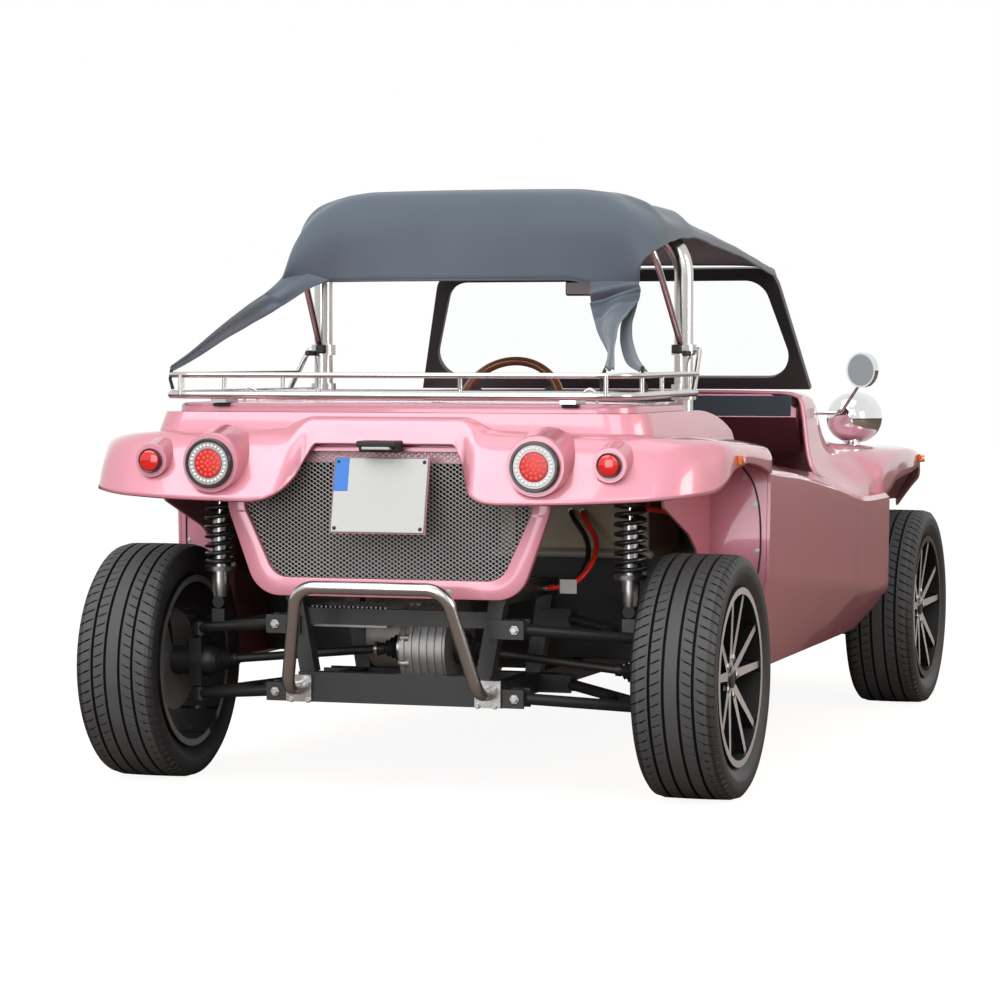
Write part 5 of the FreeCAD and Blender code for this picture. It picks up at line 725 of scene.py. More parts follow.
def side_skin(turn):
    """Runs of the side rows smoothed along the car, with a soft bend at the crease and a rolled top edge."""
    rows = []
    for line in row_points(SIDE_ROWS):
        y = line[0, 1]
        ledge, roll, top, crease, foot = line[:, ::2]
        above, below = crease + (top - crease) * 0.05, crease + (foot - crease) * 0.10
        line = [ledge, ledge + (roll - ledge) * 0.9, roll, top, top + (crease - top) * 0.05,
                crease + (top - crease) * 0.5, above, crease, below, crease + (foot - crease) * 0.35,
                crease + (foot - crease) * 0.6, foot + (crease - foot) * 0.15, foot, foot - (0.02, 0),
                (0.6553, foot[1])]
        rows.append([(x * turn, y, z) for x, z in line])
    rows = smooth_rows(np.array(rows), 6)
    height, cut = np.array(FRONT_CORNER).T * MM
    rows[..., 1] = np.maximum(rows[..., 1], np.interp(rows[..., 2], height, cut))
    return thicken(grid_piece("side_skin", rows[::-turn], metallic_paint()), sizes().wall)


def body_sides():
    """Both side skins with the flat liners that close them towards the rear arches."""
    parts, fittings = [], []
    y = SIDE_ROWS[-1][0] * MM
    for turn in SIDES:
        skin = side_skin(turn)
        apply_all(skin)
        parts.append(tidy_mesh(skin, 32))
        outline = np.array([[(x * MM * turn, d, z * MM) for x, z in LINER] for d in (y - 0.008, y)])
        middles = outline.mean(1, keepdims=True).repeat(len(LINER), 1)
        rows = np.concatenate([middles[:1], outline, middles[1:]])
        parts.append(tidy_mesh(grid_piece("arch_liner", rows, metallic_paint(), wrap_columns=True)))
        seam = smooth_rows([(x * MM * turn, y + 0.0006, z * MM) for x, z in LINER_SEAM], 4)
        fittings.append(tube_piece("liner_seam", seam, 0.0024, rubber_trim(), 8))
        places = [(x * MM * turn, y, z * MM) for x, z in LINER_SCREWS]
        fittings.append(bolt_heads("liner_screws", places, REARWARD, 0.009, 0.003))
    settle_joined("liner_fittings", fittings, "frame_black")
    settle_joined("side_panels", parts, "body_paint", "body_sides")


# Front body: place along the car, then (x, z) from the middle over the bonnet and the wing's crown to its lip
FRONT_ROWS = (
    (-235, (0, 983), (535, 979), (609, 964), (644, 767), (697, 711), (747, 678), (748, 658)),
    (-415, (0, 981), (535, 977.5), (606, 954.5), (642, 777), (697, 729.5), (747, 682), (748, 660)),
    (-518, (0, 960), (494, 954.5), (579, 931), (637, 792), (697, 756), (748, 695), (750, 665)),
    (-579, (0, 948), (468, 941), (557, 910), (629, 801), (698, 770), (750, 711), (752, 667)),
    (-629, (0, 938), (445.5, 930), (538, 892), (620, 808), (703, 786), (773.5, 732), (775, 659)),
    (-723, (0, 924), (401, 915), (502, 877), (595, 818), (698, 803), (775, 758), (777, 677)),
    (-816, (0, 908), (364.5, 898), (476, 856), (577, 816.5), (690, 806), (775, 781), (778, 705)),
    (-900, (0, 892), (330, 882), (450, 843), (560, 814), (680, 805), (773.5, 789), (776, 711)),
    (-1002, (0, 873), (314, 863), (435, 825), (550, 808), (671, 803), (770, 790), (773, 716)),
    (-1100, (0, 852), (300, 842), (420, 813), (540, 803), (660, 802), (766, 787), (769.5, 720)),
    (-1225, (0, 819), (290, 809), (410, 786), (531, 786), (646, 790), (756, 780), (758, 726)),
    (-1350, (0, 782.5), (280, 772), (400, 758), (520, 764), (630, 773), (740, 767), (743, 728)),
    (-1455, (0, 741), (275, 734), (390, 729), (510, 740), (616, 752), (722.5, 749), (725, 711)),
    (-1550, (0, 695), (270, 693), (380, 695), (500, 711), (600, 725), (700, 723), (702, 683)),
    (-1613, (0, 638), (265, 638.4), (369, 646), (480, 680), (580, 698), (670, 696.5), (672, 659)),
    (-1660, (0, 595), (260, 597), (360, 609.5), (460, 643), (560, 665), (640, 665), (642, 630)),
    (-1710, (0, 501), (250, 506), (344, 524.5), (440, 572), (530, 605), (599, 614), (602, 586)),
)


def front_moulding():
    """Bonnet and both front wings as one smooth skin through the front rows."""
    rows = smooth_grid(mirror_across(row_points(FRONT_ROWS)), 5, 5)
    skin = grid_piece("front_moulding", rows[:, ::-1], metallic_paint())
    settle(thicken(skin, sizes().wall), "body_paint", "front_body")


# Cloth top: place along the car, then (x, z) from the middle to the lower edge
CANOPY_ROWS = (
    (-315, (0, 1348), (305, 1347), (406, 1346), (478, 1340), (511, 1330), (519, 1311)),
    (-111, (0, 1374), (305, 1373), (406, 1373), (478, 1367), (512, 1353), (520, 1335)),
    (93, (0, 1400), (305, 1398), (406, 1397), (478, 1391), (513, 1376), (521, 1358)),
    (345, (0, 1431), (305, 1430), (401, 1427), (475, 1418), (514, 1397), (522, 1376)),
    (597, (0, 1463), (295, 1461), (400, 1459), (468, 1449), (512, 1415), (523, 1394)),
    (669, (0, 1474), (295, 1473), (402, 1472), (468, 1464), (513, 1423), (524, 1396)),
    (777, (0, 1494), (279, 1492), (374, 1485), (448, 1462), (506, 1405), (520, 1345)),
    (837, (0, 1510), (274, 1508), (366, 1503), (447, 1478), (503, 1409), (518, 1312)),
    (867, (0, 1514), (269, 1512), (355, 1503), (432, 1469), (494, 1398), (518, 1300)),
    (897, (0, 1505), (269, 1502), (350, 1493), (428, 1460), (492, 1386), (519, 1293)),
    (921, (0, 1463), (264, 1461), (351, 1457), (434, 1433), (495, 1362), (519, 1288)),
    (939, (0, 1392), (264, 1391), (345, 1388), (432, 1370), (493, 1321), (517, 1284)),
    (951, (0, 1279), (264, 1279), (345, 1279), (429, 1279), (490, 1279), (513, 1279)),
)
# Right-hand edge of the same rows from the 7th on, which is pulled up off the hoop: last two points as (x, z)
RIGHT_EDGE = (
    ((-512, 1414), (-520, 1385)),
    ((-505, 1414), (-518, 1378)),
    ((-500, 1410), (-515, 1372)),
    ((-494, 1398), (-510, 1366)),
    ((-474, 1384), (-491, 1349)),
    ((-452, 1346), (-470, 1321)),
    ((-428, 1262), (-450, 1262)),
)
# The hem falls by this from one point of the last row to the next, in metres
HEM_DIP = 0.009


def drape(points):
    """Folds: sines across the car that grow down the valance, pulls along its side, and a sag between the bows."""
    x, y, z = points[..., 0], points[..., 1], points[..., 2]
    wide = np.abs(x)
    low = np.clip((1.50 - z) / 0.20, 0, 1) * np.clip((y - 0.86) / 0.08, 0, 1)
    fold = np.sin(x * 26 + 1.2 + 2.2 * (1.4 - z)) * 0.55 + np.sin(x * 47 - 0.6) * 0.30 + np.sin(x * 13 + 0.4) * 0.45
    slow = np.sin(x * 9 + z * 16) * 0.3
    points[..., 1] += (fold + slow) * low * (0.008 + 0.008 * np.clip((wide - 0.1) / 0.3, 0, 1))
    sag = np.clip(np.sin((y + 0.315) / 0.985 * math.pi), 0, 1) * (1 - (wide / 0.55) ** 2)
    points[..., 2] -= np.where(y < 0.67, np.clip(sag, 0, 1) * 0.010, 0)
    side = np.clip((wide - 0.36) / 0.12, 0, 1)
    pull = np.sin(y * 27 + wide * 34) * 0.6 + np.sin(y * 51 - wide * 22) * 0.4
    points[..., 2] += pull * 0.0042 * side * (1 - low) * np.clip((y - 0.55) / 0.15, 0.25, 1)
    return points


def run_lengths(points, axis):
    """Lengths of a grid's steps along one of its directions."""
    return np.linalg.norm(np.diff(points, axis=axis), axis=-1)


def cloth_uv(points, scale=0.5):
    """Lengths along the two directions of a grid, as UV."""
    along, across = [np.concatenate([[0], np.cumsum(run_lengths(points, axis).mean(1 - axis))]) for axis in (0, 1)]
    return np.stack(np.broadcast_arrays(across[None, :] * scale, along[:, None] * scale), -1)


def cloth_top():
    """The canopy rows smoothed and draped, with hems round the edge and stitching beside them."""
    rows = mirror_across(row_points(CANOPY_ROWS))
    rows[6:, 1::-1, ::2] = np.array(RIGHT_EDGE) * MM
    last = rows[-1]
    last[:, 1] -= np.abs(np.arange(len(last)) - len(last) // 2) * HEM_DIP
    last[2:4, ::2] = ((-0.398, 1.258), (-0.335, 1.266))
    points = drape(smooth_grid(rows, 8, 8))
    cloth = woven_cloth()
    piece = thicken(grid_piece("cloth_top", points[:, ::-1], cloth, uv=cloth_uv(points)[:, ::-1]), sizes().cloth)
    settle(piece, "cloth", "canopy")
    hems = [tube_piece("hem", edge + (0, 0, 0.001), 0.0034, cloth, 8)
            for edge in (points[-1], points[:, 0], points[:, -1], points[0])]
    hems += [tube_piece("stitching", line + lift, 0.0013, cloth, 6) for line, lift in (
        (points[-5], (0, 0.0012, 0)), (points[:, 5], (0, 0, 0.0012)), (points[:, -6], (0, 0, 0.0012)))]
    settle_joined("cloth_hem", hems, "cloth")
    seam_row = np.argmin(np.abs(points[:, points.shape[1] // 2, 1] - 0.88))
    settle(tube_piece("top_seam", points[seam_row] + (0, 0.001, 0.0005), 0.0028, cloth, 8), "cloth")


# Tails of the cloth: points of the two edges, from the cloth top to the strap
LEFT_TAIL = (
    ((519, 912, 1308), (380, 951, 1281)),
    ((521, 940, 1288), (425, 953, 1266)),
    ((527, 985, 1264), (470, 966, 1238)),
    ((533, 1060, 1238), (507, 1030, 1200)),
    ((539, 1153, 1207), (537, 1125, 1162)),
    ((546, 1256, 1172), (543, 1256, 1128)),
    ((557, 1360, 1130), (554, 1360, 1094)),
    ((577, 1440, 1087), (573, 1440, 1066)),
    ((599, 1487, 1058), (595, 1487, 1046)),
)
RIGHT_TAIL = (
    ((-335, 953, 1272), (-455, 928, 1272)),
    ((-337, 957, 1241), (-464, 932, 1252)),
    ((-337, 960, 1221), (-463, 937, 1238)),
    ((-343, 968, 1203), (-457, 950, 1220)),
    ((-360, 1000, 1174), (-447, 990, 1192)),
    ((-391, 1070, 1141), (-449, 1060, 1166)),
    ((-442, 1180, 1105), (-473, 1180, 1120)),
    ((-485, 1300, 1080), (-504, 1300, 1090)),
    ((-527, 1490, 1047), (-556, 1490, 1047)),
)
STRAP = (
    ((-440, 926, 1252), (-456, 910, 1258)),
    ((-432, 934, 1212), (-453, 918, 1226)),
    ((-426, 970, 1169), (-452, 956, 1179)),
    ((-438, 1030, 1133), (-469, 1030, 1138)),
    ((-465, 1110, 1098), (-500, 1110, 1100)),
    ((-505, 1200, 1065), (-539, 1200, 1070)),
    ((-564, 1300, 1046), (-586, 1300, 1046)),
)
# Ridges of the gathered knot: where each meets the first and the second edge, half width, height and fall across
KNOT = ((0.130, 0.045, 0.030, 0.007, 0.0), (0.235, 0.120, 0.055, -0.020, 0.75), (0.335, 0.110, 0.035, 0.010, 0.0),
        (0.480, 0.300, 0.050, -0.007, 0.3))


def tail_cloth(edges, outward, belly, crease, waves, ridges=()):
    """A tapering strip between two edges. It bulges outward by belly times a half sine, with creases that
    deepen as the strip narrows, crease times a sine of the place across, and slanted bell-shaped ridges."""
    share = np.linspace(0, 1, 33)
    edges = smooth_rows(np.array(edges) * MM, 12)
    first, second = edges[:, :1], edges[:, 1:]
    points = first + (second - first) * share[None, :, None]
    out = np.cross(np.gradient(points.mean(1), axis=0), (second - first)[:, 0])
    out /= np.linalg.norm(out, axis=1)[:, None]
    out *= np.where(out @ np.array(outward) < 0, -1, 1)[:, None]
    t = np.linspace(0, 1, len(points))[:, None]
    tight = np.clip(t * 2.2, 0, 1) * (1 - 0.35 * t)
    push = belly * np.sin(share * math.pi) + crease * tight * np.sin(share * waves * 2 * math.pi + t * 5)
    for start, end, wide, height, fall in ridges:
        middle = start + (end - start) * share
        push = push + height * (1 - fall * share) * np.exp(-((t - middle) / wide) ** 2) * np.clip(t / 0.05, 0, 1)
    return points + push[..., None] * out[:, None]


# Each tail: edges, then which way is outward, belly, crease, waves across and ridges
TAILS = {"left": (LEFT_TAIL, (0.6, 0.5, 0.6), 0.005, 0.0045, 1.7),
         "right": (RIGHT_TAIL, (-0.4, 1.0, 0.4), 0.006, 0.0075, 1.6, KNOT),
         "strap": (STRAP, (-0.4, 1.0, 0.4), 0.003, 0.003, 1.2)}


def cloth_tails():
    """Two tapering tails and a strap; the left tail stands for the CAD's node of all three."""
    for name, facts in TAILS.items():
        points = tail_cloth(*facts)
        piece = grid_piece(f"cloth_tail_{name}", points, woven_cloth(), uv=cloth_uv(points))
        thicken(piece, sizes().cloth, 0)
        settle(piece, "cloth", *(["canopy_tails"] if name == "left" else []))


# Wheels: middles of the round grooves on one half of the tread, and where the tread is sampled, in metres
GROOVES = (0.019, 0.054)
TREAD_STOPS = (0.0865, 0.0790, 0.0700, 0.0640, 0.0600, 0.0480, 0.0420, 0.0365, 0.0310, 0.0250, 0.0130, 0.0065)
# Side wall from bead to shoulder, as shares of half the width and of the height
TYRE_WALL = ((0.80, 0.0), (0.845, 0.07), (0.93, 0.25), (0.985, 0.45), (0.99, 0.62), (0.965, 0.80), (0.90, 0.93))
# Where one cut starts, lies and ends, as shares of the way round to the next one
CUT_PHASES = (0.05, 0.09, 0.36, 0.64, 0.91, 0.95)
CUT_SLANT = 18


def tread_surface():
    """Tyre skin as (distance along the axle, radius, angle) over the section and round the wheel.

    The section is a rounded box from bead to bead, with a row of points at each groove's lips and
    floor. The radius drops in the round grooves, in slanted cuts across the shoulders and in fine slits."""
    half, radius, bead = TYRE_HALF, TYRE_R, RIM_R + 0.0003
    height, lip = radius - bead, sizes().groove_width / 2
    wall = smooth_rows(np.array(TYRE_WALL) * (half, height) + (0, bead), 4)
    lips = [groove + side * share for groove in GROOVES for side in SIDES for share in (lip, lip * 0.72)]
    stops = np.append(sorted([*TREAD_STOPS, *lips], reverse=True), 0.0)
    crown = radius - 0.0006 * (stops / 0.06) ** 2 - 0.010 * np.clip((stops - 0.078) / 0.018, 0, 1) ** 2
    side = np.concatenate([wall, np.column_stack([stops, crown])])
    section = np.concatenate([side, side[-2::-1] * (-1, 1)])
    cuts = sizes().sipe_count
    phase = np.tile(CUT_PHASES, cuts)
    cut = np.abs(phase - 0.5) > 0.43
    around = (np.repeat(np.arange(cuts), len(CUT_PHASES)) + phase) * 2 * math.pi / cuts
    turn = around[None, :] - np.abs(section[:, :1]) * CUT_SLANT * 2 * math.pi / cuts
    a, r = [np.repeat(section[:, k:k + 1], len(phase), 1) for k in (0, 1)]
    wide = np.abs(a)
    near = np.abs(wide[..., None] - np.array(GROOVES)).min(-1)
    groove = near < lip * 0.8
    shoulder = np.clip((wide - 0.062) / 0.004, 0, 1) * cut
    slit = (near > lip * 1.2) & (wide < 0.050) & (wide > 0.026) & cut
    depth = np.maximum(np.maximum(groove, shoulder * 0.65), slit * 0.4) * sizes().groove_depth
    r = np.where(r > radius - 0.016, r - depth, r)
    ring = (wide > half * 0.88) & (np.abs(r - bead - height * 0.72) < 0.012)
    return a + np.sign(a) * np.sin((r - bead) * 900) * 0.0005 * ring, r, turn


def tyre(axle, side):
    """One tyre: its skin, with its own finish in the grooves and on the walls."""
    low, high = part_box(f"tyre_{axle}_{side}")
    centre = (np.array(low) + np.array(high)) / 2
    a, r, turn = tread_surface()
    points = np.stack([centre[0] + a, centre[1] + r * np.cos(turn), centre[2] + r * np.sin(turn)], -1)
    piece = grid_piece(f"tyre_skin_{axle}_{side}", points, tyre_rubber(), wrap_rows=True, wrap_columns=True)
    corners = grid_quads(*r.shape, True, True)
    across, depth = np.abs(a.ravel()[corners].mean(1)), (TYRE_R - r).ravel()[corners].mean(1)
    # Painted shade: the groove floors get a near-black colour, darker than the rubber, where shade falls in them.
    black = (depth > sizes().groove_depth * 0.35) & (across < 0.080)
    wall = (across > 0.088) | (depth > 0.016)
    piece.data.materials.append(finish("Painted groove shade", (0.003, 0.003, 0.0035), 0.9))
    piece.data.materials.append(add_grain(finish("Tyre wall", (0.022, 0.022, 0.022), 0.5), 500, 14, 0.1, 0.42, 0.6))
    piece.data.polygons.foreach_set("material_index", np.where(wall, 2, np.where(black, 1, 0)).astype(np.int32))
    settle(tidy_mesh(piece), "tyre", f"tyre_{axle}_{side}", body=f"wheel_{axle}_{side}")


def face_facts(data):
    """Normals and centres of a mesh's faces, as two arrays."""
    facts = []
    for label in ("normal", "center"):
        values = np.empty(len(data.polygons) * 3, np.float32)
        data.polygons.foreach_get(label, values)
        facts.append(values.reshape(-1, 3))
    return facts


# Distances from a rim's middle at which its finishes and painted shade change: hub, nuts, disc and the outer ends of
# the spokes
HUB_R, NUTS_R, DISC_R, SPOKES_R = 0.045, 0.048, (0.07, 0.130), 0.205


def rim(axle, side):
    """The CAD rim, black, with its spoke faces and lip machined bright, a cap and five nuts."""
    node, body = f"rim_{axle}_{side}", f"wheel_{axle}_{side}"
    data = dressed_copy(node, rim_black(), "rim", body, 30).data
    for material in (finish("Machined face", (0.60, 0.60, 0.60), 0.35, 0.55), cast_alloy(),
                     finish("Inner barrel, painted shade", (0.006, 0.006, 0.0065), 0.55),
                     finish("Brake disc, painted shade", (0.055, 0.054, 0.052), 0.42, 0.9)):
        data.materials.append(material)
    outward = 1 if side == "left" else -1
    low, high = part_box(node)
    y, z = (low.y + high.y) / 2, (low.z + high.z) / 2
    normal, centre = face_facts(data)
    away = np.hypot(centre[:, 1] - y, centre[:, 2] - z)
    depth, facing = (centre[:, 0] - TRACK_X * outward) * outward, normal[:, 0] * outward
    bright = (facing > 0.8) & (away > HUB_R) & (away < SPOKES_R) & (depth > 0.04)
    bright |= (facing > 0.9) & (away > SPOKES_R) & (depth > 0.09)
    # Painted shade: the inner barrel and the brake disc get near-black colours, darker than their own finish, where
    # shade falls inside the wheel.
    inward = depth < 0.02
    disc = (depth < -0.02) & (away > DISC_R[0]) & (away < DISC_R[1])
    index = np.where(bright, 1, np.where(disc, 4, np.where(inward & (away < 0.05), 2, np.where(inward, 3, 0))))
    data.polygons.foreach_set("material_index", index.astype(np.int32))
    cap_x = TRACK_X * outward + outward * max(depth[(away < 0.03)].max(), 0.06)
    axis = (outward, 0, 0)
    places = round_places((cap_x - outward * 0.008, y, z), NUTS_R, 5, 0.63, (1, 2))
    parts = [turned_piece("cap", ((-0.003, 0), (-0.003, 0.029), (0.006, 0.027), (0.009, 0.020), (0.009, 0)),
                          (cap_x, y, z), axis, rim_black(), 40),
             bolt_heads("nuts", places, axis, 0.017, 0.014)]
    settle_joined(f"wheel_cap_{axle}_{side}", parts, "rim", body=body)


# Running gear
def helix(start, end, radius, turns, steps_a_turn=20):
    """A coil about the line from start to end, its two end turns closed up."""
    start, end = np.array(start, float), np.array(end, float)
    reach = np.linalg.norm(end - start)
    axis = (end - start) / reach
    side = np.cross(axis, REARWARD)
    side /= np.linalg.norm(side)
    up = np.cross(axis, side)
    t = np.linspace(0, 1, int(turns * steps_a_turn) + 1)
    angle = (t * turns * 2 * math.pi)[:, None]
    climb = np.interp(t, (0, 0.9 / turns, 1 - 0.9 / turns, 1), (0, 0.045, 0.955, 1.0))
    return start + axis * (climb * reach)[:, None] + radius * (np.cos(angle) * side + np.sin(angle) * up)


EYE = ((-0.017, 0), (-0.017, 0.0155), (-0.014, 0.0168), (0.014, 0.0168), (0.017, 0.0155), (0.017, 0))
SPRING_R = 0.0415
SPRING_REACH = 0.27


def shock(name, low, high):
    """Coil-over shock absorber between two eyes: rod, body, spring seats and coil."""
    low, high = np.array(low, float), np.array(high, float)
    reach = np.linalg.norm(high - low)
    axis = (high - low) / reach
    silver = finish("Damper body", (0.50, 0.51, 0.52), 0.28, 1.0)
    spring = finish("Black spring", (0.014, 0.014, 0.015), 0.3, 0.0, 0.4)
    top = reach - 0.028
    foot = max(top - SPRING_REACH, reach * 0.3)
    wire, r = sizes().spring_wire / 2, SPRING_R
    body = ((0.012, 0), (0.012, 0.017), (0.03, 0.021), (foot * 0.55, 0.021), (foot * 0.55, 0.023),
            (foot - 0.012, 0.023), (foot - 0.012, r * 0.96), (foot, r * 0.99), (foot, 0.019),
            (foot + 0.13, 0.019), (foot + 0.13, 0))
    rod = ((foot + 0.1, 0), (foot + 0.1, 0.008), (top, 0.008), (top, 0))
    seat = ((top - 0.002, 0), (top - 0.002, r * 0.99), (top + 0.007, r * 0.96), (top + 0.009, 0.015), (top + 0.012, 0))
    parts = [turned_piece(part, profile, low, axis, material, sides) for part, profile, material, sides in (
        ("body", body, silver, 40), ("rod", rod, chrome(), 20), ("seat", seat, silver, 40))]
    coil = helix(low + axis * (foot + wire), low + axis * (top - wire), r - wire, sizes().spring_turns)
    parts.append(tube_piece("coil", coil, wire, spring, 10))
    parts += [turned_piece("eye", EYE, place, REARWARD, rubber_trim(), 28) for place in (low, high)]
    return joined(name, parts)


# Lower and upper eye of each shock absorber on the left
SHOCKS = {"rear_shocks": ((0.545, 1.3046, 0.455), (0.545, 1.3046, 0.760)),
          "front_shocks": ((0.485, -1.095, 0.2804), (0.4462, -1.095, 0.660))}


def shocks():
    for node, ends in SHOCKS.items():
        parts = [shock(node, *[(x * turn, y, z) for x, y, z in ends]) for turn in SIDES]
        settle_joined(f"{node}_pair", parts, "damper", node)


# Wide end of each half shaft's boot, and which way the boot runs from there
BOOTS = ((0.031, 1), (-0.091, -1))


def boots():
    """Half shafts with pleated boots, and steel bands round both ends of each boot."""
    dressed_copy("half_shafts", finish("Boot rubber", (0.010, 0.010, 0.010), 0.5), "frame_black", angle=40)
    low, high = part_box("half_shafts")
    bands = []
    for start, turn in BOOTS:
        for reach, r in ((0.022, 0.0465), (0.094, 0.0185)):
            place = (start + turn * reach, (low.y + high.y) / 2, SHAFT_Z - 0.0045 * reach / 0.05)
            bands.append(turned_piece("band", ((-0.004, r * 0.9), (-0.004, r), (0.004, r), (0.004, r * 0.9)), place,
                                      ACROSS, bolt_steel(), 32))
    settle_joined("boot_bands", bands, "stainless")


# Pivot bolts of the rear arms on the left, as (x, z)
ARM_BOLTS = ((0.312, 0.420), (0.312, 0.252))


def frames_and_arms():
    """The black frame, arms and knuckles, with the heads of the rear arms' bolts."""
    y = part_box("rear_arms")[1].y + 0.0085
    places = [(x * turn, y, z) for turn in SIDES for x, z in ARM_BOLTS]
    settle(bolt_heads("arm_bolts", places, REARWARD, 0.015, 0.008), "stainless")
    for node in ("chassis_frame", "rear_subframe", "front_subframe", "rear_arms", "front_arms", "rear_uprights",
                 "pedals"):
        dressed_copy(node, black_coat(), "frame_black")
    for node in ("knuckle_left", "knuckle_right"):
        dressed_copy(node, black_coat(), "frame_black", node)
    dressed_copy("steering_rack", stainless(), "frame_black", "steering_rack")


# Lamps
def dots(name, centre, radius, count, size, material, phase=0.0):
    """Small domes in a ring on a face that looks along +Y."""
    profile = ((0, size), (size * 0.4, size * 0.8), (size * 0.62, size * 0.35), (size * 0.68, 0))
    return stamped(name, profile, round_places(centre, radius, count, phase, (0, 2)), REARWARD, 8, material, 60)


def tail_lamp(turn):
    """Round lamp: dark bezel, pale outer ring with clear lights and a red middle with red lights."""
    deep, r = LAMP_FACE - LAMP_BACK, LAMP_R
    centre = np.array([LAMP_X * turn, LAMP_BACK, LAMP_Z])
    pale = finish("Lamp silver", (0.40, 0.385, 0.385), 0.28, 0.4)
    red = finish("Lamp red field", (0.42, 0.02, 0.018), 0.25)
    glow = finish("Red lights", (0.9, 0.05, 0.03), 0.2, Emission_Color=(1.0, 0.04, 0.02, 1), Emission_Strength=0.55)
    clear = finish("Clear lights", (0.85, 0.83, 0.83), 0.12)
    bezel = ((0, 0), (0, r), (deep * 0.7, r), (deep, r - 0.003), (deep, r - 0.0075), (deep * 0.55, r - 0.009),
             (deep * 0.5, 0))
    ring = ((deep * 0.5, 0.036), (deep * 0.72, 0.0362), (deep * 0.72, r - 0.0092), (deep * 0.5, r - 0.009))
    field = ((deep * 0.5, 0.0358), (deep * 0.80, 0.0350), (deep * 0.84, 0.030), (deep * 0.86, 0))
    parts = [turned_piece(name, profile, centre, REARWARD, material) for name, profile, material in (
        ("bezel", bezel, lamp_bezel()), ("ring", ring, pale), ("field", field, red))]
    parts += [dots(name, centre + (0, deep * rise, 0), radius, count, size, material, phase)
              for name, rise, radius, count, size, material, phase in (
                  ("clear", 0.72, 0.0440, 28, 0.0038, clear, 0.0),
                  ("red_outer", 0.82, 0.0275, 14, 0.0042, glow, 0.0),
                  ("red_middle", 0.85, 0.0165, 9, 0.0042, glow, 0.2),
                  ("red_inner", 0.86, 0.0065, 4, 0.0040, glow, 0.0))]
    return parts


def rear_lamps():
    """Both tail lamps, and both round reflectors with their rims."""
    settle_joined("tail_lamp_pair", [part for turn in SIDES for part in tail_lamp(turn)], "lens_red", "tail_lamps")
    deep, r = REFLECTOR_FACE - REFLECTOR_BACK, REFLECTOR_R
    profile = ((0, 0), (0, r * 0.88), (deep * 0.6, r * 0.88), (deep * 0.8, r * 0.82), (deep * 0.95, r * 0.6), (deep, 0))
    edge = ((0, r * 0.86), (0, r), (deep * 0.62, r), (deep * 0.72, r * 0.95), (deep * 0.66, r * 0.88),
            (deep * 0.3, r * 0.87))
    place = (REFLECTOR_X, REFLECTOR_BACK, REFLECTOR_Z, REARWARD)
    parts = turned_pair("lens", profile, *place, finish("Red lens", colours().lamp_red, 0.12, 0.0, 0.6))
    settle_joined("reflector_pair", parts + turned_pair("rim", edge, *place, lamp_bezel()), "lens_red", "reflectors")


# Shell of a headlamp: distance share from its rear, radius share; its foot; and its glass in the same shares
SHELL = ((0.0, 0.0), (0.0, 0.28), (0.03, 0.46), (0.10, 0.68), (0.22, 0.84), (0.40, 0.94), (0.62, 0.985), (0.86, 1.0),
         (0.87, 1.0), (0.985, 0.995), (1.0, 0.975), (1.0, 0.91), (0.955, 0.90), (0.955, 0.0))
LAMP_FOOT = ((0, 0), (0, 0.030), (0.012, 0.024), (0.03, 0.019), (0.10, 0.019), (0.10, 0))
LAMP_DOME = ((0.956, 0), (0.956, 0.895), (0.975, 0.86), (0.99, 0.6), (0.998, 0))


def headlamps():
    """Chrome bullet shells on short feet, with a domed glass in front."""
    low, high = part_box("headlamps")
    lens_low, lens_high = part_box("headlamp_lenses")
    z = (lens_low.z + lens_high.z) / 2
    r = high.z - z
    x, reach = high.x - r, high.y - low.y
    shells = turned_pair("shell", np.array(SHELL) * (-reach, r), x, high.y, z, REARWARD, chrome(), 72, 30)
    feet = turned_pair("foot", LAMP_FOOT, x, high.y - reach * 0.5, low.z, UPWARD, chrome(), 32)
    settle_joined("headlamp_pair", shells + feet, "chrome", "headlamps")
    glass = finish("Headlamp glass", (0.8, 0.83, 0.85), 0.08, 0.0, 0.5)
    lenses = turned_pair("glass", np.array(LAMP_DOME) * (-reach, r), x, high.y, z, REARWARD, glass)
    settle_joined("headlamp_glasses", lenses, "screen_glass", "headlamp_lenses")


# Side markers on the left: inner lower corner and outer upper corner
MARKERS = (((0.8103, 1.275, 0.8165), (0.8280, 1.325, 0.8450)), ((0.7445, -1.338, 0.7405), (0.7640, -1.288, 0.7665)))
MARKER_STEP = (0, 0.002, 0.002)


def side_markers():
    """Small amber lenses on black feet on the wings' sides."""
    amber = finish("Amber lens", colours().amber, 0.15, 0.0, 0.5)
    parts = []
    for turn in SIDES:
        for corners in MARKERS:
            low, high = np.array(corners) * (turn, 1, 1)
            waist = low[0] + (high[0] - low[0]) * 0.25
            parts.append(block("foot", low, (waist, *high[1:]), rubber_trim(), 0.0015))
            parts.append(block("lens", (waist, *low[1:]) + np.array(MARKER_STEP), high - MARKER_STEP, amber, 0.003))
    for part in parts:
        tidy_mesh(part, 30)
    settle_joined("side_marker_set", parts, "lens_amber", "side_markers")


# Tubes: bolts of the rear bumper's foot plate on the left, as (x, z), and the box that holds its flat faces
BUMPER_BOLTS = ((0.221, 0.234), (0.265, 0.234), (0.221, 0.278), (0.265, 0.278))
FOOT_PLATE = ((0.20, 0.285), (0.215, 0.295))


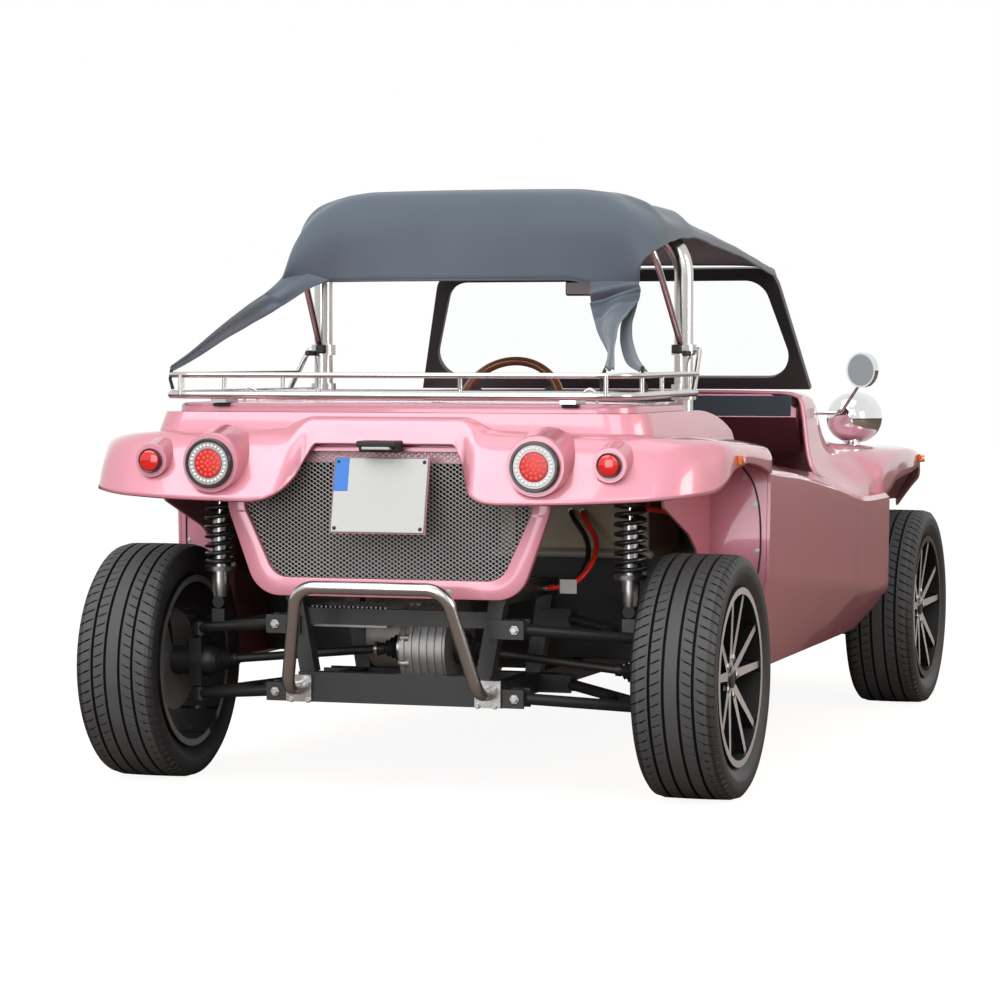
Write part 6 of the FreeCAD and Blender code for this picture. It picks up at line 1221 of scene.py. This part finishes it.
def bright_tubes():
    """Polished tubes, and the rear bumper in dark steel with its bolts."""
    for node in ("luggage_rack", "front_bumper", "roll_hoop", "canopy_bow"):
        dressed_copy(node, stainless(), "stainless", angle=40)
    dark = add_grain(finish("Brushed dark steel", (0.52, 0.52, 0.51), 0.33, 1.0), 300, 10, 0.0, 0.16, 0.32)
    dressed_copy("rear_bumper", dark, "stainless", angle=40)
    (near, far), (foot, top) = FOOT_PLATE
    y = min(v.co.y for v in NODES["rear_bumper"].data.vertices if near < abs(v.co.x) < far and foot < v.co.z < top)
    heads = [(x * turn, y + 0.0077, z) for turn in SIDES for x, z in BUMPER_BOLTS]
    settle(bolt_heads("bumper_bolts", heads, REARWARD, 0.011, 0.006), "stainless")


# Loop over a front foot of the rack, as (x, z) from the foot, and its place
LOOP = ((-0.018, 0.946), (-0.018, 0.992), (0.0, 1.004), (0.018, 0.992), (0.018, 0.946))
LOOP_X, LOOP_Y = 0.448, 1.331
# Black blocks at the brace clamps and rack feet on the left: middle across, half width, (y, z) corners and rounding
LEVERS = (("lever", 0.528, 0.007, (0.690, 1.082), (0.742, 1.096), 0.004),
          ("knob", 0.500, 0.012, (0.697, 1.088), (0.722, 1.112), 0.005),
          ("pad", 0.453, 0.021, (1.462, 0.9585), (1.519, 0.9665), 0.003))
# Both ends of each webbing tie
TIES = (((0.599, 1.485, 1.050), (0.598, 1.480, 1.000)), ((-0.537, 1.503, 1.050), (-0.537, 1.530, 1.000)),
        ((-0.578, 1.317, 1.058), (-0.590, 1.317, 1.000)))


def rack_fittings():
    """Loops over the rack's front feet, black levers at the brace clamps and webbing that ties the tails down."""
    loops, levers, ties = [], [], []
    web = finish("Black webbing", (0.02, 0.02, 0.022), 0.85)
    for turn in SIDES:
        path = [((LOOP_X + x) * turn, LOOP_Y, z) for x, z in LOOP]
        loops.append(tube_piece("loop", rounded_path(path, 0.012, 5), 0.004, stainless(), 10))
        for name, x, half, low, high, bevel in LEVERS:
            levers.append(block(name, (x * turn - half, *low), (x * turn + half, *high), rubber_trim(), bevel))
    for ends in TIES:
        a, b = np.array(ends)
        ties.append(tube_piece("tie", [a, (a + b) / 2 + (0.004, 0.004, 0), b], 0.0045, web, 8))
    settle_joined("rack_loops", loops, "stainless")
    settle_joined("rack_levers", levers, "frame_black")
    settle_joined("tail_ties", ties, "frame_black")


# Grille: height of the outline's shoulder and half width of its foot
SHOULDER_Z, FOOT_HALF = 0.709, 0.340
RING_WIDTH = 0.046


def grille_outline(inset):
    """Right half of the frame's outline from the top to the middle of the foot, then its mirror image."""
    low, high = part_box("grille_frame")
    corners = [(high.x - inset, 0, high.z - inset * 0.25), (high.x - inset, 0, SHOULDER_Z),
               (FOOT_HALF - inset, 0, low.z + inset), (0, 0, low.z + inset)]
    return mirror_rows(rounded_path(corners, 0.085 - inset * 0.6, 10))


def grille_ring():
    """The frame between two outlines a ring's width apart, its face edges rounded."""
    low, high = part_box("grille_frame")
    round_in = ((0, 0.004), (0.0012, 0.0012), (0.004, 0))
    section = [(0, low.y)] + [(inset, high.y - drop) for inset, drop in round_in]
    section += [(RING_WIDTH - inset, high.y - drop) for inset, drop in round_in[::-1]] + [(RING_WIDTH, low.y)]
    rings = np.array([grille_outline(inset) + (0, y, 0) for inset, y in section])
    ring = grid_piece("grille_ring", rings, metallic_paint(), wrap_rows=True, wrap_columns=True)
    settle(tidy_mesh(ring, 24), "body_paint", "grille_frame")


def grille_mesh():
    """Expanded metal: zigzag strands one above the other, each leaning from the rear face to the front at a bond."""
    low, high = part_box("grille_mesh")
    pitch = sizes().mesh_pitch
    rise, thick, wide = pitch * 0.32, 0.0009, 0.0012
    square = np.array([(0, thick, wide), (0, -thick, wide), (0, -thick, -wide), (0, thick, -wide)])
    foot_half = high.x * 0.82
    strands, quads, start = [], [], 0
    for k in range(int((high.z - low.z) / rise)):
        z = low.z + rise * (k + 0.5)
        half = high.x if z > SHOULDER_Z else foot_half + (high.x - foot_half) * (z - low.z) / (SHOULDER_Z - low.z)
        reach = int(half / (pitch / 2))
        column = np.repeat(np.arange(-reach, reach + 1), 2)
        bond = np.tile((-0.07, 0.07), 2 * reach + 1) * pitch
        up = (column + k) % 2 == 0
        core = np.column_stack([column * pitch / 2 + bond, np.where(up, high.y - 0.0012, low.y + 0.0012),
                                z + np.where(up, 0.5, -0.5) * rise])
        strands.append((core[:, None] + square).reshape(-1, 3))
        quads.append(grid_quads(len(core), 4, False, True, start))
        start += len(core) * 4
    metal = finish("Mesh metal", (0.40, 0.40, 0.39), 0.4, 0.35)
    piece = mesh_piece("expanded_mesh", np.vstack(strands), np.vstack(quads), metal, smooth=False)
    settle(piece, "frame_black", "grille_mesh")


def grille():
    grille_ring()
    grille_mesh()
    places = [(x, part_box("grille_frame")[1].y, 0.512) for x in (-0.16, 0.16)]
    settle(bolt_heads("grille_screws", places, REARWARD, 0.011, 0.003), "stainless")


PLATE_TILT = math.radians(12)
PLATE_MIDDLE = (0.0, 1.6, 0.745)
PLATE_HALF_HEIGHT = 0.094


def number_plate():
    """Blank plate with a plain blue band and four screws."""
    low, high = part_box("number_plate")
    dressed_copy("number_plate", finish("Plate backing", colours().paint, 0.4, 0.3), "plate_white", angle=30)
    half_w, half_h = (high.x - low.x) / 2, PLATE_HALF_HEIGHT
    out = np.array([0, math.cos(PLATE_TILT), math.sin(PLATE_TILT)])
    up = np.array([0, -math.sin(PLATE_TILT), math.cos(PLATE_TILT)])
    face = np.array(PLATE_MIDDLE) + out * 0.0062

    def on_plate(p):
        return face + p[:, :1] * ACROSS + p[:, 1:2] * out + p[:, 2:] * up

    parts = [block(name, (x0, 0, z0), (x1, rise, z1), material, 0.0008, on_plate)
             for name, x0, x1, z0, z1, rise, material in (
                 ("rim", 0.001 - half_w, half_w - 0.001, 0.001 - half_h, half_h - 0.001, 0.0012,
                  finish("Plate rim", (0.10, 0.10, 0.10), 0.3, 0.6)),
                 # The plate's face is grey rather than white: painted shade on the white plate.
                 ("face", 0.0035 - half_w, half_w - 0.0035, 0.0035 - half_h, half_h - 0.0035, 0.0022,
                  finish("Plate face, painted shade", (0.50, 0.505, 0.495), 0.5)),
                 ("band", half_w - 0.040, half_w - 0.0036, half_h - 0.085, half_h - 0.0036, 0.0026,
                  finish("Plate blue", (0.015, 0.16, 0.55), 0.4)))]
    places = [face + (x * (half_w - 0.012), 0, 0) + out * 0.002 + up * z * (half_h - 0.012)
              for x in SIDES for z in SIDES]
    parts.append(bolt_heads("screws", places, tuple(out), 0.007, 0.002, rubber_trim()))
    settle_joined("plate_face", parts, "plate_white")


def plate_lamp():
    """Black lamp above the plate, its pale lens under the lip."""
    low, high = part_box("plate_lamp")
    lip = low.z + (high.z - low.z) * 0.45
    lens = finish("Lamp lens", (0.45, 0.45, 0.45), 0.15)
    parts = [block("lamp_body", (low.x, low.y, lip), high, rubber_trim(), 0.005),
             block("lamp_foot", low, (high.x, high.y - 0.02, lip + 0.004), rubber_trim(), 0.004),
             block("lamp_lens", (low.x * 0.72, high.y - 0.019, lip - 0.006),
                   (high.x * 0.72, high.y - 0.002, lip + 0.002), lens, 0.002)]
    settle_joined("plate_lamp_unit", parts, "black_plastic", "plate_lamp")


# Windscreen
def windscreen():
    """Frame and pane, and the mirror that hangs from the frame's top rail."""
    dressed_copy("windscreen_frame", black_coat(), "frame_black", bevel=0.003)
    clear = finish("Clear glass", (0.92, 0.95, 0.95), 0.02, 0.0, 0.0, Transmission_Weight=1.0, IOR=1.02, Alpha=0.25)
    dressed_copy("windscreen_glass", clear, "screen_glass", angle=30)
    silvered = finish("Mirror face", (0.70, 0.69, 0.68), 0.45)
    stem = [(0.03, -0.312, 1.29), (0.015, -0.316, 1.310), (0, -0.320, 1.328)]
    mirror = [block("head", (0.004, -0.318, 1.258), (0.118, -0.300, 1.302), rubber_trim(), 0.007),
              block("pane", (0.009, -0.3005, 1.263), (0.113, -0.2985, 1.297), silvered, 0.0006),
              tube_piece("stem", stem, 0.006, rubber_trim(), 12)]
    settle_joined("inside_mirror", mirror, "frame_black")


DOOR_MIRROR_TURN = math.radians(24)
DOOR_MIRROR = (-0.780, -0.300, 1.040)


def door_mirror():
    """The CAD's round head and bent arm in chrome, with a dark glass let into the face that looks back."""
    dressed_copy("door_mirror", chrome(), "chrome")
    axis = np.array([math.sin(DOOR_MIRROR_TURN), math.cos(DOOR_MIRROR_TURN), 0.0])
    profile = ((0, 0), (0, 0.0455), (0.0006, 0.045), (0.0006, 0))
    dark = finish("Mirror glass", (0.30, 0.32, 0.34), 0.05, 1.0)
    settle(turned_piece("glass", profile, DOOR_MIRROR + axis * 0.0088, axis, dark, 48), "chrome")


# Cabin
def cabin():
    """Dash and tub with their dark lining, seats, steering wheel and column."""
    # Painted shade: a dark maroon put on the pink tub and on the dash's lower faces, where they stand in shade.
    cabin_shade = finish("Painted cabin shade", (0.13, 0.030, 0.036), 0.6)
    dash = dressed_copy("dashboard", metallic_paint(), "body_paint", bevel=0.003).data
    dash.materials.append(cabin_shade)
    # Faces of the dash below 0.895 m take the painted shade.
    for face in dash.polygons:
        face.material_index = 1 if face.center.z < 0.895 else 0
    tub = dressed_copy("floor_tub", metallic_paint(), "body_paint", bevel=0.003).data
    tub.materials.append(black_coat())
    tub.materials.append(cabin_shade)
    # The tub's rear and under faces take the black coat, and all its other faces take the painted shade.
    for face in tub.polygons:
        rear = face.center.y > 0.6 and face.normal.y > 0.6
        below = face.normal.z < -0.6 and face.center.z < 0.45
        face.material_index = 1 if rear or below else 2
    dressed_copy("nose_pan", metallic_paint(), "body_paint")
    hide = add_grain(finish("Black hide", (0.018, 0.018, 0.020), 0.5), 260, 10, 0.35, 0.42, 0.6)
    for node in ("seat_left", "seat_right"):
        dressed_copy(node, hide, "upholstery", bevel=0.028)
    wood = finish("Varnished wood", colours().wood, 0.25, 0.0, 0.6)
    wheel = dressed_copy("steering_wheel", wood, "wood_rim", "steering_wheel", 40).data
    wheel.materials.append(black_coat())
    away = np.linalg.norm(face_facts(wheel)[1] - (0.215, -0.07, 0.92), axis=1)
    wheel.polygons.foreach_set("material_index", np.where(away < 0.142, 1, 0).astype(np.int32))
    dressed_copy("steering_column", black_coat(), "frame_black")
    insert = block("dash_pad", (-0.590, -0.2195, 0.907), (0.590, -0.2135, 0.966),
                   finish("Navy pad", (0.030, 0.040, 0.056), 0.6), 0.003,
                   lambda p: p - (0, 1, 0) * ((p[:, 2:] - 0.938) * 0.12))
    settle(insert, "frame_black")


# Battery leads: colour and route, in millimetres
CABLES = (
    ("red", ((-336.6, 1012.6, 686.6), (-336.6, 1046.2, 686.6), (-406.3, 1082.6, 602.6), (-382.3, 1201.6, 514),
             (-314.3, 1201.6, 500), (-286.3, 1201.6, 500))),
    ("red", ((-468.1, 1012.6, 703.6), (-468.1, 1046.6, 703.6), (-559.1, 1080.6, 693.4), (-617.6, 1080.6, 686.6),
             (-650.1, 1080.6, 686.6))),
    ("black", ((-306, 1012.6, 686.6), (-306, 1046.2, 686.6), (-382.3, 1082.6, 602.6), (-363.1, 1142.8, 514),
               (-314.3, 1142.8, 500), (-286.3, 1142.8, 500))),
)
LEAD_R = 0.0068


def lead(name, route, material):
    """A sheathed lead: one NURBS spline with the route's points as its control points."""
    curve = bpy.data.curves.new(name, "CURVE")
    curve.dimensions = "3D"
    curve.bevel_depth = LEAD_R
    curve.bevel_resolution = 5
    curve.resolution_u = 12
    curve.use_fill_caps = True
    spline = curve.splines.new("NURBS")
    spline.points.add(len(route) - 1)
    for point, place in zip(spline.points, route):
        point.co = (*place, 1)
    spline.order_u = 3
    spline.use_endpoint_u = True
    curve.materials.append(material)
    return in_scene(name, curve)


def battery_cables():
    """Three leads held at both ends, with crimped lugs there and a white tag on the black one."""
    lugs = []
    lug = ((0.0005, 0), (0.0005, 0.0072), (0.012, 0.0072), (0.014, 0.0069), (0.014, 0))
    for k, (tone, route) in enumerate(CABLES):
        route = np.array(route) * MM
        sheath = finish(f"{tone.title()} sheath", colours().cable if tone == "red" else (0.012, 0.012, 0.012), 0.35)
        settle(lead(f"{tone}_lead_{k}", route, sheath), f"cable_{tone}", *([f"cable_{tone}"] if k != 1 else []))
        for end, back in ((route[0], route[1]), (route[-1], route[-2])):
            lugs.append(turned_piece("lug", lug, end, (back - end) / np.linalg.norm(back - end), bolt_steel(), 16))
    settle_joined("lead_lugs", lugs, "stainless")
    tag = finish("White tag", (0.75, 0.75, 0.74), 0.6)
    settle(block("tag", (-0.378, 1.2088, 0.489), (-0.334, 1.2100, 0.524), tag, 0.0004), "plate_white")


# Bolt bosses of the gearbox: profile, place across and radius of their circle
BOSS = ((0, 0), (0, 0.0095), (0.022, 0.0095), (0.024, 0.008), (0.024, 0))
BOSS_X, BOSS_CIRCLE = 0.004, 0.1025


def gearbox_bosses():
    """Bolt bosses round the gearbox's left flange, their heads towards the left wheel."""
    places = round_places((BOSS_X, REAR_Y, SHAFT_Z), BOSS_CIRCLE, 10, 0.3, (1, 2))
    parts = [turned_piece("boss", BOSS, place, ACROSS, cast_alloy(), 20) for place in places]
    parts.append(bolt_heads("heads", places + (0.0238, 0, 0), ACROSS, 0.010, 0.006))
    settle_joined("gearbox_bosses", parts, "cast_alloy")


def drive():
    """Gearbox, controller and battery box, with the box's lid seam and ledge, and the leads."""
    dressed_copy("drive_unit", cast_alloy(), "cast_alloy", angle=30)
    gearbox_bosses()
    dressed_copy("motor_controller", cast_alloy(), "cast_alloy", angle=30, bevel=0.0008)
    dressed_copy("battery_box", finish("Battery case", colours().case, 0.5), "beige_plastic", bevel=0.008)
    low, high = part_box("battery_box")
    seam = ((low.x + 0.012, low.y + 0.004, high.z - 0.030), (high.x - 0.012, high.y - 0.010, high.z - 0.026))
    ledge = ((low.x + 0.004, high.y - 0.0125, low.z + 0.0005), (high.x - 0.004, high.y - 0.0002, low.z + 0.0195))
    parts = [block("lid", *seam, rubber_trim(), 0.001),
             block("ledge", *ledge, finish("Grey ledge", (0.22, 0.22, 0.21), 0.5), 0.002)]
    settle_joined("battery_trim", parts, "beige_plastic")
    battery_cables()


# Stage
def any_ray(tree, *kinds):
    """A socket that is 1 for rays of any of the kinds."""
    path = tree.nodes.new("ShaderNodeLightPath")
    shown = path.outputs[kinds[0]]
    for kind in kinds[1:]:
        shown = maths(tree, "MAXIMUM", shown, path.outputs[kind])
    return shown


def pick(tree, by, first, second, target):
    """Links the first shader, or the second where a socket is 1, to the tree's output."""
    mix = add_node(tree, "ShaderNodeMixShader", ((by, 0), (first, 1), (second, 2)))
    tree.links.new(mix.outputs["Shader"], tree.nodes[target].inputs["Surface"])


def studio_world():
    """Light that grows towards the rear and upwards; camera, glass and reflections see it white."""
    world = bpy.data.worlds.new("Studio")
    world.use_nodes = True
    bpy.context.scene.world = world
    tree = world.node_tree
    place = tree.nodes.new("ShaderNodeTexCoord").outputs["Generated"]
    split = add_node(tree, "ShaderNodeSeparateXYZ", [(place, "Vector")]).outputs
    level = maths(tree, "ADD", spread(tree, split["Y"], 0.12, 0.66, From_Min=-0.5, From_Max=0.7),
                  spread(tree, split["Z"], 0.0, 0.28, From_Min=0.02, From_Max=0.35))
    back = tree.nodes["Background"]
    back.inputs["Color"].default_value = (1, 1, 1, 1)
    tree.links.new(level, back.inputs["Strength"])
    white = add_node(tree, "ShaderNodeBackground", Color=(1, 1, 1, 1))
    shown = any_ray(tree, "Is Camera Ray", "Is Transmission Ray", "Is Glossy Ray")
    pick(tree, shown, back.outputs["Background"], white.outputs["Background"], "World Output")


def studio_floor(reach=30.0):
    """A dark floor that lights the object little, seen nearly white by the camera and through glass."""
    ground = finish("Floor", (0.20, 0.155, 0.13), 0.95, Specular_IOR_Level=0.0)
    tree = ground.node_tree
    plain = shader_of(tree).outputs["BSDF"]
    seen = add_node(tree, "ShaderNodeEmission", Strength=0.92).outputs["Emission"]
    both = add_node(tree, "ShaderNodeAddShader", ((plain, 0), (seen, 1))).outputs["Shader"]
    pick(tree, any_ray(tree, "Is Camera Ray", "Is Transmission Ray"), plain, both, "Material Output")
    corners = np.array([(-1, -1, 0), (1, -1, 0), (1, 1, 0), (-1, 1, 0)]) * reach
    return mesh_piece("floor", corners, np.array([(0, 1, 2, 3)]), ground)


# Lamps: name, place, width, power
LIGHTS = (("key", (-2.6, 7.5, 4.5), 4.0, 130), ("sky", (2.4, 5.5, 5.2), 4.5, 235), ("low", (1.0, 8.5, 1.3), 3.0, 110),
          ("side", (-7.0, 1.5, 2.5), 3.0, 190), ("roof", (0.0, 0.5, 6.0), 5.0, 80))
WARM, COOL = (1.0, 0.86, 0.80), (0.96, 0.97, 1.0)
CAMERA_YAW, CAMERA_PITCH = math.radians(18.222), math.radians(2.573)


def turned_to(item, place, look):
    """Puts a lamp or camera at a place, looking along a direction."""
    item.location = place
    item.rotation_euler = Vector(look).to_track_quat("-Z", "Y").to_euler()
    return item


def stage():
    """Pale floor, even light from above and behind the camera, and the camera at the photo's angle."""
    studio_world()
    floor = studio_floor()
    for name, place, width, power in LIGHTS:
        data = bpy.data.lights.new(name, "AREA")
        data.size, data.energy = width, power
        data.color = WARM if name == "side" else COOL
        turned_to(in_scene(name, data), place, Vector((0, 0, 0.5)) - Vector(place))
    data = bpy.data.cameras.new("camera")
    data.lens, data.sensor_width, data.clip_end = 119.8, 36.0, 200
    level = math.cos(CAMERA_PITCH)
    look = (math.sin(CAMERA_YAW) * level, -math.cos(CAMERA_YAW) * level, -math.sin(CAMERA_PITCH))
    bpy.context.scene.camera = turned_to(in_scene("camera", data), (-2.7909, 9.1518, 1.0965), look)
    bpy.context.scene.view_settings.view_transform = "Standard"


# Operators: one for each group of pieces
def piece_operator(name, label, words, *work):
    """An operator class that runs one group's functions."""
    def execute(self, context):
        for step in work:
            step()
        return {"FINISHED"}

    return type(f"BUGGY_OT_{name}", (bpy.types.Operator,), {
        "__doc__": words, "bl_idname": f"buggy.{name}", "bl_label": label, "execute": execute})


def all_tyres_and_rims():
    for axle in ("front", "rear"):
        for side in ("left", "right"):
            tyre(axle, side)
            rim(axle, side)


OPERATORS = [
    piece_operator("body_panels", "Body panels", "Wings, lamp panel, deck, sides and bonnet",
                   rear_wings, deck, body_sides, front_moulding),
    piece_operator("cloth", "Cloth top", "Folding top with its two tails", cloth_top, cloth_tails),
    piece_operator("wheels", "Wheels", "Treaded tyres and spoked rims", all_tyres_and_rims),
    piece_operator("running_gear", "Running gear", "Frame, arms, shafts and shock absorbers",
                   frames_and_arms, boots, shocks),
    piece_operator("lamps", "Lamps", "Tail lamps, reflectors, headlamps and side markers",
                   rear_lamps, headlamps, side_markers),
    piece_operator("tubes", "Bright tubes", "Rack, bumpers, hoop and bow", bright_tubes, rack_fittings),
    piece_operator("grille", "Grille and plate", "Expanded mesh, its frame and the blank plate",
                   grille, number_plate, plate_lamp),
    piece_operator("screen", "Windscreen and mirrors", "Frame, pane and both mirrors", windscreen, door_mirror),
    piece_operator("cabin", "Cabin", "Tub, dash, seats and steering wheel", cabin),
    piece_operator("drive", "Drive", "Gearbox, controller and battery", drive),
    piece_operator("stage", "Stage", "Floor, lights and camera", stage),
]


class BUGGY_PT_panel(bpy.types.Panel):
    """Lists the buggy's sizes, colours and pieces."""
    bl_label = "Buggy"
    bl_idname = "BUGGY_PT_panel"
    bl_space_type = "VIEW_3D"
    bl_region_type = "UI"
    bl_category = "Buggy"

    def draw(self, context):
        for group in (context.scene.buggy_sizes, context.scene.buggy_colours):
            for name in group.__annotations__:
                self.layout.prop(group, name)
        for operator in OPERATORS:
            self.layout.operator(operator.bl_idname)


CLASSES = [BuggySizes, BuggyColours, *OPERATORS, BUGGY_PT_panel]


def register():
    for item in CLASSES:
        bpy.utils.register_class(item)
    bpy.types.Scene.buggy_sizes = PointerProperty(type=BuggySizes)
    bpy.types.Scene.buggy_colours = PointerProperty(type=BuggyColours)


def unregister():
    del bpy.types.Scene.buggy_colours
    del bpy.types.Scene.buggy_sizes
    for item in reversed(CLASSES):
        bpy.utils.unregister_class(item)


def main():
    register()
    for operator in OPERATORS:
        getattr(bpy.ops.buggy, operator.bl_idname.split(".")[1])()


if __name__ == "__main__":
    main()
